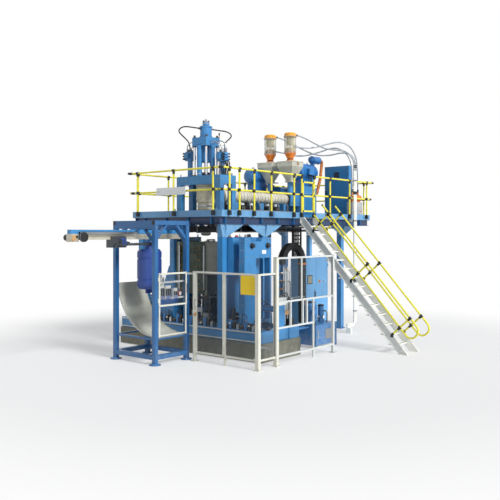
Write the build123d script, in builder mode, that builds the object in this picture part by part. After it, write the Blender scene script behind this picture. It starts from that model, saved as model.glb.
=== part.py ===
"""Accumulator-head blow moulding machine with a raised extruder platform, made one sub-part at a time.

Frame: millimetres, +Z up, +X along the extruders away from the head, +Y to the rear of the machine.
The origin is on the floor, straight under the die, so the parison falls along the Z axis.
"""

import math
import os

from build123d import *

os.makedirs("parts", exist_ok=True)

# Clearances
seat_gap = 0.3
slide_gap = 0.3

# Height of the die over the floor, and of the platform that carries the head
die_height = 2905.0
deck_top = die_height + 495.0

# Machine bed on the floor
bed_half_width = 750.0
bed_half_length = 2400.0
bed_underside = 440.0
bed_top = 715.0
bed_beam_width = 400.0
cross_beam_width = 220.0
cross_beam_setback = 20.0
bed_foot_radius = 60.0
skirt_thickness = 20.0
skirt_overhang = 25.0
skirt_floor_gap = 15.0
guide_x = 400.0
guide_width = 45.0
guide_height = 45.0
guide_waist = 8.0

# Clamp carriages and moulds
mould_half_width = 500.0
mould_depth = 450.0
mould_bottom = 1450.0
mould_top = die_height - 155.0
carriage_left = -570.0
carriage_right = 460.0
carriage_top = die_height - 35.0
carriage_base_gap = 40.0
carriage_base = 80.0
shoe_length = 240.0
shoe_width = 110.0
shoe_drop = 35.0
front_backing_depth = 480.0
platen_leg_depth = 180.0
platen_block_depth = 470.0
platen_block_bottom = die_height - 955.0
front_frame_gap = 200.0
front_frame_depth = 170.0
window_left = -140.0
window_right = 400.0
window_top = die_height - 535.0
recess_left = -370.0
recess_right = 100.0
recess_depth = 100.0
tie_bar_radius = 45.0
tie_bar_x = 300.0
tie_bar_drop = 200.0
backing_plate = 60.0
spacer_width = 120.0
rear_backing_depth = 150.0
rear_platen_depth = 140.0
rear_brace_depth = 520.0
rear_brace_height = 1250.0
rear_brace_width = 40.0
rear_brace_places = (-540.0, -160.0, 420.0)

# Drum that the machine blows, and its cavity
drum_radius = 287.0
drum_height = 935.0
drum_bottom = 1665.0
drum_base_radius = 235.0
drum_taper_height = 70.0
hoop_height = 26.0
hoop_groove = 12.0
hoop_place = 210.0
neck_radius = 95.0
neck_taper = 0.7
neck_height = 60.0
flash_width = 220.0
flash_thickness = 40.0
flash_height = 170.0
tail_height = 105.0
cavity_gap = 3.0
parison_radius = 110.0

# Clamp cylinders and blow pin
cylinder_x = 130.0
cylinder_z = 1150.0
cylinder_radius = 60.0
cylinder_bore = 45.0
cylinder_cap = 40.0
cylinder_length = 650.0
rod_radius = 25.0
piston_length = 60.0
bracket_width = 240.0
bracket_depth = 100.0
pin_radius = 22.0
pin_top = 1420.0
pin_collar_radius = 40.0
pin_collar_height = 30.0
pin_cylinder_radius = 55.0
pin_cylinder_top = 1180.0
pin_bore_depth = 420.0
pin_length = 600.0

# Platform
deck_left = -850.0
deck_right = 6150.0
deck_end_bay = 700.0
deck_front = -1300.0
deck_back = 1850.0
deck_plate = 30.0
deck_beam_height = 180.0
deck_beam_inset = 22.0
deck_beam_flange = 70.0
deck_beam_web = 12.0
joist_width = 100.0
joist_places = (900.0, 1900.0, 2900.0, 3900.0, 4700.0, deck_right - deck_end_bay)
head_opening = 450.0
toe_height = 160.0
toe_thickness = 8.0
eye_setback = 180.0
eye_length = 50.0
eye_width = 60.0
eye_radius = 12.0
panel_length = 1000.0
panel_gap = 3.0
column_side = 160.0
column_base_side = 240.0
column_base_plate = 20.0
bed_column_x = -670.0
bed_column_places = (-1150.0, 1650.0)
floor_column_places = (
    (joist_places[0], -1150.0), (joist_places[-1], -650.0), (joist_places[0], 1650.0), (
        joist_places[-1], 1500.0,
    ),
)
gusset_height = 310.0
gusset_reach = 600.0
gusset_thickness = 15.0
gusset_edge = 20.0
gusset_rib = 60.0

# Guard rails
rail_radius = 24.0
rail_height = 1140.0
mid_rail_height = 620.0
rail_setback = 45.0
rail_overhang = 70.0
socket_side = 70.0
socket_height = 110.0
end_post = deck_right - 270.0
front_posts = (-620.0, -250.0, 320.0, 1020.0, 2020.0, 3790.0, 4860.0, end_post)
side_posts = (-1060.0, 270.0, 1610.0)
back_posts = (-620.0, 500.0, 1620.0, 2740.0, 3860.0, 4980.0, end_post)

# Stair
stair_left = 2350.0
stair_width = 650.0
stair_run = 3070.0
stair_steps = 15
stringer_depth = 190.0
stringer_thickness = 40.0
stringer_flange = 14.0
stringer_web = 10.0
tread_depth = 230.0
tread_thickness = 35.0
tread_lip = 5.0
handrail_offset = 740.0
knee_rail_offset = 370.0
handrail_bend = 170.0
handrail_post_places = (0.12, 0.5, 0.88)
handrail_ends = (0.05, 0.97)
gate_thickness = 40.0
gate_height = 980.0
gate_foot_gap = 150.0
gate_mid_height = 560.0
gate_side_gap = 8.0

# Accumulator head, its stand and its ram
stand_half_x = 300.0
stand_half_y = 760.0
stand_top = deck_top + 1030.0
stand_plate = 220.0
stand_leg = 150.0
stand_sill = 60.0
head_radius = 215.0
head_top_radius = 260.0
adapter_radius = 75.0
adapter_reach = 120.0
head_collar = 22.0
ram_block_half = 260.0
ram_block_bottom = deck_top + 1800.0
ram_block_height = 215.0
tie_rod_offset = 205.0
tie_rod_radius = 28.0
crosshead_half = 150.0
crosshead_thickness = 70.0
crosshead_rise = 25.0
push_rod_radius = 20.0
push_rod_offset = 90.0
push_rod_depth = 420.0
ram_radius = 140.0
ram_length = 420.0
ram_rod_radius = 45.0
ram_stroke = 240.0
programmer_radius = 150.0
programmer_height = 300.0
programmer_cap_radius = 90.0
programmer_cap_height = 110.0
manifold_height = 240.0
manifold_half = 95.0
left_manifold_y = 560.0
right_manifold_y = -560.0
manifold_z = deck_top + 1460.0
right_manifold_z = deck_top + 1380.0
ram_neck = 25.0
flange_rim = 15.0

# Extruders
barrel_z = deck_top + 560.0
barrel_radius = 150.0
barrel_seam = 18.0
barrel_band = 430.0
second_barrel_radius = 125.0
second_y = 750.0
second_barrel_start = 700.0
throat_x = 3690.0
feed_start = 3450.0
feed_end = 3920.0
feed_half = 190.0
gearbox_length = 780.0
gearbox_half_width = 260.0
second_gearbox_half_width = 230.0
gearbox_top = deck_top + 990.0
gearbox_chamfer = 60.0
motor_z = deck_top + 1430.0
motor_radius = 250.0
motor_start = 4000.0
motor_length = 880.0
motor_cap = 50.0
motor_foot_width = 320.0
second_motor_y = 1210.0
second_motor_z = deck_top + 1300.0
second_motor_radius = 225.0
second_motor_start = 3200.0
motor_step = 15.0
fan_start = 4640.0
fan_end = 5180.0
fan_radius = 115.0
fan_z = deck_top + 1835.0
fan_y = -50.0
fan_neck = 60.0
fan_stem_start = 110.0
fan_stem_side = 100.0
duct_radius = 48.0
duct_reach = 150.0
duct_waist = (60.0, deck_top + 1300.0)
duct_mouth_z = deck_top + 780.0
duct_bends = (70.0, 260.0, 110.0)
extruder_bed_height = 160.0
extruder_bed_half = 230.0
extruder_bed_rail = 80.0
barrel_foot_width = 120.0
barrel_foot_places = (900.0, 2000.0, 3050.0)
blower_radius = 85.0
blower_length = 110.0
blower_places = (700.0, 1230.0, 1650.0, 2370.0, 2750.0)

# Hoppers and vacuum loaders
hopper_top = deck_top + 1700.0
hopper_half = 280.0
hopper_straight = 150.0
hopper_cone_bottom = deck_top + 1120.0
throat_radius = 85.0
loader_radius = 165.0
loader_lid_radius = 200.0
loader_cone_height = 280.0
loader_glass_height = 450.0
loader_lid_height = 130.0
loader_lid_rim = 60.0
loader_lid_edge = 25.0
loader_rim = 55.0
loader_rim_radius = 175.0
loader_foot_radius = 115.0
loader_neck_radius = 75.0
port_radius = 32.0
port_length = 60.0
hose_radius = 24.0
ram_hose_radius = 17.0

# Riser pipes, vacuum pump and deck cabinet
riser_radius = 31.0
riser_places = (deck_right - 1190.0, deck_right - 1110.0)
riser_y = -1450.0
riser_top = deck_top + 1500.0
riser_foot = 190.0
riser_bend = 150.0
riser_reach = 420.0
pump_left = deck_right - 970.0
pump_right = deck_right - 390.0
pump_front = -1260.0
pump_back = -1060.0
pump_body_height = 520.0
pump_drum_radius = 95.0
pump_drum_gap = 25.0
pump_drum_setback = 30.0
pump_saddle = 60.0
pump_port_height = 70.0
pump_port_setbacks = (150.0, 110.0)
deck_cabinet_left = deck_right - 750.0
deck_cabinet_depth = 220.0
deck_cabinet_front = -990.0
deck_cabinet_width = 880.0
deck_cabinet_height = 1640.0
door_thickness = 25.0
door_foot_gap = 10.0
door_half_gap = 1.5
cabinet_wall = 30.0

# Floor units
control_left = 3100.0
control_width = 1250.0
control_front = -900.0
control_depth = 450.0
control_plinth = 100.0
control_top = 2250.0
cable_duct_half = 60.0
tank_left = 1700.0
tank_length = 1000.0
tank_front = -2250.0
tank_width = 600.0
tank_height = 520.0
tank_leg = 80.0
tank_pipe_radius = 24.0
tank_pipe_z = 540.0
tank_pipe_spacing = 130.0
pump_motor_radius = 150.0
pump_motor_length = 480.0
bell_height = 120.0
tank_motor_place = (0.3, 0.6)
filter_setback = 220.0
filter_radius = 80.0
filter_height = 420.0
arch_center_x = 2400.0
arch_y = -1000.0
arch_center_z = 2130.0
arch_radius = 560.0
arch_band = 150.0
arch_width = 150.0
water_header_side = 90.0
water_header_places = (1760.0, 1960.0)
header_tie_z = 1850.0

# Take-out unit
frame_left = -2450.0
frame_right = -1350.0
frame_half_y = 720.0
frame_tube = 100.0
frame_top = 3260.0
frame_deep_beam = 190.0
frame_foot_radius = 135.0
frame_foot_height = 20.0
frame_rail_z = 120.0
frame_bar = 40.0
chute_bar_z = 560.0
brace_size = 60.0
brace_reach = 330.0
brace_inset = 20.0
brace_slant = 84.0
chute_radius = 1300.0
chute_thickness = 5.0
chute_center_y = -600.0
chute_side_gap = 10.0
beam_left = -4230.0
beam_right = -760.0
beam_half = 60.0
beam_bottom = 2960.0
beam_top = 3050.0
profile_half = 45.0
profile_slot = 12.0
profile_bottom = 2830.0
end_box_length = 180.0
end_box_half = 90.0
carriage_start = -3150.0
carriage_length = 400.0
carriage_half = 110.0
carriage_bottom = 2650.0
cheek_height = 70.0
jaw_pivot_x = -2690.0
jaw_pivot_y = 60.0
jaw_pin_radius = 10.0
jaw_bottom = 2690.0
jaw_height = 55.0
jaw_tip_x = -1900.0
jaw_width = 50.0
jaw_boss = 40.0
jaw_plate = 35.0
jaw_bend = 60.0
jaw_pad = 32.0

valve_rail_z = 1460.0
valve_rail_spacing = 370.0
valve_depth = 50.0
valve_boxes = ((-2290.0, 180.0, 290.0), (-2080.0, 180.0, 270.0), (-1820.0, 120.0, 200.0))

# Guard window and fence
window_bottom_z = 1310.0
window_top_z = 2070.0
window_bar = 40.0
window_depth = 25.0
pane_thickness = 6.0
fence_x = -1420.0
fence_front = -(bed_half_length + 450.0)
fence_start = -960.0
fence_mid = -1905.0
fence_height = 2090.0
fence_post = 60.0
corner_post = 90.0
fence_bar = 40.0
fence_foot = 190.0
gate_left = -770.0
gate_right = 1570.0
gate_top = 2430.0
gate_mid_z = 1400.0
gate_low_z = 820.0
gate_divider = 205.0
gate_low_right = 700.0
gate_bars = (-224.0, 260.0, 430.0)
foot_plate_side = 150.0
foot_plate_height = 12.0
hinge_gap = 6.0
hinge_radius = 9.0
hinge_leaf = 26.0
hinge_length = 90.0


def block(x_from, x_to, y_from, y_to, z_from, z_to, mode=Mode.ADD):
    """Extrude a rectangle between two corners into the part being built."""
    with BuildSketch(Plane.XY.offset(z_from)) as section:
        with Locations(((x_from + x_to) / 2, (y_from + y_to) / 2)):
            Rectangle(x_to - x_from, y_to - y_from)
    extrude(section.sketch, amount=z_to - z_from, mode=mode)


def rod(start, end, radius, mode=Mode.ADD):
    """Extrude a circle from one point to another into the part being built."""
    reach = Vector(*end) - Vector(*start)
    with BuildSketch(Plane(origin=start, z_dir=reach)) as section:
        Circle(radius)
    extrude(section.sketch, amount=reach.length, mode=mode)


def prism(plane, outline, depth, mode=Mode.ADD):
    """Extrude a closed outline, given in the plane's own coordinates."""
    with BuildSketch(plane) as section:
        with BuildLine():
            Polyline(*outline, close=True)
        make_face()
    extrude(section.sketch, amount=depth, mode=mode)


def turned(center, direction, profile, mode=Mode.ADD):
    """Revolve a profile of (radius, place along the axis) points about a line through the centre."""
    along = Vector(*direction).normalized()
    across = Vector(1, 0, 0) if abs(along.X) < 0.5 else Vector(0, 0, 1)
    with BuildSketch(Plane(origin=center, x_dir=across, z_dir=across.cross(along))) as section:
        with BuildLine():
            Polyline((0, profile[0][1]), *profile, (0, profile[-1][1]), close=True)
        make_face()
    revolve(section.sketch, Axis(center, tuple(along)), mode=mode)


def hinge(axis_x, axis_y, leaf, level):
    """Hinge barrel standing on its axis, with a leaf that runs from it so far in x and in y."""
    rod((axis_x, axis_y, level), (axis_x, axis_y, level + hinge_length), hinge_radius)
    sides = sorted((axis_x, axis_x + leaf[0])), sorted((axis_y, axis_y + leaf[1]))
    block(*sides[0], *sides[1], level, level + hinge_length)


def keep(piece, name):
    """Label a finished piece and write its file."""
    piece.part.label = name
    export_step(piece.part, f"parts/{name}.step")


# Machine bed: two box girders joined by cross beams, on round feet
bed_inner = bed_half_width - bed_beam_width
end_beam_y = bed_half_length - cross_beam_setback - cross_beam_width / 2
with BuildPart() as bed_frame:
    for side in (-1, 1):
        edges = sorted((side * bed_inner, side * bed_half_width))
        block(edges[0], edges[1], -bed_half_length, bed_half_length, bed_underside, bed_top)
    for middle in (-end_beam_y, 0, end_beam_y):
        block(
            -bed_inner + seat_gap, bed_inner - seat_gap,
            middle - cross_beam_width / 2, middle + cross_beam_width / 2,
            bed_underside, bed_top,
        )
        for foot_x in (-(bed_inner + bed_half_width) / 2, 0, (bed_inner + bed_half_width) / 2):
            rod((foot_x, middle, 0), (foot_x, middle, bed_underside - seat_gap), bed_foot_radius)
keep(bed_frame, "bed_frame")

# Skirt round the feet, four folded sheets with their edges turned in under the bed
skirt_half_x = bed_half_width + skirt_overhang
skirt_half_y = bed_half_length + skirt_overhang
skirt_top = bed_underside - seat_gap
with BuildPart() as drip_skirt:
    for side in (-1, 1):
        x_pair = sorted((side * skirt_half_x, side * (skirt_half_x - skirt_thickness)))
        block(x_pair[0], x_pair[1], -skirt_half_y, skirt_half_y, skirt_floor_gap, skirt_top)
        lip = sorted(
            (side * (skirt_half_x - skirt_thickness - seat_gap), side * (bed_half_width - skirt_overhang)),
        )
        block(lip[0], lip[1], -bed_half_length, bed_half_length, skirt_top - skirt_thickness, skirt_top)
        y_pair = sorted((side * skirt_half_y, side * (skirt_half_y - skirt_thickness)))
        inner = skirt_half_x - skirt_thickness - seat_gap
        block(-inner, inner, y_pair[0], y_pair[1], skirt_floor_gap, skirt_top)
keep(drip_skirt, "drip_skirt")

# Profiled guide rails for both clamp carriages
guide_top = bed_top + guide_height
with BuildPart() as guide_rails:
    for side in (-1, 1):
        half = guide_width / 2
        waist = half - guide_waist
        outline = [(half, 0), (waist, guide_height / 3), (waist, 2 * guide_height / 3), (half, guide_height)]
        outline += [(-x, z) for x, z in reversed(outline)]
        section_plane = Plane(
            origin=(side * guide_x, bed_half_length, bed_top), x_dir=(1, 0, 0), z_dir=(0, -1, 0),
        )
        prism(section_plane, outline, 2 * bed_half_length)
keep(guide_rails, "guide_rails")

# Carriages: a base on four shoes, with the platen and its framing standing on it
base_bottom = guide_top + carriage_base_gap
base_top = base_bottom + carriage_base
front_platen_y = -(mould_depth + front_backing_depth)
front_frame_y = front_platen_y - platen_block_depth - front_frame_gap
front_end_y = front_frame_y - front_frame_depth
rear_platen_y = mould_depth + rear_backing_depth
rear_end_y = rear_platen_y + rear_platen_depth + rear_brace_depth


def carriage_foundation(y_from, y_to):
    """Base plate with a shoe astride each guide near both ends."""
    block(carriage_left, carriage_right, y_from, y_to, base_bottom, base_top)
    for side in (-1, 1):
        for shoe_from in (y_from, y_to - shoe_length):
            left = side * guide_x - shoe_width / 2
            block(
                left, left + shoe_width, shoe_from, shoe_from + shoe_length, guide_top - shoe_drop,
                base_bottom,
            )
            slot_half = guide_width / 2 + slide_gap
            block(
                side * guide_x - slot_half, side * guide_x + slot_half, shoe_from, shoe_from + shoe_length,
                guide_top - shoe_drop, guide_top + slide_gap, mode=Mode.SUBTRACT,
            )


# Where the clamp cylinders stand, with each piston just inside its gland while the clamp is shut
bracket_inner = bed_half_length - cross_beam_setback - cylinder_cap - bracket_depth
barrel_mouth = bracket_inner - cylinder_length
piston_start = barrel_mouth + cylinder_cap + slide_gap


def clamp_rod(side, rod_end):
    """Piston rod with its piston, from the platen back into the clamp cylinder."""
    rod((cylinder_x, side * rod_end, cylinder_z), (cylinder_x, side * piston_start, cylinder_z), rod_radius)
    rod(
        (cylinder_x, side * piston_start, cylinder_z),
        (cylinder_x, side * (piston_start + piston_length), cylinder_z), cylinder_bore,
    )


stand_z = base_top + seat_gap
with BuildPart() as front_carriage:
    carriage_foundation(front_end_y, front_platen_y)
    block(
        carriage_left, carriage_right, front_platen_y - platen_leg_depth, front_platen_y,
        stand_z, platen_block_bottom - seat_gap,
    )
    block(
        carriage_left, carriage_right, front_platen_y - platen_block_depth, front_platen_y,
        platen_block_bottom, carriage_top,
    )
    block(carriage_left, window_left, front_end_y, front_frame_y, stand_z, window_top - seat_gap)
    block(window_right, carriage_right, front_end_y, front_frame_y, stand_z, window_top - seat_gap)
    beam_outline = [
        (carriage_left, window_top), (carriage_right, window_top), (carriage_right, carriage_top),
        (recess_right, carriage_top), (recess_right - recess_depth / 2, carriage_top - recess_depth),
        (recess_left + recess_depth / 2, carriage_top - recess_depth), (recess_left, carriage_top),
        (carriage_left, carriage_top),
    ]
    prism(Plane.XZ.offset(-front_frame_y), beam_outline, front_frame_depth)
    for bar_x in (-tie_bar_x, tie_bar_x):
        bar_z = carriage_top - tie_bar_drop
        bar_ends = (front_platen_y - platen_block_depth - seat_gap, front_frame_y + seat_gap)
        rod((bar_x, bar_ends[0], bar_z), (bar_x, bar_ends[1], bar_z), tie_bar_radius)
    clamp_rod(-1, -(front_platen_y - platen_leg_depth) + seat_gap)
keep(front_carriage, "front_carriage")

with BuildPart() as rear_carriage:
    carriage_foundation(rear_platen_y, rear_end_y)
    block(
        carriage_left, carriage_right, rear_platen_y, rear_platen_y + rear_platen_depth,
        stand_z, carriage_top,
    )
    brace_y = rear_platen_y + rear_platen_depth + seat_gap
    for brace_x in rear_brace_places:
        brace_outline = [
            (brace_y, stand_z), (rear_end_y, stand_z), (rear_end_y, stand_z + rear_brace_width),
            (brace_y + rear_brace_width, stand_z + rear_brace_height), (brace_y, stand_z + rear_brace_height),
        ]
        prism(Plane.YZ.offset(brace_x - rear_brace_width / 2), brace_outline, rear_brace_width)
    clamp_rod(1, rear_platen_y + rear_platen_depth + seat_gap)
keep(rear_carriage, "rear_carriage")

# Drum with rolling hoops, neck and the flash that the gripper holds
drum_top = drum_bottom + drum_height


def drum_profile(growth):
    """Outline of the drum's body, grown by a clearance."""
    wide = drum_radius + growth
    upper = drum_height - drum_taper_height
    points = [(drum_base_radius + growth, -growth), (wide, drum_taper_height)]
    for hoop in (hoop_place, drum_height - hoop_place - hoop_height):
        points += [(wide, hoop - hoop_groove), (wide - hoop_groove, hoop)]
        points += [(wide - hoop_groove, hoop + hoop_height), (wide, hoop + hoop_height + hoop_groove)]
    points += [(wide, upper), (drum_base_radius + growth, drum_height + growth)]
    return points


with BuildPart() as drum:
    turned((0, 0, drum_bottom), (0, 0, 1), drum_profile(0))
    turned((0, 0, drum_top), (0, 0, 1), [(neck_radius, 0), (neck_radius * neck_taper, neck_height)])
    half_flash = flash_width / 2
    half_thick = flash_thickness / 2
    block(-half_flash, half_flash, -half_thick, half_thick, drum_top, drum_top + flash_height)
    block(-half_flash, half_flash, -half_thick, half_thick, drum_bottom - tail_height, drum_bottom)
drum_x = jaw_tip_x - half_flash / 2
drum.part = drum.part.moved(Location((drum_x, 0, 0)))
keep(drum, "drum")

# Mould halves: four cheeks round half of the cavity, between a neck and a base plate, on a backing plate
spacer_places = (-mould_half_width + spacer_width / 2, 0.0, mould_half_width - 1.5 * spacer_width)
lower_joint = drum_bottom + drum_taper_height
upper_joint = drum_top - drum_taper_height
end_cheek = [
    (seat_gap, seat_gap / 2), (mould_half_width, seat_gap / 2), (mould_half_width, mould_depth),
    (mould_depth + seat_gap / 2, mould_depth),
]
face_cheek = [
    (seat_gap / 2, seat_gap), (mould_depth - seat_gap / 2, mould_depth), (seat_gap / 2, mould_depth),
]
for name, side, platen_y, spacer_bottom in (
    ("front_mould", -1, front_platen_y, platen_block_bottom), ("rear_mould", 1, rear_platen_y, mould_bottom),
):
    with BuildPart() as mould:
        faces = sorted((side * seat_gap / 2, side * mould_depth))
        for low, high in ((mould_bottom, lower_joint - seat_gap), (upper_joint + seat_gap, mould_top)):
            block(-mould_half_width, mould_half_width, faces[0], faces[1], low, high)
        for edge in (-1, 1):
            for cheek in (end_cheek, face_cheek):
                outline = [(edge * x, side * y) for x, y in cheek]
                prism(Plane.XY.offset(lower_joint), outline, upper_joint - lower_joint)
        turned((0, 0, drum_bottom), (0, 0, 1), drum_profile(cavity_gap), mode=Mode.SUBTRACT)
        rod((0, 0, drum_top), (0, 0, mould_top), parison_radius, mode=Mode.SUBTRACT)
        rod((0, 0, mould_bottom), (0, 0, drum_bottom), pin_collar_radius + cavity_gap, mode=Mode.SUBTRACT)
        plate = sorted((side * (mould_depth + seat_gap), side * (mould_depth + seat_gap + backing_plate)))
        block(-mould_half_width, carriage_right, plate[0], plate[1], mould_bottom, mould_top)
        spacer = sorted((side * (mould_depth + 2 * seat_gap + backing_plate), platen_y - side * seat_gap))
        for spacer_x in spacer_places:
            block(
                spacer_x - spacer_width / 2, spacer_x + spacer_width / 2, spacer[0], spacer[1],
                spacer_bottom, mould_top,
            )
    keep(mould, name)

# Clamp cylinders on their brackets at both ends of the bed, and the blow pin's lift cylinder under the mould
with BuildPart() as clamp_cylinders:
    for side in (-1, 1):
        faces = sorted((side * (bracket_inner + seat_gap), side * (bracket_inner + bracket_depth)))
        block(
            cylinder_x - bracket_width / 2, cylinder_x + bracket_width / 2, faces[0], faces[1],
            bed_top + seat_gap, cylinder_z + cylinder_radius + cylinder_cap,
        )
        inner_end = (cylinder_x, side * barrel_mouth, cylinder_z)
        outer_end = (cylinder_x, side * bracket_inner, cylinder_z)
        rod(inner_end, outer_end, cylinder_radius)
        bore_start = (cylinder_x, side * (barrel_mouth + cylinder_cap), cylinder_z)
        bore_end = (cylinder_x, side * (bracket_inner - cylinder_cap), cylinder_z)
        rod(bore_start, bore_end, cylinder_bore + slide_gap, mode=Mode.SUBTRACT)
        rod(inner_end, bore_start, rod_radius + slide_gap, mode=Mode.SUBTRACT)
    rod((0, 0, bed_top + seat_gap), (0, 0, pin_cylinder_top), pin_cylinder_radius)
    pin_bore_bottom = pin_cylinder_top - pin_bore_depth
    rod((0, 0, pin_bore_bottom), (0, 0, pin_cylinder_top), pin_radius + slide_gap, mode=Mode.SUBTRACT)
keep(clamp_cylinders, "clamp_cylinders")

with BuildPart() as blow_pin:
    rod((0, 0, pin_top - pin_length), (0, 0, pin_top), pin_radius)
    rod((0, 0, pin_top - pin_collar_height), (0, 0, pin_top), pin_collar_radius)
keep(blow_pin, "blow_pin")

# Columns under the platform, two on the bed and four on the floor, each with a spreading head plate
beam_top_z = deck_top - deck_plate
beam_bottom_z = beam_top_z - deck_beam_height
beam_left_x = deck_left + deck_beam_inset
beam_right_x = deck_right - deck_beam_inset
beam_front_y = deck_front + deck_beam_inset
beam_back_y = deck_back - deck_beam_inset
column_places = [(bed_column_x, y, bed_top) for y in bed_column_places]
column_places += [(x, y, 0.0) for x, y in floor_column_places]
with BuildPart() as columns:
    for place_x, place_y, level in column_places:
        half = column_side / 2
        foot_z = level + seat_gap if level else column_base_plate + seat_gap
        if not level:
            foot = column_base_side / 2
            block(place_x - foot, place_x + foot, place_y - foot, place_y + foot, 0, column_base_plate)
        top = beam_bottom_z - seat_gap
        block(place_x - half, place_x + half, place_y - half, place_y + half, foot_z, top)
        outward = -1 if place_y < 0 else 1
        left_reach = max(place_x - half - gusset_reach, beam_left_x)
        right_reach = place_x + half + gusset_reach
        outline = [
            (place_x - half, top - gusset_height), (place_x + half, top - gusset_height),
            (right_reach, top - gusset_edge), (right_reach, top), (left_reach, top), (
                left_reach, top - gusset_edge,
            ),
        ]
        faces = sorted((place_y + outward * (half + seat_gap), place_y + outward * (half + gusset_thickness)))
        prism(Plane.XZ.offset(-faces[1]), outline, faces[1] - faces[0])
        rib_y = place_y + outward * (half + gusset_thickness + seat_gap)
        rib = [
            (rib_y, top - gusset_height), (rib_y, top), (rib_y + outward * gusset_rib, top),
            (rib_y + outward * gusset_rib, top - gusset_edge),
        ]
        prism(Plane.YZ.offset(place_x - gusset_thickness / 2), rib, gusset_thickness)
keep(columns, "columns")

# Perimeter channels, open outwards, with joists between them, and toe boards broken where the stair arrives
toe_bottom = beam_top_z + seat_gap
stair_right = stair_left + stair_width
channel = [
    (0, 0), (deck_beam_flange, 0), (deck_beam_flange, deck_beam_height), (0, deck_beam_height),
    (0, deck_beam_height - deck_beam_web), (
        deck_beam_flange - deck_beam_web, deck_beam_height - deck_beam_web,
    ),
    (deck_beam_flange - deck_beam_web, deck_beam_web), (0, deck_beam_web),
]
with BuildPart() as deck_frame:
    long_side = beam_right_x - beam_left_x
    short_side = beam_back_y - beam_front_y - 2 * deck_beam_flange - 2 * seat_gap
    prism(Plane((beam_left_x, beam_front_y, beam_bottom_z), (0, 1, 0), (1, 0, 0)), channel, long_side)
    prism(Plane((beam_right_x, beam_back_y, beam_bottom_z), (0, -1, 0), (-1, 0, 0)), channel, long_side)
    inner_front = beam_front_y + deck_beam_flange + seat_gap
    inner_back = beam_back_y - deck_beam_flange - seat_gap
    prism(Plane((beam_left_x, inner_back, beam_bottom_z), (1, 0, 0), (0, -1, 0)), channel, short_side)
    prism(Plane((beam_right_x, inner_front, beam_bottom_z), (-1, 0, 0), (0, 1, 0)), channel, short_side)
    for joist_x in joist_places:
        block(
            joist_x - joist_width / 2, joist_x + joist_width / 2, inner_front, inner_back,
            beam_bottom_z, beam_top_z,
        )
    for side in (-1, 1):
        near = sorted((side * (head_opening + seat_gap), side * (head_opening + joist_width)))
        block(
            beam_left_x + deck_beam_flange + seat_gap, joist_places[0] - joist_width / 2 - seat_gap,
            near[0], near[1], beam_bottom_z, beam_top_z,
        )
    toe_top = beam_top_z + toe_height
    front_inner = deck_front + toe_thickness
    block(deck_left, stair_left, deck_front, front_inner, toe_bottom, toe_top)
    block(stair_right, deck_right, deck_front, front_inner, toe_bottom, toe_top)
    block(deck_left, deck_right, deck_back - toe_thickness, deck_back, toe_bottom, toe_top)
    side_y = (front_inner + seat_gap, deck_back - toe_thickness - seat_gap)
    block(deck_left, deck_left + toe_thickness, side_y[0], side_y[1], toe_bottom, toe_top)
    block(deck_right - toe_thickness, deck_right, side_y[0], side_y[1], toe_bottom, toe_top)
    eye_places = (deck_front + eye_setback, (deck_front + deck_back) / 2, deck_back - eye_setback)
    for eye_y in eye_places:
        with BuildSketch(Plane.YZ.offset(deck_left)) as eye:
            with Locations((eye_y, toe_top)):
                SlotCenterToCenter(eye_length, eye_width, rotation=90)
                Circle(eye_radius, mode=Mode.SUBTRACT)
        extrude(eye.sketch, amount=toe_thickness)
keep(deck_frame, "deck_frame")

# Chequer plates, left open round the head
with BuildPart() as deck_plates:
    plate_left = deck_left + toe_thickness + seat_gap
    plate_right = deck_right - toe_thickness - seat_gap
    count = round((plate_right - plate_left) / panel_length)
    pitch = (plate_right - plate_left) / count
    rows = (
        (deck_front + toe_thickness + seat_gap, -head_opening - panel_gap / 2),
        (-head_opening + panel_gap / 2, head_opening - panel_gap / 2),
        (head_opening + panel_gap / 2, deck_back - toe_thickness - seat_gap),
    )
    for number in range(count):
        left = plate_left + number * pitch
        right = left + pitch - panel_gap
        for row, (near_y, far_y) in enumerate(rows):
            if row == 1 and left < head_opening:
                if right < head_opening:
                    continue
                left = head_opening
            block(left, right, near_y, far_y, beam_top_z + seat_gap, deck_top)
    block(plate_left, -head_opening - panel_gap, rows[1][0], rows[1][1], beam_top_z + seat_gap, deck_top)
keep(deck_plates, "deck_plates")

# Guard rail posts in their sockets, and the rails on them
rail_z = deck_top + rail_height
mid_rail_z = deck_top + mid_rail_height
socket_top = deck_top + socket_height
rail_front = deck_front - rail_setback
rail_back = deck_back + rail_setback
rail_left = deck_left - rail_setback
rail_right = deck_right + rail_setback
gate_post_left = stair_left + rail_radius
gate_post_right = stair_right - rail_radius
post_places = [(x, rail_front) for x in (*front_posts, gate_post_left, gate_post_right)]
post_places += [(x, rail_back) for x in back_posts]
post_places += [(rail_left, y) for y in side_posts] + [(rail_right, y) for y in side_posts]
mid_inset = 2 * rail_radius + seat_gap
with BuildPart() as guardrails:
    for place_x, place_y in post_places:
        rod(
            (place_x, place_y, socket_top + seat_gap), (place_x, place_y, rail_z - rail_radius - seat_gap),
            rail_radius,
        )
    for level, inset in ((rail_z, 0), (mid_rail_z, mid_inset)):
        corner = rail_overhang - inset
        front_y = rail_front + inset
        rod((rail_left - corner, front_y, level), (gate_post_left - rail_radius, front_y, level), rail_radius)
        rod(
            (gate_post_right + rail_radius, front_y, level), (rail_right + corner, front_y, level),
            rail_radius,
        )
        back_y = rail_back - inset
        rod((rail_left - corner, back_y, level), (rail_right + corner, back_y, level), rail_radius)
        low = front_y + rail_radius + seat_gap
        high = back_y - rail_radius - seat_gap
        for side_x in (rail_left + inset, rail_right - inset):
            rod((side_x, low, level), (side_x, high, level), rail_radius)
keep(guardrails, "guardrails")

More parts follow.
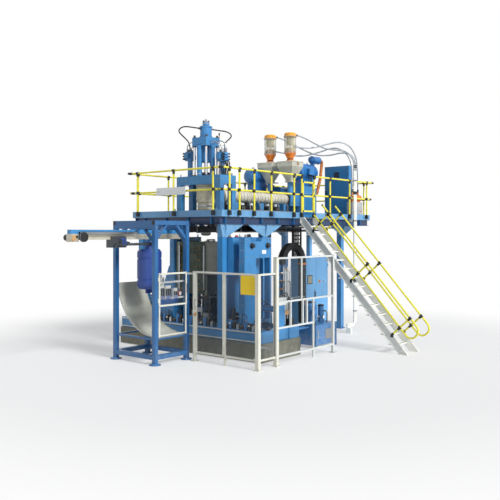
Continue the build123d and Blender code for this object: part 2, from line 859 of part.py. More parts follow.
with BuildPart() as rail_sockets:
    for place_x, place_y in post_places:
        half = socket_side / 2
        reach_x = rail_setback - seat_gap if place_x == rail_left else half
        back_x = rail_setback - seat_gap if place_x == rail_right else half
        reach_y = rail_setback - seat_gap if place_y == rail_front else half
        back_y = rail_setback - seat_gap if place_y == rail_back else half
        block(
            place_x - back_x, place_x + reach_x, place_y - back_y, place_y + reach_y,
            socket_top - socket_height, socket_top,
        )
keep(rail_sockets, "rail_sockets")

# Stair: two channel stringers with folded treads between them
stair_top = deck_top
stair_start = deck_front - seat_gap
slope = math.atan2(stair_top, stair_run)
along_y = -math.cos(slope)
along_z = -math.sin(slope)
across_y = -math.sin(slope)
across_z = math.cos(slope)
stair_length = math.hypot(stair_top, stair_run)


def on_stair(distance, height):
    """Point in the stair's side view, so far down its nosing line and so high square to it."""
    return (
        stair_start + along_y * distance + across_y * height,
        stair_top + along_z * distance + across_z * height,
    )


def stringer_outline(inset):
    """Side view of a stringer, cut level at the floor and at the deck, and upright against the beam."""
    half = stringer_depth / 2 - inset
    drop = half / math.cos(slope)
    steepness = math.tan(slope)
    start = stair_start - inset
    top = stair_top - inset - seat_gap

    def place(level, shift):
        """Where the stringer's edge, so far above its nosing line, comes down to a level."""
        return (stair_start + (level - stair_top - shift) / steepness, level)

    low_z = stair_top + (start - stair_start) * steepness - drop
    return [(start, top), (start, low_z), place(inset, -drop), place(inset, drop), place(top, drop)]


rise = stair_top / stair_steps
going = stair_run / stair_steps
tread_half = stair_width / 2 - stringer_thickness - seat_gap
stair_middle = stair_left + stair_width / 2
with BuildPart() as stair_flight:
    for side, outer in ((-1, stair_left), (1, stair_right)):
        web_x = outer if side > 0 else outer + stringer_thickness
        prism(Plane.YZ.offset(web_x - stringer_thickness), stringer_outline(0), stringer_thickness)
        pocket_x = outer - stringer_thickness + stringer_web if side > 0 else outer
        prism(
            Plane.YZ.offset(pocket_x), stringer_outline(stringer_flange),
            stringer_thickness - stringer_web, mode=Mode.SUBTRACT,
        )
    for step in range(1, stair_steps):
        front_y = stair_start - step * going
        top_z = stair_top - step * rise
        fold = [
            (front_y, top_z), (front_y, top_z - tread_thickness), (
                front_y + tread_lip, top_z - tread_thickness,
            ),
            (front_y + tread_lip, top_z - tread_lip), (front_y + tread_depth - tread_lip, top_z - tread_lip),
            (front_y + tread_depth - tread_lip, top_z - tread_thickness),
            (front_y + tread_depth, top_z - tread_thickness), (front_y + tread_depth, top_z),
        ]
        prism(Plane.YZ.offset(stair_middle - tread_half), fold, 2 * tread_half)
keep(stair_flight, "stair_flight")

# Handrails, each a top rail bent round at the foot into its knee rail, on posts square to the slope
with BuildPart() as stair_handrails:
    rail_start, rail_end = (share * stair_length for share in handrail_ends)
    for rail_x in (stair_left + stringer_thickness / 2, stair_right - stringer_thickness / 2):
        corners = [
            on_stair(rail_start, handrail_offset), on_stair(rail_end, handrail_offset),
            on_stair(rail_end, knee_rail_offset), on_stair(rail_start, knee_rail_offset),
        ]
        with BuildLine() as route:
            FilletPolyline(*[(rail_x, y, z) for y, z in corners], radius=handrail_bend)
        with BuildSketch(Plane(origin=route.line @ 0, z_dir=route.line % 0)) as section:
            Circle(rail_radius)
        sweep(section.sketch, path=route.line)
        for share in handrail_post_places:
            foot = share * stair_length
            spans = (
                (stringer_depth / 2 + seat_gap, knee_rail_offset - rail_radius - seat_gap),
                (knee_rail_offset + rail_radius + seat_gap, handrail_offset - rail_radius - seat_gap),
            )
            for low, high in spans:
                rod((rail_x, *on_stair(foot, low)), (rail_x, *on_stair(foot, high)), rail_radius)
keep(stair_handrails, "stair_handrails")

# Swing gate at the head of the stair
gate_x_from = gate_post_left + rail_radius + gate_side_gap
gate_x_to = gate_post_right - rail_radius - gate_side_gap
with BuildPart() as stair_gate:
    gate_y = rail_front - gate_thickness / 2
    bottom_z = deck_top + gate_foot_gap
    top_z = deck_top + gate_height
    block(gate_x_from, gate_x_from + gate_thickness, gate_y, gate_y + gate_thickness, bottom_z, top_z)
    block(gate_x_to - gate_thickness, gate_x_to, gate_y, gate_y + gate_thickness, bottom_z, top_z)
    for bar_z in (bottom_z, deck_top + gate_mid_height, top_z - gate_thickness):
        block(
            gate_x_from + gate_thickness + seat_gap, gate_x_to - gate_thickness - seat_gap,
            gate_y, gate_y + gate_thickness, bar_z, bar_z + gate_thickness,
        )
    gate_axis_y = gate_y + gate_thickness + hinge_radius
    post_reach = rail_radius + hinge_radius + seat_gap
    gate_axis = (gate_post_left + math.sqrt(post_reach**2 - (gate_axis_y - rail_front) ** 2), gate_axis_y)
    for level in (bottom_z + gate_thickness, top_z - gate_thickness - hinge_length):
        hinge(*gate_axis, (hinge_leaf, -hinge_radius), level)
keep(stair_gate, "stair_gate")

# Head stand: two portals across the opening, tied by a plate box
stand_foot = deck_top + seat_gap
stand_plate_bottom = stand_top - stand_plate
with BuildPart() as head_stand:
    for side in (-1, 1):
        span = sorted((side * stand_half_y, side * (stand_half_y - stand_leg)))
        block(-stand_half_x, stand_half_x, span[0], span[1], stand_foot, stand_foot + stand_sill)
        for edge in (-1, 1):
            leg = sorted((edge * stand_half_x, edge * (stand_half_x - stand_leg)))
            block(
                leg[0], leg[1], span[0], span[1],
                stand_foot + stand_sill + seat_gap, stand_plate_bottom - seat_gap,
            )
    block(-stand_half_x, stand_half_x, -stand_half_y, stand_half_y, stand_plate_bottom, stand_top)
    for edge in (-1, 1):
        for side in (-1, 1):
            rod_at = (edge * push_rod_offset, side * push_rod_offset)
            rod(
                (*rod_at, stand_plate_bottom), (*rod_at, stand_top), push_rod_radius + slide_gap,
                mode=Mode.SUBTRACT,
            )
keep(head_stand, "head_stand")

# Accumulator head with its die, turned, and bored for the push rods
head_profile = [
    (70, die_height), (130, die_height + 30), (130, die_height + 90), (190, die_height + 100),
    (190, die_height + 160), (275, die_height + 165), (275, die_height + 225), (245, die_height + 230),
    (245, deck_top - 80), (275, deck_top - 75), (275, deck_top - 20), (head_radius, deck_top - 15),
    (head_radius, barrel_z - 210), (head_radius + head_collar, barrel_z - 205), (
        head_radius + head_collar, barrel_z + 200,
    ),
    (head_radius, barrel_z + 205), (head_top_radius, barrel_z + 215), (
        head_top_radius, stand_plate_bottom - seat_gap,
    ),
]
with BuildPart() as accumulator_head:
    turned((0, 0, 0), (0, 0, 1), head_profile)
    for edge in (-1, 1):
        for side in (-1, 1):
            rod_at = (edge * push_rod_offset, side * push_rod_offset)
            rod(
                (*rod_at, stand_plate_bottom - push_rod_depth), (*rod_at, stand_plate_bottom),
                push_rod_radius + slide_gap, mode=Mode.SUBTRACT,
            )
keep(accumulator_head, "accumulator_head")

# Ram frame: tie rods, upper block and the wall-thickness programmer on top
block_top = ram_block_bottom + ram_block_height
with BuildPart() as ram_tie_rods:
    for edge in (-1, 1):
        for side in (-1, 1):
            rod_at = (edge * tie_rod_offset, side * tie_rod_offset)
            rod((*rod_at, stand_top + seat_gap), (*rod_at, ram_block_bottom - seat_gap), tie_rod_radius)
keep(ram_tie_rods, "ram_tie_rods")

ram_bottom = ram_block_bottom - ram_length
with BuildPart() as ram_unit:
    block(-ram_block_half, ram_block_half, -ram_block_half, ram_block_half, ram_block_bottom, block_top)
    chamfer(ram_unit.edges().filter_by(Axis.Z), length=gusset_edge)
    turned(
        (0, 0, 0), (0, 0, 1),
        [
            (ram_radius - ram_neck, ram_bottom), (ram_radius, ram_bottom + ram_neck),
            (ram_radius, ram_bottom + 3 * ram_neck), (ram_radius - ram_neck, ram_bottom + 3 * ram_neck),
            (ram_radius - ram_neck, ram_block_bottom - seat_gap),
        ],
    )
    rod(
        (0, 0, ram_bottom), (0, 0, ram_block_bottom - cylinder_cap), ram_rod_radius + slide_gap,
        mode=Mode.SUBTRACT,
    )
    base = block_top + seat_gap
    turned(
        (0, 0, base), (0, 0, 1),
        [
            (programmer_radius + ram_neck, 0), (programmer_radius + ram_neck, 2 * flange_rim),
            (programmer_radius, 2 * flange_rim), (programmer_radius, programmer_height - 2 * flange_rim),
            (programmer_radius + flange_rim, programmer_height - 2 * flange_rim),
            (programmer_radius + flange_rim, programmer_height), (programmer_cap_radius, programmer_height),
            (programmer_cap_radius, programmer_height + programmer_cap_height),
        ],
    )
    for middle, low in ((left_manifold_y, manifold_z), (right_manifold_y, right_manifold_z)):
        block(
            -manifold_half, manifold_half, middle - manifold_half, middle + manifold_half,
            low, low + manifold_height,
        )
        stem = manifold_half / 2
        block(-stem, stem, middle - stem, middle + stem, stand_top + seat_gap, low - seat_gap)
keep(ram_unit, "ram_unit")

with BuildPart() as ram_crosshead:
    crosshead_bottom = stand_top + crosshead_rise
    block(
        -crosshead_half, crosshead_half, -crosshead_half, crosshead_half,
        crosshead_bottom, crosshead_bottom + crosshead_thickness,
    )
    rod(
        (0, 0, crosshead_bottom), (0, 0, ram_bottom + ram_length - ram_stroke - 3 * cylinder_cap),
        ram_rod_radius,
    )
    for edge in (-1, 1):
        for side in (-1, 1):
            rod_at = (edge * push_rod_offset, side * push_rod_offset)
            push_end = stand_plate_bottom - push_rod_depth + crosshead_rise
            rod((*rod_at, push_end), (*rod_at, crosshead_bottom), push_rod_radius)
keep(ram_crosshead, "ram_crosshead")

# Extruder barrels under heater covers, and the adapter that brings the second melt to the head
barrel_start = head_radius + head_collar + seat_gap


def barrel_profile(radius, start, end):
    """Covers of equal length along a barrel, parted by narrow grooves."""
    bands = round((end - start) / barrel_band)
    pitch = (end - start) / bands
    points = []
    for band in range(bands):
        left = band * pitch
        points += [(radius - barrel_seam, left), (radius - barrel_seam, left + barrel_seam)]
        points += [(radius, left + barrel_seam), (radius, left + pitch)]
    return points


collar = head_radius + head_collar + seat_gap
head_envelope = [(collar, deck_top), (collar, stand_plate_bottom)]
with BuildPart() as extruder_barrels:
    knee = (second_barrel_start - adapter_reach, second_y, barrel_z)
    rod((second_barrel_start - seat_gap, second_y, barrel_z), knee, adapter_radius)
    rod(knee, (0, 0, barrel_z), adapter_radius * 0.8)
    barrel_envelope = [(barrel_radius + seat_gap, 0), (barrel_radius + seat_gap, feed_start)]
    turned((barrel_start - barrel_radius, 0, barrel_z), (1, 0, 0), barrel_envelope, mode=Mode.SUBTRACT)
    turned(
        (barrel_start, 0, barrel_z), (1, 0, 0),
        barrel_profile(barrel_radius, barrel_start, feed_start - seat_gap),
    )
    turned((0, 0, 0), (0, 0, 1), head_envelope, mode=Mode.SUBTRACT)
    second_covers = barrel_profile(second_barrel_radius, second_barrel_start, feed_start - seat_gap)
    turned((second_barrel_start, second_y, barrel_z), (1, 0, 0), second_covers)
keep(extruder_barrels, "extruder_barrels")

# Feed throats and gearboxes
bed_z = deck_top + seat_gap
gearbox_foot = bed_z + extruder_bed_height + seat_gap
gearbox_end = feed_end + gearbox_length
with BuildPart() as gearboxes:
    for middle in (0, second_y):
        block(
            feed_start, feed_end - seat_gap, middle - feed_half, middle + feed_half, barrel_z - feed_half,
            barrel_z + feed_half,
        )
        rod(
            (throat_x, middle, barrel_z + feed_half), (throat_x, middle, hopper_cone_bottom - seat_gap),
            throat_radius,
        )
    for middle in (0, second_y):
        half = gearbox_half_width if middle == 0 else second_gearbox_half_width
        outline = [
            (middle - half, gearbox_foot), (middle + half, gearbox_foot),
            (middle + half, gearbox_top - gearbox_chamfer), (middle + half - gearbox_chamfer, gearbox_top),
            (middle - half + gearbox_chamfer, gearbox_top), (middle - half, gearbox_top - gearbox_chamfer),
        ]
        prism(Plane.YZ.offset(feed_end), outline, gearbox_length)
keep(gearboxes, "gearboxes")

# Drive motors on saddles
motor_profile = [
    (motor_radius - motor_cap, 0), (motor_radius, motor_cap), (motor_radius, motor_length - 3 * motor_cap),
    (motor_radius - motor_step, motor_length - 3 * motor_cap), (
        motor_radius - motor_step, motor_length - motor_cap,
    ),
    (motor_radius - motor_cap - motor_step, motor_length),
]
with BuildPart() as drive_motors:
    turned(
        (fan_start, fan_y, fan_z), (1, 0, 0),
        [
            (fan_radius / 2, 0), (fan_radius * 0.6, fan_neck), (fan_radius, 1.5 * fan_neck),
            (fan_radius, fan_end - fan_start - fan_neck), (fan_radius * 0.7, fan_end - fan_start),
        ],
    )
    stem_start = fan_start + fan_stem_start
    block(
        stem_start, stem_start + fan_stem_side, fan_y - fan_stem_side / 2, fan_y + fan_stem_side / 2,
        motor_z + motor_radius * 0.9, fan_z,
    )
    motor_envelope = [(radius + seat_gap, place) for radius, place in motor_profile]
    turned((motor_start, 0, motor_z), (1, 0, 0), motor_envelope, mode=Mode.SUBTRACT)
    saddle = motor_foot_width / 2
    share = second_motor_radius / motor_radius
    for middle, height, start, scale, foot in (
        (0, motor_z, motor_start, 1.0, gearbox_top + seat_gap),
        (second_motor_y, second_motor_z, second_motor_start, share, gearbox_foot),
    ):
        shell = [(radius * scale, place) for radius, place in motor_profile]
        turned((start, middle, height), (1, 0, 0), shell)
        block(
            start + 3 * motor_cap, start + motor_length - 4 * motor_cap, middle - saddle, middle + saddle,
            foot, height,
        )
keep(drive_motors, "drive_motors")

# Duct that brings the fan's air down to the gearbox
duct_points = [
    (fan_end + seat_gap, fan_y, fan_z), (fan_end + duct_reach, fan_y, fan_z),
    (fan_end + duct_waist[0], fan_y, duct_waist[1]), (fan_end - duct_reach, fan_y, duct_mouth_z),
    (gearbox_end + seat_gap, fan_y, duct_mouth_z),
]
with BuildPart() as motor_duct:
    with BuildLine() as route:
        FilletPolyline(*duct_points, radius=list(duct_bends))
    with BuildSketch(Plane(origin=route.line @ 0, z_dir=route.line % 0)) as section:
        Circle(duct_radius)
    sweep(section.sketch, path=route.line)
keep(motor_duct, "motor_duct")

# Beds, feet and cooling blowers under the barrels
with BuildPart() as extruder_stands:
    for middle in (0, second_y):
        for side in (-1, 1):
            rail = sorted(
                (middle + side * extruder_bed_half, middle + side * (extruder_bed_half - extruder_bed_rail)),
            )
            start = head_opening + panel_gap if middle == 0 else second_barrel_start
            block(start, gearbox_end, rail[0], rail[1], bed_z, bed_z + extruder_bed_height)
        radius = barrel_radius if middle == 0 else second_barrel_radius
        for foot_x in barrel_foot_places:
            block(
                foot_x, foot_x + barrel_foot_width, middle - extruder_bed_half, middle + extruder_bed_half,
                gearbox_foot, barrel_z - radius - seat_gap,
            )
    lug = motor_foot_width / 2
    block(
        second_motor_start + 3 * motor_cap, second_motor_start + motor_length - 4 * motor_cap,
        second_motor_y - lug, second_motor_y + lug, bed_z, gearbox_foot - seat_gap,
    )
keep(extruder_stands, "extruder_stands")

with BuildPart() as barrel_blowers:
    for blower_x in blower_places:
        blower_z = gearbox_foot + blower_radius
        rod(
            (blower_x, -extruder_bed_half, blower_z), (
                blower_x, -extruder_bed_half + 2 * blower_length, blower_z,
            ),
            blower_radius,
        )
        block(
            blower_x - blower_radius / 2, blower_x + blower_radius / 2, -blower_radius / 2, blower_radius / 2,
            blower_z, barrel_z - barrel_radius - seat_gap,
        )
keep(barrel_blowers, "barrel_blowers")

# Hoppers, square at the top and round at the throat
with BuildPart() as hoppers:
    for middle in (0, second_y):
        shoulder = hopper_top - hopper_straight
        block(
            throat_x - hopper_half, throat_x + hopper_half, middle - hopper_half, middle + hopper_half,
            shoulder, hopper_top,
        )
        with BuildSketch(Plane.XY.offset(shoulder)) as upper:
            with Locations((throat_x, middle)):
                Rectangle(2 * hopper_half, 2 * hopper_half)
        with BuildSketch(Plane.XY.offset(hopper_cone_bottom)) as lower:
            with Locations((throat_x, middle)):
                Rectangle(2 * throat_radius, 2 * throat_radius)
        loft([lower.sketch.face(), upper.sketch.face()], ruled=True)
keep(hoppers, "hoppers")

# Vacuum loaders: discharge cone, sight glass and lid with its ports
cone_top = hopper_top + seat_gap + loader_cone_height
glass_top = cone_top + seat_gap + loader_glass_height
port_z = glass_top + loader_lid_rim + port_radius
with BuildPart() as loader_ends:
    for middle in (0, second_y):
        turned(
            (throat_x, middle, hopper_top + seat_gap), (0, 0, 1),
            [
                (loader_foot_radius, 0), (loader_foot_radius, loader_rim), (loader_neck_radius, loader_rim),
                (loader_radius, loader_cone_height - loader_rim), (
                    loader_rim_radius, loader_cone_height - loader_rim,
                ),
                (loader_rim_radius, loader_cone_height),
            ],
        )
        turned(
            (throat_x, middle, glass_top + seat_gap), (0, 0, 1),
            [
                (loader_lid_radius, 0), (loader_lid_radius, loader_lid_rim / 2),
                (loader_rim_radius, loader_lid_rim / 2), (
                    loader_rim_radius, loader_lid_height - loader_lid_edge,
                ),
                (loader_radius - loader_lid_edge, loader_lid_height),
            ],
        )
        start_x = throat_x + loader_neck_radius
        rod(
            (start_x, middle, port_z), (throat_x + loader_lid_radius + port_length, middle, port_z),
            port_radius,
        )
keep(loader_ends, "loader_ends")

with BuildPart() as loader_glasses:
    for middle in (0, second_y):
        rod((throat_x, middle, cone_top + seat_gap), (throat_x, middle, glass_top), loader_radius)
keep(loader_glasses, "loader_glasses")

# Riser pipes from the material store, bent over at the floor, and clamped to the deck beam
with BuildPart() as riser_pipes:
    pipe_end = riser_places[0] - riser_reach
    for number, riser_x in enumerate(riser_places):
        turn_z = riser_foot + number * 2.2 * riser_radius
        points = [(riser_x, riser_y, riser_top), (riser_x, riser_y, turn_z), (pipe_end, riser_y, turn_z)]
        with BuildLine() as route:
            FilletPolyline(*points, radius=riser_bend)
        with BuildSketch(Plane(origin=route.line @ 0, z_dir=route.line % 0)) as section:
            Circle(riser_radius)
        sweep(section.sketch, path=route.line)
    for clamp_z, clamp_back in ((beam_top_z, deck_front), (rail_z + riser_radius, rail_front - rail_radius)):
        block(
            riser_places[0] - riser_radius, riser_places[1] + riser_radius,
            riser_y + riser_radius + seat_gap, clamp_back - seat_gap, clamp_z - 2 * riser_radius, clamp_z,
        )
    foot_half = 2.5 * riser_radius
    block(
        pipe_end + foot_half, pipe_end + 2 * foot_half, riser_y - foot_half, riser_y + foot_half,
        0, riser_foot - riser_radius - seat_gap,
    )
keep(riser_pipes, "riser_pipes")

# Vacuum pump on the platform
pump_top = bed_z + pump_body_height + seat_gap
pump_drum_z = pump_top + pump_drum_radius + pump_drum_gap
pump_port_top = pump_drum_z + pump_drum_radius + pump_port_height
pump_ports = (pump_left + pump_port_setbacks[0], pump_right - pump_port_setbacks[1])
pump_middle_y = (pump_front + pump_back) / 2
with BuildPart() as vacuum_pump:
    block(pump_left, pump_right, pump_front, pump_back, bed_z, bed_z + pump_body_height)
    rod(
        (pump_left + pump_drum_setback, pump_middle_y, pump_drum_z),
        (pump_right - pump_drum_setback, pump_middle_y, pump_drum_z), pump_drum_radius,
    )
    block(
        pump_left + pump_saddle, pump_right - pump_saddle,
        pump_middle_y - pump_saddle, pump_middle_y + pump_saddle,
        pump_top, pump_drum_z,
    )
    for port_x in pump_ports:
        rod((port_x, pump_middle_y, pump_drum_z), (port_x, pump_middle_y, pump_port_top), port_radius)
keep(vacuum_pump, "vacuum_pump")

# Deck cabinet, an open box with its door
deck_cabinet_back = deck_cabinet_front + deck_cabinet_width
cabinet_x = deck_cabinet_left + door_thickness + seat_gap
cabinet_end = deck_cabinet_left + deck_cabinet_depth
cabinet_top = bed_z + deck_cabinet_height
with BuildPart() as deck_cabinet:
    block(cabinet_end - cabinet_wall, cabinet_end, deck_cabinet_front, deck_cabinet_back, bed_z, cabinet_top)
    wall_end = cabinet_end - cabinet_wall - seat_gap
    for low in (bed_z, cabinet_top - cabinet_wall):
        block(cabinet_x, wall_end, deck_cabinet_front, deck_cabinet_back, low, low + cabinet_wall)
    for low in (deck_cabinet_front, deck_cabinet_back - cabinet_wall):
        block(
            cabinet_x, wall_end, low, low + cabinet_wall,
            bed_z + cabinet_wall + seat_gap, cabinet_top - cabinet_wall - seat_gap,
        )
keep(deck_cabinet, "deck_cabinet")

with BuildPart() as deck_cabinet_door:
    block(
        deck_cabinet_left, deck_cabinet_left + door_thickness, deck_cabinet_front, deck_cabinet_back,
        bed_z + door_foot_gap, cabinet_top,
    )
    for level in (bed_z + 2 * hinge_length, cabinet_top - 3 * hinge_length):
        hinge(deck_cabinet_left - hinge_radius, deck_cabinet_front, (hinge_radius, hinge_leaf), level)
keep(deck_cabinet_door, "deck_cabinet_door")

# Control cabinet on the floor with two doors
control_right = control_left + control_width
control_back = control_front + control_depth
door_line = control_front + door_thickness + seat_gap
with BuildPart() as control_cabinet:
    block(control_left, control_right, door_line, control_back, 0, control_plinth)
    low = control_plinth + seat_gap
    back_line = control_back - cabinet_wall
    block(control_left, control_right, back_line, control_back, low, control_top)
    block(control_left, control_right, door_line, back_line - seat_gap, low, low + cabinet_wall)
    block(
        control_left, control_right, door_line, back_line - seat_gap, control_top - cabinet_wall, control_top,
    )
    for left in (control_left, control_right - cabinet_wall):
        block(
            left, left + cabinet_wall, door_line, back_line - seat_gap,
            low + cabinet_wall + seat_gap, control_top - cabinet_wall - seat_gap,
        )
    block(
        joist_places[3] - cable_duct_half, joist_places[3] + cable_duct_half,
        back_line - 2 * cable_duct_half, back_line,
        control_top + seat_gap, beam_bottom_z - seat_gap,
    )
keep(control_cabinet, "control_cabinet")

door_meeting = control_left + control_width / 2
for name, left, right, hinge_x, leaf in (
    ("control_door_left", control_left, door_meeting - door_half_gap, control_left, hinge_leaf),
    ("control_door_right", door_meeting + door_half_gap, control_right, control_right, -hinge_leaf),
):
    with BuildPart() as control_door:
        door_foot = control_plinth + door_foot_gap
        block(left, right, control_front, control_front + door_thickness, door_foot, control_top)
        for level in (control_plinth + 2 * hinge_length, control_top - 3 * hinge_length):
            hinge(hinge_x, control_front - hinge_radius, (leaf, hinge_radius), level)
    keep(control_door, name)

# Hydraulic unit: tank on legs, pump motor and filter
tank_right = tank_left + tank_length
tank_back = tank_front + tank_width
tank_top = tank_leg + tank_height
with BuildPart() as hydraulic_unit:
    for leg_x in (tank_left, tank_right - tank_leg):
        for leg_y in (tank_front, tank_back - tank_leg):
            block(leg_x, leg_x + tank_leg, leg_y, leg_y + tank_leg, 0, tank_leg - seat_gap)
    block(tank_left, tank_right, tank_front, tank_back, tank_leg, tank_top)
    motor_y = tank_front + tank_motor_place[1] * tank_width
    motor_x = tank_left + tank_motor_place[0] * tank_length
    turned(
        (motor_x, motor_y, tank_top + seat_gap), (0, 0, 1),
        [
            (pump_motor_radius * 0.8, 0), (pump_motor_radius * 0.8, bell_height), (
                pump_motor_radius, bell_height,
            ),
            (pump_motor_radius, pump_motor_length), (
                pump_motor_radius * 0.85, pump_motor_length + bell_height / 2,
            ),
        ],
    )
    for pipe_y in (motor_y - tank_pipe_spacing, motor_y):
        rod(
            (bed_half_width + seat_gap, pipe_y, tank_pipe_z), (tank_left - seat_gap, pipe_y, tank_pipe_z),
            tank_pipe_radius,
        )
    filter_x = tank_right - filter_setback
    rod(
        (filter_x, motor_y, tank_top + seat_gap), (filter_x, motor_y, tank_top + filter_height),
        filter_radius,
    )
keep(hydraulic_unit, "hydraulic_unit")

# Cooling water headers with the hose arch that leaves them
with BuildPart() as water_headers:
    for header_x in water_header_places:
        half = water_header_side / 2
        block(header_x - half, header_x + half, arch_y - half, arch_y + half, 0, arch_center_z - seat_gap)
    tie_y = arch_y - water_header_side / 2 - seat_gap
    tie_start = floor_column_places[0][0] + column_side / 2 + seat_gap
    block(
        tie_start, water_header_places[1], tie_y - frame_bar, tie_y,
        header_tie_z, header_tie_z + frame_bar,
    )
    arch_right = arch_center_x + arch_radius
    half = arch_width / 2
    block(arch_right - arch_band, arch_right, arch_y - half, arch_y + half, 0, arch_center_z - seat_gap)
    with BuildSketch(Plane.XZ.offset(-(arch_y + arch_width / 2))) as band:
        with Locations((arch_center_x, arch_center_z)):
            Circle(arch_radius)
            Circle(arch_radius - arch_band, mode=Mode.SUBTRACT)
        with Locations((arch_center_x, arch_center_z - arch_radius / 2)):
            Rectangle(2 * arch_radius, arch_radius, mode=Mode.SUBTRACT)
    extrude(band.sketch, amount=arch_width)
keep(water_headers, "water_headers")

# Take-out frame of square tube on round feet
inner_left = frame_left + frame_tube
inner_right = frame_right - frame_tube
inner_y = frame_half_y - frame_tube
leg_foot = frame_foot_height + seat_gap
top_beam_z = frame_top - frame_tube
front_bar_edge = (frame_tube + frame_bar) / 2 - frame_half_y
rear_bar_edge = -front_bar_edge
chute_reach = math.sqrt(chute_radius**2 - (front_bar_edge - chute_center_y) ** 2)
chute_center_z = chute_bar_z + frame_bar + seat_gap + chute_reach
rear_bar_top = chute_center_z - math.sqrt(
    (chute_radius + seat_gap) ** 2 - (rear_bar_edge - chute_center_y) ** 2,
)
with BuildPart() as takeout_frame:
    for leg_x in (frame_left, inner_right):
        for leg_y in (-frame_half_y, inner_y):
            middle = (leg_x + frame_tube / 2, leg_y + frame_tube / 2)
            rod((*middle, 0), (*middle, frame_foot_height), frame_foot_radius)
            block(leg_x, leg_x + frame_tube, leg_y, leg_y + frame_tube, leg_foot, top_beam_z - seat_gap)
    for leg_y in (-frame_half_y, inner_y):
        block(frame_left, frame_right, leg_y, leg_y + frame_tube, top_beam_z, frame_top)
        block(
            inner_left + seat_gap, inner_right - seat_gap, leg_y, leg_y + frame_tube,
            frame_rail_z, frame_rail_z + frame_tube,
        )
        bar_y = leg_y + (frame_tube - frame_bar) / 2
        block(
            inner_left + seat_gap, inner_right - seat_gap, bar_y, bar_y + frame_bar,
            chute_bar_z, chute_bar_z + frame_bar,
        )
        for side, start in ((1, inner_left), (-1, inner_right)):
            brace = [
                (start + side * seat_gap, top_beam_z - brace_reach), (
                    start + side * brace_reach, top_beam_z - seat_gap,
                ),
                (start + side * (brace_reach - brace_slant), top_beam_z - seat_gap),
                (start + side * seat_gap, top_beam_z - brace_reach + brace_slant),
            ]
            prism(Plane.XZ.offset(-(leg_y + frame_tube - brace_inset)), brace, brace_size)
    block(
        inner_left + seat_gap, inner_right - seat_gap, rear_bar_edge, rear_bar_edge + frame_bar,
        rear_bar_top - frame_bar, rear_bar_top,
    )
    deep_z = frame_top - frame_deep_beam
    for leg_x in (frame_left, inner_right):
        block(
            leg_x, leg_x + frame_tube, -inner_y + seat_gap, inner_y - seat_gap, deep_z, frame_top,
        )
        block(
            leg_x, leg_x + frame_tube, -inner_y + seat_gap, inner_y - seat_gap,
            frame_rail_z, frame_rail_z + frame_tube,
        )
        bar_x = leg_x + (frame_tube - frame_bar) / 2
        block(
            bar_x, bar_x + frame_bar, -inner_y + seat_gap, inner_y - seat_gap,
            chute_bar_z, chute_bar_z + frame_bar,
        )
        for side in (-1, 1):
            brace = [
                (side * (inner_y - seat_gap), deep_z - brace_reach), (
                    side * (inner_y - brace_reach), deep_z - seat_gap,
                ),
                (side * (inner_y - brace_reach + brace_slant), deep_z - seat_gap),
                (side * (inner_y - seat_gap), deep_z - brace_reach + brace_slant),
            ]
            prism(Plane.YZ.offset(leg_x + brace_inset), brace, brace_size)
keep(takeout_frame, "takeout_frame")

# Chute: a rolled sheet that catches the drum, resting on the frame's front and rear bars
with BuildPart() as chute:
    with BuildSketch(Plane.YZ.offset(inner_left + chute_side_gap)) as sheet:
        with BuildLine():
            outer = CenterArc((chute_center_y, chute_center_z), chute_radius, -95, 90)
            inner = CenterArc((chute_center_y, chute_center_z), chute_radius - chute_thickness, -95, 90)
            Line(outer @ 0, inner @ 0)
            Line(outer @ 1, inner @ 1)
        make_face()
    extrude(sheet.sketch, amount=inner_right - inner_left - 2 * chute_side_gap)
keep(chute, "chute")

# Take-out beam hung under the frame's deep beams, over its guide profile
profile_top = beam_bottom - seat_gap
with BuildPart() as takeout_beam:
    block(beam_left, beam_right, -beam_half, beam_half, beam_bottom, beam_top)
    for leg_x in (frame_left, inner_right):
        block(
            leg_x, leg_x + frame_tube, -2 * beam_half, 2 * beam_half, beam_top + seat_gap, deep_z - seat_gap,
        )
    block(
        beam_left_x + seat_gap, beam_right, -beam_half, beam_half,
        beam_top + seat_gap, beam_bottom_z - seat_gap,
    )
    outline = [(-profile_half, profile_bottom), (profile_half, profile_bottom)]
    middle_z = (profile_bottom + profile_top) / 2
    outline += [
        (profile_half, middle_z - profile_slot), (profile_half - profile_slot, middle_z - profile_slot),
    ]
    outline += [
        (profile_half - profile_slot, middle_z + profile_slot), (profile_half, middle_z + profile_slot),
        (profile_half, profile_top),
    ]
    outline += [
        (-profile_half, profile_top), (-profile_half, middle_z + profile_slot),
        (profile_slot - profile_half, middle_z + profile_slot),
    ]
    outline += [
        (profile_slot - profile_half, middle_z - profile_slot), (-profile_half, middle_z - profile_slot),
    ]
    prism(
        Plane.YZ.offset(beam_left + end_box_length + seat_gap), outline,
        beam_right - beam_left - end_box_length,
    )
    block(
        beam_left, beam_left + end_box_length, -end_box_half, end_box_half,
        profile_bottom - frame_bar, beam_bottom - seat_gap,
    )
keep(takeout_beam, "takeout_beam")

# Gripper carriage astride the profile, with the plate and pins that carry the jaws
carriage_end = carriage_start + carriage_length
with BuildPart() as takeout_carriage:
    block(
        carriage_start, carriage_end, -carriage_half, carriage_half,
        carriage_bottom, profile_bottom - slide_gap,
    )
    for side in (-1, 1):
        cheek = sorted((side * (profile_half + slide_gap), side * carriage_half))
        block(
            carriage_start, carriage_end, cheek[0], cheek[1],
            profile_bottom - slide_gap, profile_bottom - slide_gap + cheek_height,
        )
    plate_z = jaw_bottom + jaw_height + slide_gap
    block(carriage_end, jaw_pivot_x + jaw_boss, -carriage_half, carriage_half, plate_z, plate_z + jaw_plate)
    for side in (-1, 1):
        pin_at = (jaw_pivot_x, side * jaw_pivot_y)
        rod((*pin_at, jaw_bottom - jaw_pin_radius), (*pin_at, plate_z), jaw_pin_radius)
keep(takeout_carriage, "takeout_carriage")

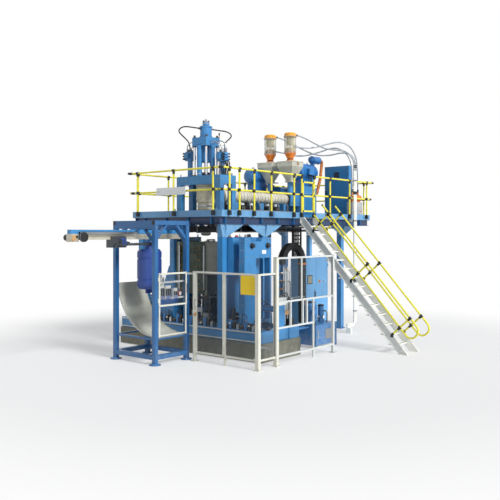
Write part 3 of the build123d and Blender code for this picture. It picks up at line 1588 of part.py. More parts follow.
for name, side in (("jaw_front", -1), ("jaw_rear", 1)):
    with BuildPart() as jaw:
        grip = half_thick + slide_gap
        low = jaw_pivot_y - jaw_width / 2
        high = jaw_pivot_y + jaw_width / 2
        pad_start = jaw_tip_x - half_flash
        outline = [
            (jaw_pivot_x - jaw_width / 2, low), (pad_start - jaw_bend, low), (pad_start, grip), (
                jaw_tip_x, grip,
            ),
            (jaw_tip_x, grip + jaw_pad), (pad_start, grip + jaw_pad), (pad_start - jaw_bend, high),
            (jaw_pivot_x - jaw_width / 2, high),
        ]
        outline = [(x, side * y) for x, y in outline]
        prism(Plane.XY.offset(jaw_bottom), outline, jaw_height)
        pivot = (jaw_pivot_x, side * jaw_pivot_y)
        rod(
            (*pivot, jaw_bottom), (*pivot, jaw_bottom + jaw_height), jaw_pin_radius + slide_gap,
            mode=Mode.SUBTRACT,
        )
    keep(jaw, name)

# Pneumatic valves on two rails behind the guard window
with BuildPart() as pneumatic_panel:
    rail_y = -inner_y - seat_gap
    for level in (valve_rail_z, valve_rail_z + valve_rail_spacing):
        block(
            inner_left + seat_gap, inner_right - seat_gap,
            rail_y - frame_bar, rail_y, level, level + frame_bar,
        )
    valve_foot = valve_rail_z + frame_bar + seat_gap
    for left, width, height in valve_boxes:
        block(left, left + width, rail_y - valve_depth, rail_y, valve_foot, valve_foot + height)
keep(pneumatic_panel, "pneumatic_panel")

# Guard window hinged on the take-out frame
window_face = -frame_half_y - seat_gap
window_x_from = inner_left + hinge_gap
window_x_to = inner_right - hinge_gap


def framed_panel(along, across, low, high, bar, depth):
    """Four bars round a rectangular opening, along x if across is a y place, and along y otherwise."""
    start, end = along
    near, far = across
    spans = [
        (start, start + bar, low, high), (end - bar, end, low, high),
        (start + bar + seat_gap, end - bar - seat_gap, low, low + bar),
        (start + bar + seat_gap, end - bar - seat_gap, high - bar, high),
    ]
    for left, right, bottom, top in spans:
        if depth == "x":
            block(left, right, near, far, bottom, top)
        else:
            block(near, far, left, right, bottom, top)


with BuildPart() as guard_window:
    framed_panel(
        (window_x_from, window_x_to), (window_face - window_depth, window_face),
        window_bottom_z, window_top_z, window_bar, "x",
    )
    for level in (window_bottom_z + hinge_length, window_top_z - 2 * hinge_length):
        window_axis = inner_left - frame_bar / 2
        block(
            window_axis, window_x_from, window_face - window_depth, window_face, level, level + hinge_length,
        )
        hinge(window_axis, window_face - window_depth - hinge_radius, (hinge_leaf, hinge_radius), level)
keep(guard_window, "guard_window")

with BuildPart() as guard_window_pane:
    inset = window_bar + seat_gap
    pane_y = window_face - window_depth / 2
    block(
        window_x_from + inset, window_x_to - inset, pane_y - pane_thickness / 2, pane_y + pane_thickness / 2,
        window_bottom_z + inset, window_top_z - inset,
    )
keep(guard_window_pane, "guard_window_pane")

# Fence: posts with foot plates, framed bays, and a door at the take-out end
half_post = fence_post / 2
half_bar = fence_bar / 2
half_corner = corner_post / 2
bay_low = fence_foot
with BuildPart() as fence_frame:
    posts = [
        (fence_x, fence_start, half_post, fence_height), (fence_x, fence_front, half_corner, fence_height),
        (gate_left, fence_front, half_corner, gate_top), (gate_right, fence_front, half_post, gate_top),
    ]
    for post_x, post_y, half, height in posts:
        block(
            post_x - foot_plate_side / 2, post_x + foot_plate_side / 2, post_y - foot_plate_side / 2,
            post_y + foot_plate_side / 2, 0, foot_plate_height,
        )
        block(
            post_x - half, post_x + half, post_y - half, post_y + half, foot_plate_height + seat_gap, height,
        )
    block(
        fence_x - half_bar, fence_x + half_bar, fence_mid - half_bar, fence_mid + half_bar, 0, fence_height,
    )
    side_bay = (fence_front + half_corner + seat_gap, fence_mid - half_bar - seat_gap)
    for low in (bay_low, fence_height - fence_bar):
        block(fence_x - half_bar, fence_x + half_bar, side_bay[0], side_bay[1], low, low + fence_bar)
    short_bay = (fence_x + half_corner + seat_gap, gate_left - half_corner - seat_gap)
    for low in (bay_low, fence_height - fence_bar):
        block(
            short_bay[0], short_bay[1], fence_front - half_bar, fence_front + half_bar, low, low + fence_bar,
        )
    gate_bay = (gate_left + half_corner + seat_gap, gate_right - half_post - seat_gap)
    for low in (gate_mid_z, gate_top - fence_bar):
        block(gate_bay[0], gate_bay[1], fence_front - half_bar, fence_front + half_bar, low, low + fence_bar)
    block(
        gate_divider - half_bar, gate_divider + half_bar, fence_front - half_bar, fence_front + half_bar,
        gate_mid_z + fence_bar + seat_gap, gate_top - fence_bar - seat_gap,
    )
    block(
        gate_low_right - half_bar, gate_low_right + half_bar, fence_front - half_bar, fence_front + half_bar,
        0, gate_mid_z - seat_gap,
    )
    low_bay = (gate_bay[0], gate_low_right - half_bar - seat_gap)
    for low in (bay_low, gate_low_z):
        block(low_bay[0], low_bay[1], fence_front - half_bar, fence_front + half_bar, low, low + fence_bar)
    block(
        gate_low_right + half_bar + seat_gap, gate_bay[1], fence_front - half_bar, fence_front + half_bar,
        bay_low, bay_low + fence_bar,
    )
    block(
        fence_x - half_bar, fence_x + half_bar, fence_start + half_post + seat_gap, -frame_half_y - seat_gap,
        fence_height - 2 * fence_bar, fence_height - fence_bar,
    )
    block(
        gate_left - half_bar, gate_left + half_bar,
        fence_front + half_corner + seat_gap, -skirt_half_y - seat_gap,
        skirt_top - 2 * fence_bar, skirt_top - fence_bar,
    )
    for upright in gate_bars:
        block(
            upright - half_bar, upright + half_bar, fence_front - half_bar, fence_front + half_bar,
            gate_low_z + fence_bar + seat_gap, gate_mid_z - seat_gap,
        )
keep(fence_frame, "fence_frame")

with BuildPart() as fence_panes:
    thin = pane_thickness / 2
    low = bay_low + fence_bar + seat_gap
    high = fence_height - fence_bar - seat_gap
    block(fence_x - thin, fence_x + thin, side_bay[0], side_bay[1], low, high)
    block(short_bay[0], short_bay[1], fence_front - thin, fence_front + thin, low, high)
    upper = (gate_mid_z + fence_bar + seat_gap, gate_top - fence_bar - seat_gap)
    block(gate_bay[0], gate_divider - half_bar - seat_gap, fence_front - thin, fence_front + thin, *upper)
    block(gate_divider + half_bar + seat_gap, gate_bay[1], fence_front - thin, fence_front + thin, *upper)
keep(fence_panes, "fence_panes")

# Door of the fence, hinged on its middle post
door_from = fence_mid + half_bar + hinge_gap
door_to = fence_start - half_post - hinge_gap
with BuildPart() as fence_door:
    framed_panel(
        (door_from, door_to), (fence_x - half_bar, fence_x + half_bar), bay_low, fence_height, fence_bar, "y",
    )
    door_axis = (fence_x - half_bar - hinge_radius, door_from - hinge_gap / 2)
    for level in (bay_low + 3 * hinge_length, fence_height - 4 * hinge_length):
        hinge(*door_axis, (hinge_radius, hinge_leaf), level)
keep(fence_door, "fence_door")

with BuildPart() as fence_door_pane:
    inset = fence_bar + seat_gap
    block(
        fence_x - thin, fence_x + thin, door_from + inset, door_to - inset,
        bay_low + inset, fence_height - inset,
    )
keep(fence_door_pane, "fence_door_pane")

# Conveying and hydraulic hoses: straight runs joined by arcs as large as the runs allow
lid_port_x = throat_x + loader_lid_radius + port_length
main_suction_z = deck_top + 2160.0
second_suction_z = deck_top + 2080.0


def over_deck(*points):
    """Points whose heights are counted from the platform."""
    return [(x, y, deck_top + z) for x, y, z in points]


hose_routes = {
    "material_hose_main": (hose_radius, [
        (lid_port_x + seat_gap, 0, port_z), (4250, 0, port_z),
        *over_deck((4480, -300, 2320), (4560, -640, 2120), (4760, -960, 2070), (4900, -1230, 2030)),
        *over_deck((riser_places[0], riser_y, 1750)), (riser_places[0], riser_y, riser_top + seat_gap),
    ]),
    "material_hose_second": (hose_radius, [
        (lid_port_x + seat_gap, second_y, port_z), (4290, second_y, port_z),
        *over_deck((4560, 330, 2240), (4680, -220, 1960), (4840, -640, 1930), (4980, -1080, 2030)),
        *over_deck((riser_places[1], riser_y, 1850)), (riser_places[1], riser_y, riser_top + seat_gap),
    ]),
    "vacuum_hose_main": (hose_radius, [
        (throat_x + loader_radius + seat_gap, 0, main_suction_z), (4130, 0, main_suction_z),
        *over_deck((4520, -240, 2160), (4900, -520, 2300), (5180, -800, 2390), (5460, -1010, 2260)),
        *over_deck((5640, -1130, 1900), (pump_ports[1], pump_middle_y, 1340)),
        (pump_ports[1], pump_middle_y, pump_port_top + seat_gap),
    ]),
    "vacuum_hose_second": (hose_radius, [
        (throat_x + loader_radius + seat_gap, second_y, second_suction_z), (4180, second_y, second_suction_z),
        *over_deck((4640, 330, 1940), (5000, -120, 2070), (5220, -560, 2240), (5330, -900, 2100)),
        *over_deck((5350, -1120, 1730), (pump_ports[0], pump_middle_y, 1250)),
        (pump_ports[0], pump_middle_y, pump_port_top + seat_gap),
    ]),
}


def corner_radii(points):
    """Arc for each corner, as large as its two runs allow."""
    vectors = [Vector(*point) for point in points]
    radii = []
    for before, corner, after in zip(vectors, vectors[1:], vectors[2:]):
        turn = math.radians((corner - before).get_angle(after - corner))
        shorter = min((corner - before).length, (after - corner).length)
        radii.append(0.45 * shorter / math.tan(turn / 2))
    return radii


programmer_port = block_top + seat_gap + programmer_height - 4 * flange_rim
hose_start_x = programmer_radius + seat_gap
hose_routes["ram_hose_left"] = (ram_hose_radius, [
    (-hose_start_x, 60, programmer_port), (-400, 60, programmer_port),
    *over_deck((-560, 280, 2290), (-470, 560, 2200), (-170, 620, 2080), (0, left_manifold_y, 1920)),
    (0, left_manifold_y, manifold_z + manifold_height + seat_gap),
])
hose_routes["ram_hose_right"] = (ram_hose_radius, [
    (hose_start_x, -60, programmer_port), (385, -60, programmer_port),
    *over_deck((520, -270, 2220), (440, -500, 2100), (250, -620, 1990), (60, right_manifold_y, 1835)),
    (60, right_manifold_y, right_manifold_z + manifold_height + seat_gap),
])

for name, (radius, points) in hose_routes.items():
    radii = corner_radii(points)
    with BuildPart() as hose:
        with BuildLine() as route:
            FilletPolyline(*points, radius=radii)
        with BuildSketch(Plane(origin=route.line @ 0, z_dir=route.line % 0)) as section:
            Circle(radius)
        sweep(section.sketch, path=route.line)
    keep(hose, name)
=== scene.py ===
"""Looks of an accumulator-head blow moulding machine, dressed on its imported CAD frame.

Sizes inside the classes are millimetres in the frame's own axes: +X along the extruders, +Y to the
rear and +Z up. The mesh maker turns them into metres when a piece is closed.
"""

from __future__ import annotations

import itertools
import logging
import math
from dataclasses import dataclass, field
from enum import Enum
from typing import Callable, Iterable, Iterator, Optional, Sequence, Union

import bmesh
import bpy
from mathutils import Matrix, Vector

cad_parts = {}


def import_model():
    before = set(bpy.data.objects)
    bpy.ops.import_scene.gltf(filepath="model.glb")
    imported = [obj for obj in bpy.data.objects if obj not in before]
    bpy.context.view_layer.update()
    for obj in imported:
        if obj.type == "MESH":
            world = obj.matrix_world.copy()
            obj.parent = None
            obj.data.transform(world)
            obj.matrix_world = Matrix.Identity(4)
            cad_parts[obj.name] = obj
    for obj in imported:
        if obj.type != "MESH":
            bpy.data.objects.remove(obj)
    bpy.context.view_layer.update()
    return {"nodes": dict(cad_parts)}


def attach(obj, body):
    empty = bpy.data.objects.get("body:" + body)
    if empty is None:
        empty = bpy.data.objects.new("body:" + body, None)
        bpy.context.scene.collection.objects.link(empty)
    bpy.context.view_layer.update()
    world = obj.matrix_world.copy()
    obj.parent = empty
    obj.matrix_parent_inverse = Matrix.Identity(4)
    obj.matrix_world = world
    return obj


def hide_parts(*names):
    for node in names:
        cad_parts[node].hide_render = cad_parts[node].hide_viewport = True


Number = Union[int, float]
Places = Union[Number, Iterable[Number]]
Point = Union[Vector, Sequence[Number]]
Triple = tuple[float, float, float]
X, Y, Z = Vector((1, 0, 0)), Vector((0, 1, 0)), Vector((0, 0, 1))
SIDES = (-1, 1)
log = logging.getLogger("blow_moulder")


def linear(code: str) -> Triple:
    """Turn a written colour such as '#2f6fb0' into linear light."""
    parts = [int(code[i:i + 2], 16) / 255 for i in (1, 3, 5)]
    return tuple(v / 12.92 if v <= 0.04045 else ((v + 0.055) / 1.055) ** 2.4 for v in parts)


def row(start: Number, pitch: Number, count: int) -> list[Number]:
    """Evenly spaced places."""
    return [start + number * pitch for number in range(count)]


def grid(*axes: Places) -> Iterator[Vector]:
    """Every crossing of the places given along x, y and z."""
    rows = [axis if isinstance(axis, Iterable) else (axis,) for axis in axes]
    return (Vector(at) for at in itertools.product(*rows))


def ray(turn: float, axis: Vector = Z) -> Vector:
    """Unit vector at an angle round the x, y or z axis, whichever way that axis points."""
    cosine, sine = math.cos(turn), math.sin(turn)
    if abs(axis.z) > 0.5:
        return Vector((cosine, sine, 0))
    return Vector((0, cosine, sine)) if abs(axis.x) > 0.5 else Vector((cosine, 0, sine))


def rays(count: int, shift: float = 0.0, axis: Vector = Z) -> list[Vector]:
    """Unit vectors spread evenly round an axis, the first one turned by a share of their pitch."""
    return [ray(2 * math.pi * (number + shift) / count, axis) for number in range(count)]


def operator(operation: str, swapped: bool = False) -> Callable[[Value, object], Value]:
    """Write the method of one operator.

    Args:
        operation: name of the Math node's operation.
        swapped: whether the operands change places.

    Returns:
        The method for the class of values.
    """

    def method(self: Value, other: object) -> Value:
        """Add the operator's Math node."""
        return self.recipe.math(operation, *((other, self) if swapped else (self, other)))

    return method


class Value:
    """A number socket of a material that takes part in Python expressions.

    A comparison gives one where it holds; | and & give the greater and the smaller of two masks.
    """

    __add__ = __radd__ = operator("ADD")
    __mul__ = __rmul__ = operator("MULTIPLY")
    __sub__, __rsub__ = operator("SUBTRACT"), operator("SUBTRACT", True)
    __gt__, __lt__ = operator("GREATER_THAN"), operator("LESS_THAN")
    __or__ = __ror__ = operator("MAXIMUM")
    __and__ = __rand__ = operator("MINIMUM")

    def __init__(self, recipe: Recipe, socket: bpy.types.NodeSocket) -> None:
        """Keep the socket with the recipe that it belongs to."""
        self.recipe = recipe
        self.socket = socket

    def __abs__(self) -> Value:
        """Distance from nought."""
        return self.recipe.math("ABSOLUTE", self, 0.0)

    def ramp(self, low: float, high: float, start: float = 0.0, end: float = 1.0) -> Value:
        """Carry the span from low to high smoothly over to another span.

        Args:
            low: value that becomes start.
            high: value that becomes end.
            start: result at low.
            end: result at high.

        Returns:
            The mapped value, held at both ends.
        """
        inputs = {"Value": self, "From Min": low, "From Max": high, "To Min": start, "To Max": end}
        return self.recipe.node("ShaderNodeMapRange", {"interpolation_type": "SMOOTHSTEP"}, inputs)


class Recipe:
    """Node tree of one material or of the surround, written with expressions."""

    def __init__(self, tree: bpy.types.NodeTree, output: str = "ShaderNodeOutputMaterial") -> None:
        """Empty a tree and give it its output node."""
        self.tree = tree
        tree.nodes.clear()
        self.output = tree.nodes.new(output)
        self._place: Optional[bpy.types.NodeSocket] = None

    @classmethod
    def named(cls, name: str) -> tuple[Recipe, bpy.types.Material]:
        """Start a recipe for a new material of that name."""
        material = bpy.data.materials.new(name)
        material.use_nodes = True
        return cls(material.node_tree), material

    def _fill(self, socket: bpy.types.NodeSocket, given: object) -> None:
        """Link a Value or a socket to an input, or give it a plain value."""
        if isinstance(given, Value):
            given = given.socket
        if isinstance(given, bpy.types.NodeSocket):
            self.tree.links.new(given, socket)
        else:
            socket.default_value = given

    def add(self, kind: str, settings: Optional[dict] = None,
            inputs: Optional[dict] = None) -> bpy.types.Node:
        """Add a node, give it its settings and then the values or links of its sockets.

        Args:
            kind: Blender's name of the node type, without the leading ShaderNode where it has one.
            settings: attributes.
            inputs: socket name or number to a number, a tuple, a Value or a socket.

        Returns:
            The new node.
        """
        made = self.tree.nodes.new(kind)
        for key, setting in (settings or {}).items():
            setattr(made, key, setting)
        for key, given in (inputs or {}).items():
            self._fill(made.inputs[key], given)
        return made

    def node(self, kind: str, settings: Optional[dict] = None, inputs: Optional[dict] = None) -> Value:
        """Add a node as add does and return its first output as a Value."""
        return Value(self, self.add(kind, settings, inputs).outputs[0])

    def math(self, operation: str, first: object, second: object = 0.5) -> Value:
        """Add one Math node."""
        return self.node("ShaderNodeMath", {"operation": operation}, {0: first, 1: second})

    def end(self, shader: bpy.types.Node) -> None:
        """Lead a shader to the output."""
        self.tree.links.new(shader.outputs[0], self.output.inputs[0])

    def mixed(self, factor: Value, first: bpy.types.Node, second: bpy.types.Node) -> None:
        """Mix two shaders and lead them to the output."""
        self.end(self.add("ShaderNodeMixShader", {}, {0: factor, 1: first.outputs[0], 2: second.outputs[0]}))

    def place(self) -> bpy.types.NodeSocket:
        """Object coordinates in metres, the same as the frame's own at rest."""
        if self._place is None:
            self._place = self.add("ShaderNodeTexCoord").outputs["Object"]
        return self._place

    def axes(self) -> tuple[Value, ...]:
        """The three object coordinates, each as a Value."""
        split = self.add("ShaderNodeSeparateXYZ", inputs={0: self.place()})
        return tuple(Value(self, socket) for socket in split.outputs)

    def noise(self, scale: float, detail: float = 2.0, stretch: Optional[Triple] = None) -> Value:
        """Noise about one half.

        Args:
            scale: cells in a metre.
            detail: octaves.
            stretch: factors for the three axes, for brushed or streaked looks.

        Returns:
            The noise factor.
        """
        vector = self.place()
        if stretch:
            scaled = self.add("ShaderNodeVectorMath", {"operation": "MULTIPLY"}, {0: vector, 1: stretch})
            vector = scaled.outputs[0]
        return self.node("ShaderNodeTexNoise", {}, {"Vector": vector, "Scale": scale, "Detail": detail})

    def blend(self, factor: object, first: object, second: object) -> bpy.types.NodeSocket:
        """Mix two colours, given as written triples or as sockets."""
        mix = self.add("ShaderNodeMix", {"data_type": "RGBA"}, {0: factor})
        for number, given in ((6, first), (7, second)):
            self._fill(mix.inputs[number], (*given, 1.0) if isinstance(given, tuple) else given)
        return mix.outputs[2]


class Relief(Enum):
    """Surface relief of a finish."""

    SMOOTH = "smooth"
    PEEL = "orange peel of sprayed paint"
    BRUSHED = "brushed along x"
    TURNED = "turned about z"
    TREAD = "raised bars of tread plate"
    CAST = "cast grain"
    RIBBED = "fine ribs"
    SPANGLE = "galvanised spangle"


@dataclass(frozen=True)
class Coat:
    """One plain finish: its colour and how it wears.

    Attributes:
        color: written colour.
        roughness: middle of the gloss.
        metallic: one for bare metal.
        relief: form of the surface.
        mottle: share by which patches turn darker.
        dust: share of dust on the lowest metre.
        lacquer: weight of the clear coat.
    """

    color: str
    roughness: float = 0.42
    metallic: float = 0.0
    relief: Relief = Relief.PEEL
    mottle: float = 0.12
    dust: float = 0.0
    lacquer: float = 0.0

    def height(self, recipe: Recipe) -> tuple[Value, float]:
        """Relief of the coat.

        Args:
            recipe: tree that receives the nodes.

        Returns:
            Height between nought and one, and its depth in metres.
        """
        if self.relief is Relief.BRUSHED:
            return recipe.noise(60.0, 3.0, (0.05, 1.0, 1.0)), 0.0006
        if self.relief is Relief.TURNED:
            return recipe.noise(40.0, 3.0, (0.05, 0.05, 4.0)), 0.0005
        if self.relief is Relief.CAST:
            return recipe.noise(220.0, 4.0), 0.0012
        if self.relief is Relief.SPANGLE:
            cells = {"Vector": recipe.place(), "Scale": 45.0}
            return recipe.node("ShaderNodeTexVoronoi", {"feature": "F1"}, cells), 0.0004
        if self.relief is Relief.TREAD:
            x, y, _ = recipe.axes()
            one, two = (x + y) * 28.0, (x - y) * 28.0
            return self._bars(recipe, one, two * 0.5) | self._bars(recipe, two + 0.5, one * 0.5 + 0.5), 0.0025
        if self.relief is Relief.RIBBED:
            x, y, z = recipe.axes()
            return recipe.math("SINE", (x + y + z) * 260.0) * 0.5 + 0.5, 0.0015
        return recipe.noise(320.0, 1.0), 0.0002

    @staticmethod
    def _bars(recipe: Recipe, along: Value, across: Value) -> Value:
        """Short bars in one direction, as on tread plate."""
        bars = recipe.math("PINGPONG", along).ramp(0.36, 0.44)
        return bars & recipe.math("PINGPONG", across).ramp(0.12, 0.2)

    def colour(self, recipe: Recipe) -> bpy.types.NodeSocket:
        """Colour with patches and dust."""
        pure = linear(self.color)
        deep = tuple(v * (1.0 - 2.2 * self.mottle) for v in pure)
        patch = recipe.noise(2.3, 4.0).ramp(0.38, 0.68) * 0.7 + recipe.noise(38.0, 3.0).ramp(0.45, 0.75) * 0.3
        shade = recipe.blend(patch, pure, deep)
        if self.dust:
            low = recipe.axes()[2].ramp(0.0, 1.0, 1.0, 0.0)
            low = low * recipe.noise(9.0, 5.0).ramp(0.3, 0.7) * self.dust
            shade = recipe.blend(low, shade, linear("#b9b2a2"))
        return shade

    def gloss(self, recipe: Recipe) -> Value:
        """Roughness that varies a little with handling."""
        return recipe.noise(14.0, 3.0) * 0.16 + (self.roughness - 0.08)


@dataclass(frozen=True)
class Finish:
    """A material: one coat, or a second one laid over a zone.

    Attributes:
        coat: the coat of the whole surface.
        second: coat over the zone.
        zone: rows of an axis letter and the metres above which the second coat starts; an 'r' counts
            the distance from the Y = 0 plane, and a minus before the letter turns it round.
    """

    coat: Coat
    second: Optional[Coat] = None
    zone: tuple[tuple[str, float], ...] = ()

    def _mask(self, recipe: Recipe) -> Value:
        """One where any row of the zone holds."""
        x, y, z = recipe.axes()
        found: Optional[Value] = None
        for axis, edge in self.zone:
            reach = {"x": x, "y": y, "z": z, "r": abs(y)}[axis[-1]]
            part = (reach < edge) if axis.startswith("-") else (reach > edge)
            found = part if found is None else found | part
        return found

    def build(self, name: str) -> bpy.types.Material:
        """Make the material.

        Args:
            name: its name in the scene.

        Returns:
            The finished material.
        """
        recipe, material = Recipe.named(name)
        height, depth = self.coat.height(recipe)
        colour, gloss = self.coat.colour(recipe), self.coat.gloss(recipe)
        metallic: object = self.coat.metallic
        if self.second:
            mask = self._mask(recipe)
            colour = recipe.blend(mask, colour, self.second.colour(recipe))
            gloss = gloss * (1 - mask) + self.second.gloss(recipe) * mask
            if self.second.metallic != self.coat.metallic:
                metallic = mask * (self.second.metallic - self.coat.metallic) + self.coat.metallic
        bump = recipe.add("ShaderNodeBump", {}, {"Strength": 0.8, "Distance": depth, "Height": height})
        recipe.end(recipe.add("ShaderNodeBsdfPrincipled", {}, {
            "Base Color": colour, "Roughness": gloss, "Metallic": metallic,
            "Normal": bump.outputs[0], "Coat Weight": self.coat.lacquer,
        }))
        return material


@dataclass(frozen=True)
class ClearSheet:
    """Clear glazing that shows what lies behind it."""

    color: str
    alpha: float
    cloud: float = 0.05
    roughness: float = 0.06

    def build(self, name: str) -> bpy.types.Material:
        """Make the material, a little cloudier where it has been wiped."""
        recipe, material = Recipe.named(name)
        haze = recipe.noise(5.0, 3.0, (1.0, 1.0, 0.2)).ramp(0.4, 0.8) * self.cloud + self.alpha
        recipe.end(recipe.add("ShaderNodeBsdfPrincipled", {}, {
            "Base Color": (*linear(self.color), 1.0), "Alpha": haze,
            "Roughness": recipe.noise(3.0, 2.0) * 0.1 + self.roughness,
        }))
        material.surface_render_method = "BLENDED"
        return material


BLUE = Coat("#3c89c4", 0.36, mottle=0.08, dust=0.12, lacquer=0.25)
STEEL = Coat("#a8acb0", 0.32, 1.0, Relief.BRUSHED, 0.1)
BLACK = Coat("#1c1e21", 0.45, mottle=0.1)


class Look(Enum):
    """Every material of the machine."""

    MACHINE_BLUE = Finish(BLUE)
    # Deck frame blue; everything of it below 3.37 m, the channels under the toe boards, is painted dark navy
    # as shade under the deck's edge.
    DECK_BLUE = Finish(
        Coat("#68a1cf", 0.36, mottle=0.08, dust=0.12, lacquer=0.25),
        Coat("#123560", 0.4, mottle=0.1), (("-z", 3.3702),),
    )
    FRAME_BLUE = Finish(Coat("#29669e", 0.38, mottle=0.08, dust=0.12, lacquer=0.25))
    CABINET_BLUE = Finish(Coat("#6aa9dc", 0.4, mottle=0.05, dust=0.1))
    MOTOR_BLUE = Finish(Coat("#2f7fc6", 0.34, mottle=0.1, lacquer=0.3))
    # Beige-grey skirt darkened to the tone of its shaded side: painted shade.
    SKIRT_BEIGE = Finish(Coat("#6a6b5e", 0.5, mottle=0.12, dust=0.2))
    GUIDE_STEEL = Finish(Coat("#9a9ea2", 0.26, 1.0, Relief.BRUSHED, 0.12))
    BARE_STEEL = Finish(STEEL)
    TURNED_STEEL = Finish(Coat("#b3b5b6", 0.3, 1.0, Relief.TURNED, 0.12))
    DARK_STEEL = Finish(Coat("#4a4d50", 0.4, 0.85, Relief.CAST, 0.15))
    CHROME_RODS = Finish(Coat("#dfe2e5", 0.12, 1.0, Relief.SMOOTH, 0.03))
    DRUM_VIOLET = Finish(Coat("#2b4890", 0.42, relief=Relief.SMOOTH, mottle=0.06))
    MOULD_OLIVE = Finish(
        Coat("#4b5749", 0.45, 0.35, Relief.CAST, 0.2),
        Coat("#7d8078", 0.36, 0.8, Relief.BRUSHED, 0.15), (("r", 0.4501),),
    )
    DECK_PLATE = Finish(Coat("#9aa1a6", 0.38, 0.9, Relief.TREAD, 0.18))
    RAIL_YELLOW = Finish(
        Coat("#f0e63c", 0.34, mottle=0.05, lacquer=0.3), BLACK, (("x", 6.2645), ("-x", -0.9645)),
    )
    SOCKET_BLACK = Finish(BLACK)
    STAIR_ALUMINIUM = Finish(Coat("#f4f5ef", 0.42, 0.05, Relief.BRUSHED, 0.06, 0.1))
    # Greyer strips laid on the stringers' webs: painted shade in the channel pockets.
    STAIR_WEB = Finish(Coat("#e2e4e1", 0.5, 0.0, Relief.BRUSHED, 0.08))
    COLUMN_BLUE = Finish(BLUE, Coat("#6ea5d0", 0.38, mottle=0.08, lacquer=0.2), (("z", 2.879),))
    HEAD_CREAM = Finish(
        Coat("#d9d1b8", 0.42, mottle=0.1), Coat("#8b8a86", 0.3, 1.0, Relief.TURNED, 0.15), (("-z", 3.12),),
    )
    BARREL_BEIGE = Finish(
        Coat("#d8d2bf", 0.42, mottle=0.08), Coat("#8f8b84", 0.35, 0.9, Relief.BRUSHED, 0.2), (("-x", 0.6),),
    )
    BLOWER_BLACK = Finish(Coat("#25282c", 0.4, mottle=0.1))
    LOADER_ENDS = Finish(
        Coat("#f08418", 0.3, mottle=0.06, lacquer=0.4),
        Coat("#f3b02c", 0.3, mottle=0.05, lacquer=0.4), (("z", 5.8306),),
    )
    HOPPER_STEEL = Finish(Coat("#d6d6c8", 0.36, 0.3, Relief.BRUSHED, 0.1))
    PUMP_GREY = Finish(
        Coat("#b3b7ba", 0.4, mottle=0.1), Coat("#e6862a", 0.35, mottle=0.06, lacquer=0.3), (("z", 3.9203),),
    )
    CHUTE_STEEL = Finish(Coat("#d2d3c6", 0.4, 0.15, Relief.SPANGLE, 0.14, 0.1))
    PANEL_WHITE = Finish(Coat("#dfe1df", 0.45, relief=Relief.SMOOTH, mottle=0.05))
    FENCE_CREAM = Finish(
        Coat("#dddccf", 0.4, mottle=0.06, dust=0.2), Coat("#d6dad8", 0.4, mottle=0.06, dust=0.2),
        (("x", -0.7),),
    )
    BEAM_BLUE = Finish(BLUE, Coat("#c9c4b4", 0.4, 0.4, Relief.BRUSHED, 0.1), (("-z", 2.9599),))
    GRIPPER_GREY = Finish(Coat("#5b5f63", 0.38, 0.7, Relief.BRUSHED, 0.15))
    WATER_PARTS = Finish(
        Coat("#2f72ae", 0.36, mottle=0.08, dust=0.15), Coat("#1b1d20", 0.6, mottle=0.15),
        (("x", 2.05), ("z", 2.13)),
    )
    HYDRAULIC_BLUE = Finish(Coat("#3778b4", 0.4, mottle=0.1, dust=0.25, lacquer=0.2))
    DUCT_COPPER = Finish(Coat("#d07a35", 0.42, 0.2, Relief.RIBBED, 0.12))
    HOSE_GREY = Finish(Coat("#b8bec3", 0.4, relief=Relief.SMOOTH, mottle=0.06, lacquer=0.2))
    HOSE_BLACK = Finish(Coat("#17181a", 0.42, relief=Relief.SMOOTH, mottle=0.08))
    RUBBER_BLACK = Finish(Coat("#1a1b1d", 0.7, relief=Relief.CAST, mottle=0.1))
    BRASS = Finish(Coat("#b98b3c", 0.3, 1.0, Relief.SMOOTH, 0.12))
    SIGN_YELLOW = Finish(Coat("#f2cf1d", 0.35, relief=Relief.SMOOTH, mottle=0.04))
    PLATE_WHITE = Finish(Coat("#eef0ef", 0.35, relief=Relief.SMOOTH, mottle=0.03))
    SIGNAL_RED = Finish(Coat("#c8281e", 0.35, relief=Relief.SMOOTH, mottle=0.05))
    FILTER_ORANGE = Finish(Coat("#e6862a", 0.35, mottle=0.05, lacquer=0.3))
    FILTER_CARTRIDGE = Finish(Coat("#d8cfae", 0.7, relief=Relief.RIBBED, mottle=0.08))
    TAN_PLASTIC = Finish(Coat("#c39a6b", 0.5, relief=Relief.SMOOTH, mottle=0.08))
    AIR_TUBE_BLUE = Finish(Coat("#2b5fc0", 0.35, relief=Relief.SMOOTH, mottle=0.05))
    CLEAR_PANE = ClearSheet("#4a545c", 0.13, 0.02)
    SIGHT_GLASS = ClearSheet("#d9d6bc", 0.42)

    def material(self) -> bpy.types.Material:
        """The material, made when it is first asked for."""
        name = "finish_" + self.name.lower()
        return bpy.data.materials.get(name) or self.value.build(name)


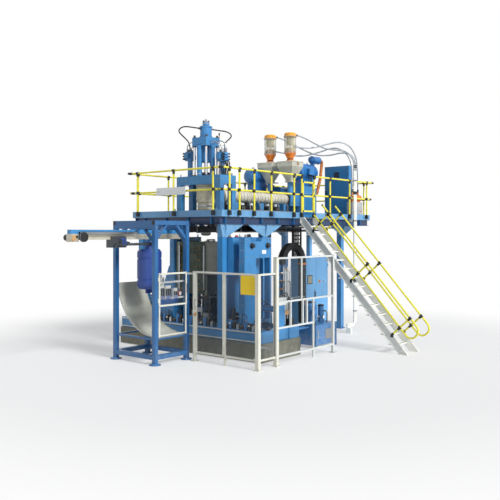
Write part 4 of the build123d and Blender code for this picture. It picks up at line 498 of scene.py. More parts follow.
class Maker:
    """Gathers forms given in millimetres into one mesh of several materials."""

    def __init__(self, name: str, slot: str, body: str = "machine") -> None:
        """Start a piece.

        Args:
            name: plain name of the piece.
            slot: material slot of the record; not used.
            body: body of the frame that carries it.
        """
        self.name = name
        self.slot = slot
        self.body = body
        self.mesh = bmesh.new()
        self.looks: list[Look] = []
        self.look = Look.MACHINE_BLUE

    def use(self, look: Look) -> Maker:
        """Give the forms that follow this finish."""
        self.look = look
        return self

    def _face(self, corners: Sequence[bmesh.types.BMVert]) -> None:
        """Add one face with the finish in use."""
        if self.look not in self.looks:
            self.looks.append(self.look)
        try:
            self.mesh.faces.new(corners).material_index = self.looks.index(self.look)
        except ValueError:
            log.debug("%s: a face was given twice", self.name)

    def loft(self, rings: Sequence[Sequence[Point]], caps: bool = True) -> None:
        """Join rings of equal length into a skin, and close both ends with caps."""
        made = [[self.mesh.verts.new(Vector(p)) for p in ring] for ring in rings]
        for one, two in zip(made, made[1:]):
            for i in range(len(one)):
                j = (i + 1) % len(one)
                self._face((one[i], one[j], two[j], two[i]))
        if caps:
            self._face(list(reversed(made[0])))
            self._face(made[-1])

    def block(self, low: Point, high: Point, edge: float = 4.0) -> None:
        """Box with chamfered uprights and rims.

        Args:
            low: one corner.
            high: the corner opposite to it.
            edge: width of the chamfer.
        """
        (x0, x1), (y0, y1), (z0, z1) = (sorted(pair) for pair in zip(low, high))
        c = min(edge, (x1 - x0) / 3, (y1 - y0) / 3, (z1 - z0) / 3)

        def ring(z: float, inset: float) -> list[Triple]:
            """Eight-cornered outline at a level, drawn in by the inset."""
            a, b, d, e = x0 + inset, x1 - inset, y0 + inset, y1 - inset
            return [
                (a + c, d, z), (b - c, d, z), (b, d + c, z), (b, e - c, z),
                (b - c, e, z), (a + c, e, z), (a, e - c, z), (a, d + c, z),
            ]

        self.loft([ring(z0, c), ring(z0 + c, 0), ring(z1 - c, 0), ring(z1, c)])

    def boss(self, center: Point, half: Point, edge: float = 4.0) -> None:
        """Block round its centre, from half its sizes."""
        middle, reach = Vector(center), Vector(half)
        self.block(middle - reach, middle + reach, edge)

    def slab(self, low: Point, high: Point) -> None:
        """Thin plate or small bar, with a slight chamfer."""
        self.block(low, high, 1.0)

    @staticmethod
    def _cross(direction: Vector) -> tuple[Vector, Vector]:
        """Two axes square to a direction."""
        side = direction.cross(Z if abs(direction.z) < 0.9 else X).normalized()
        return side, side.cross(direction).normalized()

    @staticmethod
    def _circle(middle: Vector, side: Vector, up: Vector, radius: float, sides: int) -> list[Vector]:
        """Points round a middle, in the plane of two axes."""
        turns = [2 * math.pi * i / sides for i in range(sides)]
        return [middle + (side * math.cos(a) + up * math.sin(a)) * radius for a in turns]

    def bar(self, start: Point, end: Point, width: float, depth: float) -> None:
        """Straight bar of square section between two points.

        Args:
            start: middle of one end.
            end: middle of the other end.
            width: size in the level direction.
            depth: size in the steep direction.
        """
        start, end = Vector(start), Vector(end)
        side, up = self._cross((end - start).normalized())
        side, up = side * width / 2, up * depth / 2
        self.loft([[p - side - up, p + side - up, p + side + up, p - side + up] for p in (start, end)])

    def turned(self, start: Point, direction: Point, profile: Sequence[tuple[float, float]],
               sides: int = 24, caps: bool = True) -> None:
        """Turned form.

        Args:
            start: point on the axis.
            direction: the axis.
            profile: rows of radius and place along the axis.
            sides: number of flats round the axis.
            caps: close both ends.
        """
        start, axis = Vector(start), Vector(direction).normalized()
        axes = self._cross(axis)
        rings = [self._circle(start + axis * place, *axes, max(r, 0.2), sides) for r, place in profile]
        self.loft(rings, caps)

    def rod(self, start: Point, end: Point, radius: float, sides: int = 16) -> None:
        """Round bar with a small chamfer at both ends."""
        reach = (Vector(end) - Vector(start)).length
        c = min(radius * 0.15, reach / 4)
        profile = [(radius - c, 0), (radius, c), (radius, reach - c), (radius - c, reach)]
        self.turned(start, Vector(end) - Vector(start), profile, sides)

    def bolt(self, at: Point, direction: Point, across: float = 30.0, tall: float = 16.0) -> None:
        """Hexagon head on its washer."""
        r, washer = across / 2, 3
        self.turned(at, direction, [(r * 1.15, 0), (r * 1.15, washer)], 12)
        face = Vector(at) + Vector(direction).normalized() * washer
        self.turned(face, direction, [(r, 0), (r, tall), (r * 0.85, tall + 2)], 6)

    def bolts(self, xs: Places, ys: Places, zs: Places, direction: Vector, across: float,
              tall: float) -> None:
        """Hexagon heads at every crossing of the places given along x, y and z."""
        for at in grid(xs, ys, zs):
            self.bolt(at, direction, across, tall)

    def bolt_circle(self, center: Point, direction: Vector, radius: float, count: int, across: float,
                    tall: float, shift: float = 0.5) -> None:
        """Hexagon heads round an axis, the first one turned by a share of their pitch."""
        for out in rays(count, shift, direction):
            self.bolt(Vector(center) + out * radius, direction, across, tall)

    def hoop(self, center: Point, direction: Point, radius: float, thick: float, wide: float,
             sides: int = 28) -> None:
        """Band round an axis.

        Args:
            center: middle of the band.
            direction: the axis.
            radius: inner radius.
            thick: height of the band over that radius.
            wide: length along the axis.
            sides: number of flats.
        """
        start = Vector(center) - Vector(direction).normalized() * wide / 2
        outer = radius + thick
        self.turned(start, direction, [(radius, 0), (outer, 0), (outer, wide), (radius, wide)], sides, False)

    def tube(self, points: Sequence[Point], radii: Union[float, Sequence[float]], sides: int = 12) -> None:
        """Tube along points, with one radius or a radius for each point."""
        line = [Vector(p) for p in points]
        if not isinstance(radii, (list, tuple)):
            radii = [radii] * len(line)
        ahead = [(b - a).normalized() for a, b in zip(line, line[1:])]
        side, _ = self._cross(ahead[0])
        rings = []
        for i, point in enumerate(line):
            course = (ahead[min(i, len(ahead) - 1)] + ahead[max(i - 1, 0)]).normalized()
            side = (side - course * side.dot(course)).normalized()
            rings.append(self._circle(point, side, course.cross(side), radii[i], sides))
        self.loft(rings)

    def bent(self, points: Sequence[Point], radius: float, bend: float, sides: int = 8) -> None:
        """Rigid pipe with its corners rounded.

        Args:
            points: corners of the pipe's line.
            radius: outer radius of the pipe.
            bend: radius of each corner.
            sides: number of flats.
        """
        line = [Vector(p) for p in points]
        out = [line[0]]
        for before, corner, after in zip(line, line[1:], line[2:]):
            back, on = before - corner, after - corner
            cut = min(bend, back.length * 0.45, on.length * 0.45)
            for t in (0.0, 0.25, 0.5, 0.75, 1.0):
                first = corner + back.normalized() * cut * (1 - t)
                second = corner + on.normalized() * cut * t
                out.append(first * (1 - t) + second * t)
        self.tube([*out, line[-1]], radius, sides)

    def close(self, replaces: Optional[str] = None) -> bpy.types.Object:
        """Turn what was gathered into the piece.

        Args:
            replaces: node of the frame that the piece stands for.

        Returns:
            The piece, riding on its body.
        """
        bmesh.ops.remove_doubles(self.mesh, verts=self.mesh.verts, dist=0.01)
        bmesh.ops.recalc_face_normals(self.mesh, faces=self.mesh.faces)
        bmesh.ops.transform(self.mesh, matrix=Matrix.Scale(0.001, 4), verts=self.mesh.verts)
        data = bpy.data.meshes.new(self.name)
        self.mesh.to_mesh(data)
        self.mesh.free()
        for look in self.looks:
            data.materials.append(look.material())
        data.shade_smooth()
        data.set_sharp_from_angle(angle=math.radians(32))
        piece = bpy.data.objects.new(self.name, data)
        bpy.context.scene.collection.objects.link(piece)
        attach(piece, self.body)
        if replaces:
            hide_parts(replaces)
        log.info("%s: %d faces on %s", self.name, len(data.polygons), self.body)
        return piece


def assemble(name: str, slot: str, *steps: Callable[[Maker], None], body: str = "machine") -> None:
    """Make one piece.

    Args:
        name: plain name of the piece.
        slot: material slot of the record.
        steps: methods that each add their forms to the maker.
        body: body of the frame that carries it.
    """
    maker = Maker(name, slot, body)
    for step in steps:
        step(maker)
    maker.close()


@dataclass
class Stage:
    """Pale floor, white surround and plain soft light.

    Attributes:
        reach: half side of the floor, in metres.
        fade: distances from the machine between which the floor turns white.
        sun: strength of the sun.
        sky: strength of the surround as a light.
    """

    reach: float = 70.0
    fade: tuple[float, float] = (6.5, 12.0)
    sun: float = 3.1
    sky: float = 0.32

    @staticmethod
    def _seen(recipe: Recipe) -> Value:
        """One for rays that look at the surround and don't light anything."""
        path = recipe.add("ShaderNodeLightPath")
        camera, glossy, through = (
            Value(recipe, path.outputs[name])
            for name in ("Is Camera Ray", "Is Glossy Ray", "Is Transmission Ray")
        )
        return camera | glossy | through

    def _floor(self) -> None:
        """Level floor that keeps the shadow and turns white away from the machine."""
        mesh = bmesh.new()
        bmesh.ops.create_grid(mesh, x_segments=2, y_segments=2, size=self.reach)
        data = bpy.data.meshes.new("floor")
        mesh.to_mesh(data)
        mesh.free()
        recipe, material = Recipe.named("studio_floor")
        x, y, _ = recipe.axes()
        away, aside = x - 1.0, y + 1.2
        distance = recipe.math("SQRT", away * away + aside * aside)
        white = recipe.add("ShaderNodeEmission", {}, {"Color": (1.0, 1.0, 1.0, 1.0), "Strength": 1.0})
        pale = {"Base Color": (0.86, 0.86, 0.86, 1.0), "Roughness": 0.7}
        plain = recipe.add("ShaderNodeBsdfPrincipled", {}, pale)
        recipe.mixed(distance.ramp(*self.fade, 0.35, 1.0) * self._seen(recipe), plain, white)
        data.materials.append(material)
        floor = bpy.data.objects.new("floor", data)
        floor.location.z = -0.002
        bpy.context.scene.collection.objects.link(floor)

    def _world(self) -> None:
        """White surround that lights the machine softly."""
        world = bpy.data.worlds.new("studio")
        bpy.context.scene.world = world
        world.use_nodes = True
        recipe = Recipe(world.node_tree, "ShaderNodeOutputWorld")
        soft = recipe.add("ShaderNodeBackground", {}, {"Color": (0.93, 0.96, 1.0, 1.0), "Strength": self.sky})
        white = recipe.add("ShaderNodeBackground", {}, {"Color": (1.0, 1.0, 1.0, 1.0), "Strength": 1.0})
        recipe.mixed(self._seen(recipe), soft, white)

    def _lamps(self) -> None:
        """Soft sun on the stair side, with a weak fill on the take-out side."""
        for name, course, strength, spread in (
            ("key", (0.08, 0.82, -0.56), self.sun, 0.35), ("fill", (0.9, 0.25, -0.35), 0.15, 0.8),
        ):
            lamp = bpy.data.lights.new(name, "SUN")
            lamp.energy = strength
            lamp.angle = spread
            holder = bpy.data.objects.new(name, lamp)
            holder.rotation_euler = Vector(course).to_track_quat("-Z", "Y").to_euler()
            bpy.context.scene.collection.objects.link(holder)

    def build(self) -> None:
        """Make floor, surround and lamps."""
        self._floor()
        self._world()
        self._lamps()
        bpy.context.scene.view_settings.view_transform = "Standard"


@dataclass
class ViewCamera:
    """Camera at the photograph's place, level, with its picture shifted a little."""

    place: Triple = (-13.16, -12.23, 3.0)
    heading: Triple = (0.774, 0.633, 0.0)
    lens: float = 50.1
    shift: float = -0.036

    def build(self) -> None:
        """Make the camera and look through it."""
        data = bpy.data.cameras.new("view")
        data.sensor_width = 36.0
        data.sensor_fit = "HORIZONTAL"
        data.lens = self.lens
        data.shift_y = self.shift
        data.clip_end = 300.0
        camera = bpy.data.objects.new("view", data)
        camera.location = self.place
        camera.rotation_euler = Vector(self.heading).to_track_quat("-Z", "Y").to_euler()
        bpy.context.scene.collection.objects.link(camera)
        bpy.context.scene.camera = camera


@dataclass
class NodeFinishes:
    """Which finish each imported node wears."""

    groups: dict[Look, str] = field(default_factory=lambda: {
        Look.MACHINE_BLUE: "bed_frame front_carriage rear_carriage clamp_cylinders head_stand ram_unit"
                           " gearboxes"
                           " extruder_stands deck_cabinet deck_cabinet_door",
        Look.CABINET_BLUE: "control_cabinet control_door_left control_door_right",
        Look.COLUMN_BLUE: "columns",
        Look.DECK_BLUE: "deck_frame",
        Look.FRAME_BLUE: "takeout_frame",
        Look.MOTOR_BLUE: "drive_motors",
        Look.SKIRT_BEIGE: "drip_skirt",
        Look.GUIDE_STEEL: "guide_rails blow_pin",
        Look.DRUM_VIOLET: "drum",
        Look.MOULD_OLIVE: "front_mould rear_mould",
        Look.DECK_PLATE: "deck_plates",
        Look.RAIL_YELLOW: "guardrails stair_handrails stair_gate",
        Look.SOCKET_BLACK: "rail_sockets",
        Look.STAIR_ALUMINIUM: "stair_flight riser_pipes",
        Look.HEAD_CREAM: "accumulator_head",
        Look.CHROME_RODS: "ram_tie_rods",
        Look.TURNED_STEEL: "ram_crosshead",
        Look.BARREL_BEIGE: "extruder_barrels",
        Look.BLOWER_BLACK: "barrel_blowers",
        Look.HOPPER_STEEL: "hoppers",
        Look.LOADER_ENDS: "loader_ends",
        Look.SIGHT_GLASS: "loader_glasses",
        Look.PUMP_GREY: "vacuum_pump",
        Look.HYDRAULIC_BLUE: "hydraulic_unit",
        Look.WATER_PARTS: "water_headers",
        Look.CHUTE_STEEL: "chute",
        Look.BEAM_BLUE: "takeout_beam",
        Look.GRIPPER_GREY: "takeout_carriage jaw_front jaw_rear",
        Look.PANEL_WHITE: "pneumatic_panel",
        Look.FENCE_CREAM: "guard_window fence_frame fence_door",
        Look.CLEAR_PANE: "guard_window_pane fence_panes fence_door_pane",
        Look.DUCT_COPPER: "motor_duct",
        Look.HOSE_GREY: "material_hose_main material_hose_second vacuum_hose_main vacuum_hose_second",
        Look.HOSE_BLACK: "ram_hose_left ram_hose_right",
    })

    def build(self, nodes: dict[str, bpy.types.Object]) -> None:
        """Dress the frame's objects, which are given by name."""
        for look, names in self.groups.items():
            for name in names.split():
                data = nodes[name].data
                data.materials.clear()
                data.materials.append(look.material())
        bare = set(nodes) - set(" ".join(self.groups.values()).split())
        log.info("node finishes: %d finishes, nodes without one: %s", len(self.groups), sorted(bare))


@dataclass(frozen=True)
class HoseRun:
    """Route of one free hose.

    Attributes:
        node: node of the frame that the hose stands for.
        radius: outer radius.
        length: length along its middle; not used.
        points: control points of its line, from the unit down to its port.
    """

    node: str
    radius: float
    length: float
    points: tuple[Triple, ...]


@dataclass
class ConveyingHoses:
    """Ribbed conveying and suction hoses and the smooth hoses of the ram."""

    rib: float = 0.08
    runs: tuple[HoseRun, ...] = (
        HoseRun("material_hose_main", 24, 2372, (
            (3950.3, 0, 5922.6), (4250, 0, 5922.6), (4480, -300, 5720), (4560, -640, 5520),
            (4760, -960, 5470), (4900, -1230, 5430), (4960, -1450, 5150), (4960, -1450, 4900.3),
        )),
        HoseRun("material_hose_second", 24, 3139, (
            (3950.3, 750, 5922.6), (4290, 750, 5922.6), (4560, 330, 5640), (4680, -220, 5360),
            (4840, -640, 5330), (4980, -1080, 5430), (5040, -1450, 5250), (5040, -1450, 4900.3),
        )),
        HoseRun("vacuum_hose_main", 24, 3478, (
            (3855.3, 0, 5560), (4130, 0, 5560), (4520, -240, 5560), (4900, -520, 5700), (5180, -800, 5790),
            (5460, -1010, 5660), (5640, -1130, 5300), (5650, -1160, 4740), (5650, -1160, 4205.9),
        )),
        HoseRun("vacuum_hose_second", 24, 3753, (
            (3855.3, 750, 5480), (4180, 750, 5480), (4640, 330, 5340), (5000, -120, 5470), (5220, -560, 5640),
            (5330, -900, 5500), (5350, -1120, 5130), (5330, -1160, 4650), (5330, -1160, 4205.9),
        )),
        HoseRun("ram_hose_left", 17, 1541, (
            (-150.3, 60, 5655.3), (-400, 60, 5655.3), (-560, 280, 5690), (-470, 560, 5600),
            (-170, 620, 5480), (0, 560, 5320), (0, 560, 5100.3),
        )),
        HoseRun("ram_hose_right", 17, 1410, (
            (150.3, -60, 5655.3), (385, -60, 5655.3), (520, -270, 5620), (440, -500, 5500),
            (250, -620, 5390), (60, -560, 5235), (60, -560, 5020.3),
        )),
    )

    @staticmethod
    def _line(points: Sequence[Triple], steps: int) -> list[Vector]:
        """Points of the smooth line that the control points make.

        Args:
            points: control points.
            steps: points for each of its segments.

        Returns:
            The line's points, in millimetres.
        """
        data = bpy.data.curves.new("route", "CURVE")
        data.dimensions = "3D"
        data.resolution_u = steps
        spline = data.splines.new("NURBS")
        spline.points.add(len(points) - 1)
        for control, point in zip(spline.points, points):
            control.co = (*point, 1.0)
        spline.order_u = 3
        spline.use_endpoint_u = True
        route = bpy.data.objects.new("route", data)
        bpy.context.scene.collection.objects.link(route)
        bpy.context.view_layer.update()
        traced = bpy.data.meshes.new_from_object(route)
        line = [vertex.co.copy() for vertex in traced.vertices]
        bpy.data.objects.remove(route)
        bpy.data.meshes.remove(traced)
        return [p for p, q in zip(line, line[1:]) if (p - q).length > 0.5] + [line[-1]]

    def _hose(self, run: HoseRun) -> None:
        """Make one hose in place of its node."""
        ribbed = run.radius > 20
        line = self._line(run.points, 34 if ribbed else 14)
        maker = Maker(run.node + "_dressed", "hose_grey" if ribbed else "hose_black")
        maker.use(Look.HOSE_GREY if ribbed else Look.HOSE_BLACK)
        depth = self.rib if ribbed else 0.0
        maker.tube(line, [run.radius * (1 - depth * (i % 2)) for i in range(len(line))], 12)
        path = [tuple(p * 0.001) for p in line]
        maker.close(run.node)

    def _cuffs(self, maker: Maker) -> None:
        """Clamped rubber cuffs over the ends of the hoses."""
        for run in self.runs:
            for end, beside in (run.points[:2], run.points[:-3:-1]):
                course = (Vector(beside) - Vector(end)).normalized()
                start = Vector(end) + course * 2
                r = run.radius + 1.5
                long = 4.2 * run.radius
                profile = [(r + 5, 0), (r + 5, long * 0.8), (r, long)]
                maker.use(Look.RUBBER_BLACK).turned(start, course, profile, 16, False)
                for share in (0.2, 0.6):
                    maker.use(Look.BARE_STEEL).hoop(start + course * long * share, course, r + 5, 2.5, 12, 16)

    def build(self) -> None:
        """Make the hoses and their cuffs."""
        for run in self.runs:
            self._hose(run)
        assemble("hose_cuffs", "hose_black", self._cuffs)


@dataclass
class RailFittings:
    """Clamps, end caps and post feet of the platform's guard rails."""

    top: float = 4540.0
    middle: float = 4020.0
    foot: float = 3510.0
    radius: float = 24.0
    inset: float = 48.3
    front: float = -1345.0
    back: float = 1895.0
    left: float = -895.0
    right: float = 6195.0
    overhang: float = 70.0
    stair: tuple[float, float] = (2350.0, 3000.0)
    front_posts: tuple[float, ...] = (-620, -250, 320, 1020, 2020, 2374, 2976, 3790, 4860, 5880)
    back_posts: tuple[float, ...] = (-620, 500, 1620, 2740, 3860, 4980, 5880)
    side_posts: tuple[float, ...] = (-1060, 270, 1610)

    def _posts(self) -> list[tuple[Vector, Vector, Vector]]:
        """Foot of each post with the course of its rails and the course inwards."""
        return [
            *((Vector((x, self.front, 0)), X, Y) for x in self.front_posts),
            *((Vector((x, self.back, 0)), X, -Y) for x in self.back_posts),
            *((Vector((self.left, y, 0)), Y, X) for y in self.side_posts),
            *((Vector((self.right, y, 0)), Y, -X) for y in self.side_posts),
        ]

    def _rails(self) -> tuple[tuple[float, float], ...]:
        """Level of each rail and how far it stands in from the posts' line."""
        return (self.top, 0.0), (self.middle, self.inset)

    def _sleeve(self, maker: Maker, at: Point, course: Vector, wide: float, thick: float = 9) -> None:
        """Short tube round a rail or a post."""
        maker.hoop(at, course, self.radius, thick, wide, 16)

    def _crossings(self, maker: Maker) -> None:
        """Sleeves with set screws where posts and rails meet, and the feet of the posts."""
        maker.use(Look.SOCKET_BLACK)
        for place, along, inward in self._posts():
            top, middle = place + Z * self.top, place + Z * self.middle
            self._sleeve(maker, top, along, 88)
            self._sleeve(maker, top - Z * 58, Z, 56)
            self._sleeve(maker, middle, Z, 74)
            self._sleeve(maker, middle + inward * self.inset, along, 74)
            for (level, inset), step in itertools.product(self._rails(), (-26, 26)):
                at = place + Z * (level + self.radius + 8) + inward * inset + along * step
                maker.turned(at, Z, [(5, 0), (5, 4), (3, 5)], 8)
            maker.turned(place + Z * self.foot, Z, [(33, 0), (33, 6), (27, 14), (25, 26)], 16)

    def _ends(self, maker: Maker) -> None:
        """Sleeves where the rails cross at the corners, and black plugs on their open ends."""
        ends, lines = ((self.left, 1), (self.right, -1)), ((self.front, 1), (self.back, -1))
        for (x, right), (y, back), (level, inset) in itertools.product(ends, lines, self._rails()):
            corner = Vector((x + right * inset, y + back * inset, level))
            self._sleeve(maker, corner, X, 70)
            self._sleeve(maker, corner + Y * back * 56, Y, 54)
            self._sleeve(maker, (x - right * (self.overhang - inset - 17), corner.y, level), X, 34, 5)
        for (level, inset), (x, outward) in itertools.product(self._rails(), zip(self.stair, (X, -X))):
            maker.turned((x, self.front + inset, level), outward, [(29, -30), (29, 3), (22, 8)], 16)

    def build(self) -> None:
        """Make the fittings as one piece."""
        assemble("rail_fittings", "socket_black", self._crossings, self._ends)


@dataclass
class StairFittings:
    """Clamps and feet of the handrails, tread nosings and the bolts of the stair."""

    start: float = -1300.3
    top: float = 3400.0
    run: float = 3070.0
    steps: int = 15
    sides: tuple[float, float] = (2370.0, 2980.0)
    rails: tuple[float, float] = (740.0, 370.0)
    posts: tuple[float, ...] = (0.12, 0.5, 0.88)
    tread: tuple[float, float] = (2391.0, 2959.0)
    gate: tuple[float, float] = (2406.0, 2944.0)

    def _on(self, x: float, distance: float, height: float) -> Vector:
        """Point so far down the nosing line and so high square to it."""
        slope = math.atan2(self.top, self.run)
        y = self.start - math.cos(slope) * distance - math.sin(slope) * height
        return Vector((x, y, self.top - math.sin(slope) * distance + math.cos(slope) * height))

    def _clamps(self, maker: Maker) -> None:
        """Sleeves on the posts and rails, and the post shoes on the stringers."""
        length = math.hypot(self.top, self.run)
        down = (self._on(0, 1, 0) - self._on(0, 0, 0)).normalized()
        up = (self._on(0, 0, 1) - self._on(0, 0, 0)).normalized()
        maker.use(Look.SOCKET_BLACK)
        for x, outward in zip(self.sides, SIDES):
            for share, height in itertools.product(self.posts, self.rails):
                at = self._on(x, share * length, height)
                maker.hoop(at, down, 24, 8, 84, 16)
                maker.hoop(at - up * 52, up, 24, 8, 50, 16)
                for step in (-24, 24):
                    maker.turned(at + down * step + up * 31, up, [(5, 0), (5, 4)], 8)
            for share in self.posts:
                foot = self._on(x, share * length, 95)
                maker.turned(foot, up, [(34, 0), (34, 30), (28, 46)], 16)
                side = foot - up * 4 + X * outward * 20
                maker.block(side + Vector((-4, -38, -70)), side + Vector((5, 38, 10)), 2)
            for height in self.rails:
                maker.hoop(self._on(x, 0.05 * length + 18, height), down, 24, 5, 36, 16)

    def _treads(self, maker: Maker) -> None:
        """Dark nosing strip, ribs and bolted cleats of each tread."""
        left, right = self.tread
        for step in range(1, self.steps):
            y, z = self.start - step * self.run / self.steps, self.top - step * self.top / self.steps
            maker.use(Look.RUBBER_BLACK).slab((left, y + 4, z), (right, y + 34, z + 2.5))
            maker.use(Look.STAIR_ALUMINIUM)
            for back in row(y + 56, 27, 6):
                maker.slab((left, back, z), (right, back + 7, z + 2.2))
            maker.use(Look.BARE_STEEL)
            for x, course in ((2376, -X), (2974, X)):
                maker.bolts(x, (y + 60, y + 150), z - 20, course, 20, 8)

    def _stringers(self, maker: Maker) -> None:
        """Web strips of both stringers, greyer as painted shade in their pockets, and their bolted foot
        plates.
        """
        length, toe = math.hypot(self.top, self.run), self.start - self.run
        for web, plate, screw in ((2378, 2350, 2344), (2972, 2960, 3006)):
            # Greyer strip on each web: painted shade in the stringer's pocket.
            maker.use(Look.STAIR_WEB).bar(self._on(web, 120, 0), self._on(web, length - 130, 0), 4, 150)
            maker.use(Look.STAIR_ALUMINIUM).block((plate - 14, toe - 118, 0), (plate + 54, toe + 128, 10), 2)
            maker.use(Look.BARE_STEEL).bolts(screw, (toe - 90, toe + 100), 10, Z, 20, 9)

    def _gate(self, maker: Maker) -> None:
        """Latch, corner plates and stop of the swing gate."""
        left, right = self.gate
        maker.use(Look.SOCKET_BLACK)
        for at in grid((left + 20, right - 20), -1345, (3570, 3980, 4360)):
            maker.boss(at, (21, 23, 21), 1)
        maker.use(Look.BARE_STEEL).block((right - 34, -1372, 4090), (right + 4, -1365, 4190), 2)
        maker.rod((right - 16, -1372, 4140), (right - 16, -1392, 4140), 7, 10)
        maker.rod((right - 16, -1386, 4140), (right - 66, -1386, 4140), 6, 10)

    def build(self) -> None:
        """Make the stair's pieces."""
        assemble("stair_clamps", "socket_black", self._clamps)
        assemble("stair_treads", "stair_aluminium", self._treads, self._stringers)
        assemble("stair_gate_fittings", "socket_black", self._gate, body="platform_gate")


@dataclass
class PlatformTrim:
    """Beam stiffeners, bolts, edge strips and the bare plate on the platform's end rail."""

    left: float = -850.0
    right: float = 6150.0
    front: float = -1300.0
    back: float = 1850.0
    beam: tuple[float, float] = (3190.0, 3370.0)
    toe: float = 3530.0
    bolt_level: float = 3450.0

    def _stiffeners(self, maker: Maker) -> None:
        """Plates in the open channels of the two long beams and the two ends."""
        low, high = self.beam[0] + 13, self.beam[1] - 13
        for x in row(self.left + 180, 700, 10):
            maker.slab((x, self.front + 26, low), (x + 10, self.front + 79, high))
            maker.slab((x, self.back - 79, low), (x + 10, self.back - 26, high))
        for y in row(self.front + 380, 780, 4):
            maker.slab((self.left + 26, y, low), (self.left + 79, y + 10, high))
            maker.slab((self.right - 79, y, low), (self.right - 26, y + 10, high))

    def _toe_boards(self, maker: Maker) -> None:
        """Bolts along the toe boards and joint plates between their lengths."""
        maker.use(Look.BARE_STEEL)
        for start in (self.left, 3000):
            maker.bolts(row(start + 120, 340, 9), self.front, self.bolt_level, -Y, 18, 7)
        maker.bolts(row(self.left + 120, 340, 21), self.back, self.bolt_level, Y, 18, 7)
        for x, course in ((self.left, -X), (self.right, X)):
            maker.bolts(x, row(self.front + 190, 390, 8), self.bolt_level, course, 18, 7)
        maker.use(Look.MACHINE_BLUE)
        for y, places in ((self.front - 6, (1150, 4300)), (self.back, (500, 2600, 4700))):
            for x in places:
                maker.slab((x - 70, y, 3380), (x + 70, y + 6, self.toe - 8))

    def _plates(self, maker: Maker) -> None:
        """Countersunk screws at the corners of the chequer plates and a kick strip at the stair."""
        maker.use(Look.BARE_STEEL)
        for x in row(self.left + 60, 988, 8):
            for y in (self.front + 60, -500, 500, self.back - 60):
                if x > 0 or abs(y) > 600:
                    maker.turned((min(x, self.right - 60), y, 3400), Z, [(11, 0), (11, 1.6), (8, 2.4)], 10)
        maker.use(Look.RUBBER_BLACK).slab((2356, self.front + 10, 3400), (2994, self.front + 44, 3403))

    @staticmethod
    def _end_plate(maker: Maker) -> None:
        """Bare plate hung on the end rail, with its clips."""
        maker.use(Look.PLATE_WHITE).block((-930, -180, 3925), (-923, 860, 4115), 2)
        maker.use(Look.SOCKET_BLACK)
        for y in (-100, 780):
            maker.hoop((-846.7, y, 4020), Y, 24, 6, 40, 16)
            maker.slab((-923, y - 18, 4002), (-868, y + 18, 4038))
            maker.bolt((-930, y, 4020), -X, 16, 5)

    def build(self) -> None:
        """Make the platform's pieces."""
        assemble("platform_trim", "machine_blue", self._stiffeners, self._toe_boards, self._plates)
        assemble("platform_end_plate", "panel_white", self._end_plate)


@dataclass
class HeadDressing:
    """Heater bands, terminal boxes and bolts of the accumulator head and its stand.

    Attributes:
        bands: level and inner radius of each heater band.
        collar: lowest and highest level of the collar.
        circles: radius, level, course, count and size across flats of each bolt circle.
        stand: half length, half depth and top of the stand.
    """

    bands: tuple[tuple[float, float], ...] = ((3075, 190), (3205, 245), (3455, 215), (3560, 215), (3665, 215))
    collar: tuple[float, float] = (3755.0, 4160.0)
    circles: tuple[tuple[float, float, int, int, float], ...] = (
        (100, 2935, -1, 8, 20), (232, 3130, 1, 16, 24), (255, 3325, 1, 16, 22), (226, 4160, 1, 20, 16),
        (240, 4180, 1, 12, 20),
    )
    stand: Triple = (300.0, 760.0, 4430.0)

    def _bands(self, maker: Maker) -> None:
        """Clamp bands round the head, each with its straps and terminal cover."""
        for number, (z, radius) in enumerate(self.bands):
            maker.use(Look.HEAD_CREAM if number % 2 else Look.BARE_STEEL)
            maker.hoop((0, 0, z), Z, radius, 7, 62, 40)
            maker.use(Look.DARK_STEEL)
            for level in (z - 20, z + 20):
                maker.hoop((0, 0, level), Z, radius + 7, 2.5, 9, 40)
            spot = ray(0.9 + number * 1.35) * (radius + 10) + Z * (z + 1)
            maker.use(Look.BARE_STEEL).boss(spot, (24, 24, 21))

    def _collar(self, maker: Maker) -> None:
        """Cover sheets round the collar with latches, screws and cable bosses."""
        low, high = self.collar
        maker.use(Look.HEAD_CREAM)
        for z in (low + 20, (low + high) / 2, high - 20):
            maker.hoop((0, 0, z), Z, 237, 5, 26, 40)
        maker.use(Look.BARE_STEEL)
        for out, z in itertools.product(rays(8, 0.25), (low + 110, high - 110)):
            if out.x <= 0.75:
                maker.turned(out * 236 + Z * z, out, [(17, 0), (17, 22), (12, 26)], 12)
                maker.rod(out * 262 + Z * z, out * 262 + Z * (z - 60), 5, 8)

    def _flanges(self, maker: Maker) -> None:
        """Bolt circles at the die, at the platform and on the head's collar."""
        maker.use(Look.DARK_STEEL)
        for radius, level, course, count, size in self.circles:
            maker.bolt_circle((0, 0, level), Z * course, radius, count, size, 12)
        maker.use(Look.CHROME_RODS).hoop((0, 0, 3160), Z, 275, 3, 44, 40)

    def _stand(self, maker: Maker) -> None:
        """Bolts, gussets and lifting eyes of the stand."""
        half_x, half_y, top = self.stand
        maker.use(Look.MACHINE_BLUE)
        for x, y in itertools.product(SIDES, SIDES):
            inner = y * (half_y - 150)
            maker.loft([
                [(x * face, inner, 4208), (x * face, inner - y * 150, 4208), (x * face, inner, 4058)]
                for face in (half_x - 20, half_x - 34)
            ])
        maker.use(Look.BARE_STEEL)
        for side in SIDES:
            maker.bolts(side * half_x, (-680, -560, -420, 420, 560, 680), 4320, X * side, 26, 12)
            for z, size, tall in ((3432, 20, 8), (4320, 24, 10)):
                maker.bolts((-275, -175, 175, 275), side * half_y, z, Y * side, size, tall)
        for at in grid((-220, 220), (-690, 690), top):
            maker.turned(at, Z, [(20, 0), (20, 12), (14, 18)], 12)
            maker.hoop(at + Z * 44, X, 18, 8, 12, 18)

    def build(self) -> None:
        """Make the head's pieces."""
        assemble("head_bands", "head_cream", self._bands, self._collar)
        assemble("head_bolts", "head_steel", self._flanges, self._stand)


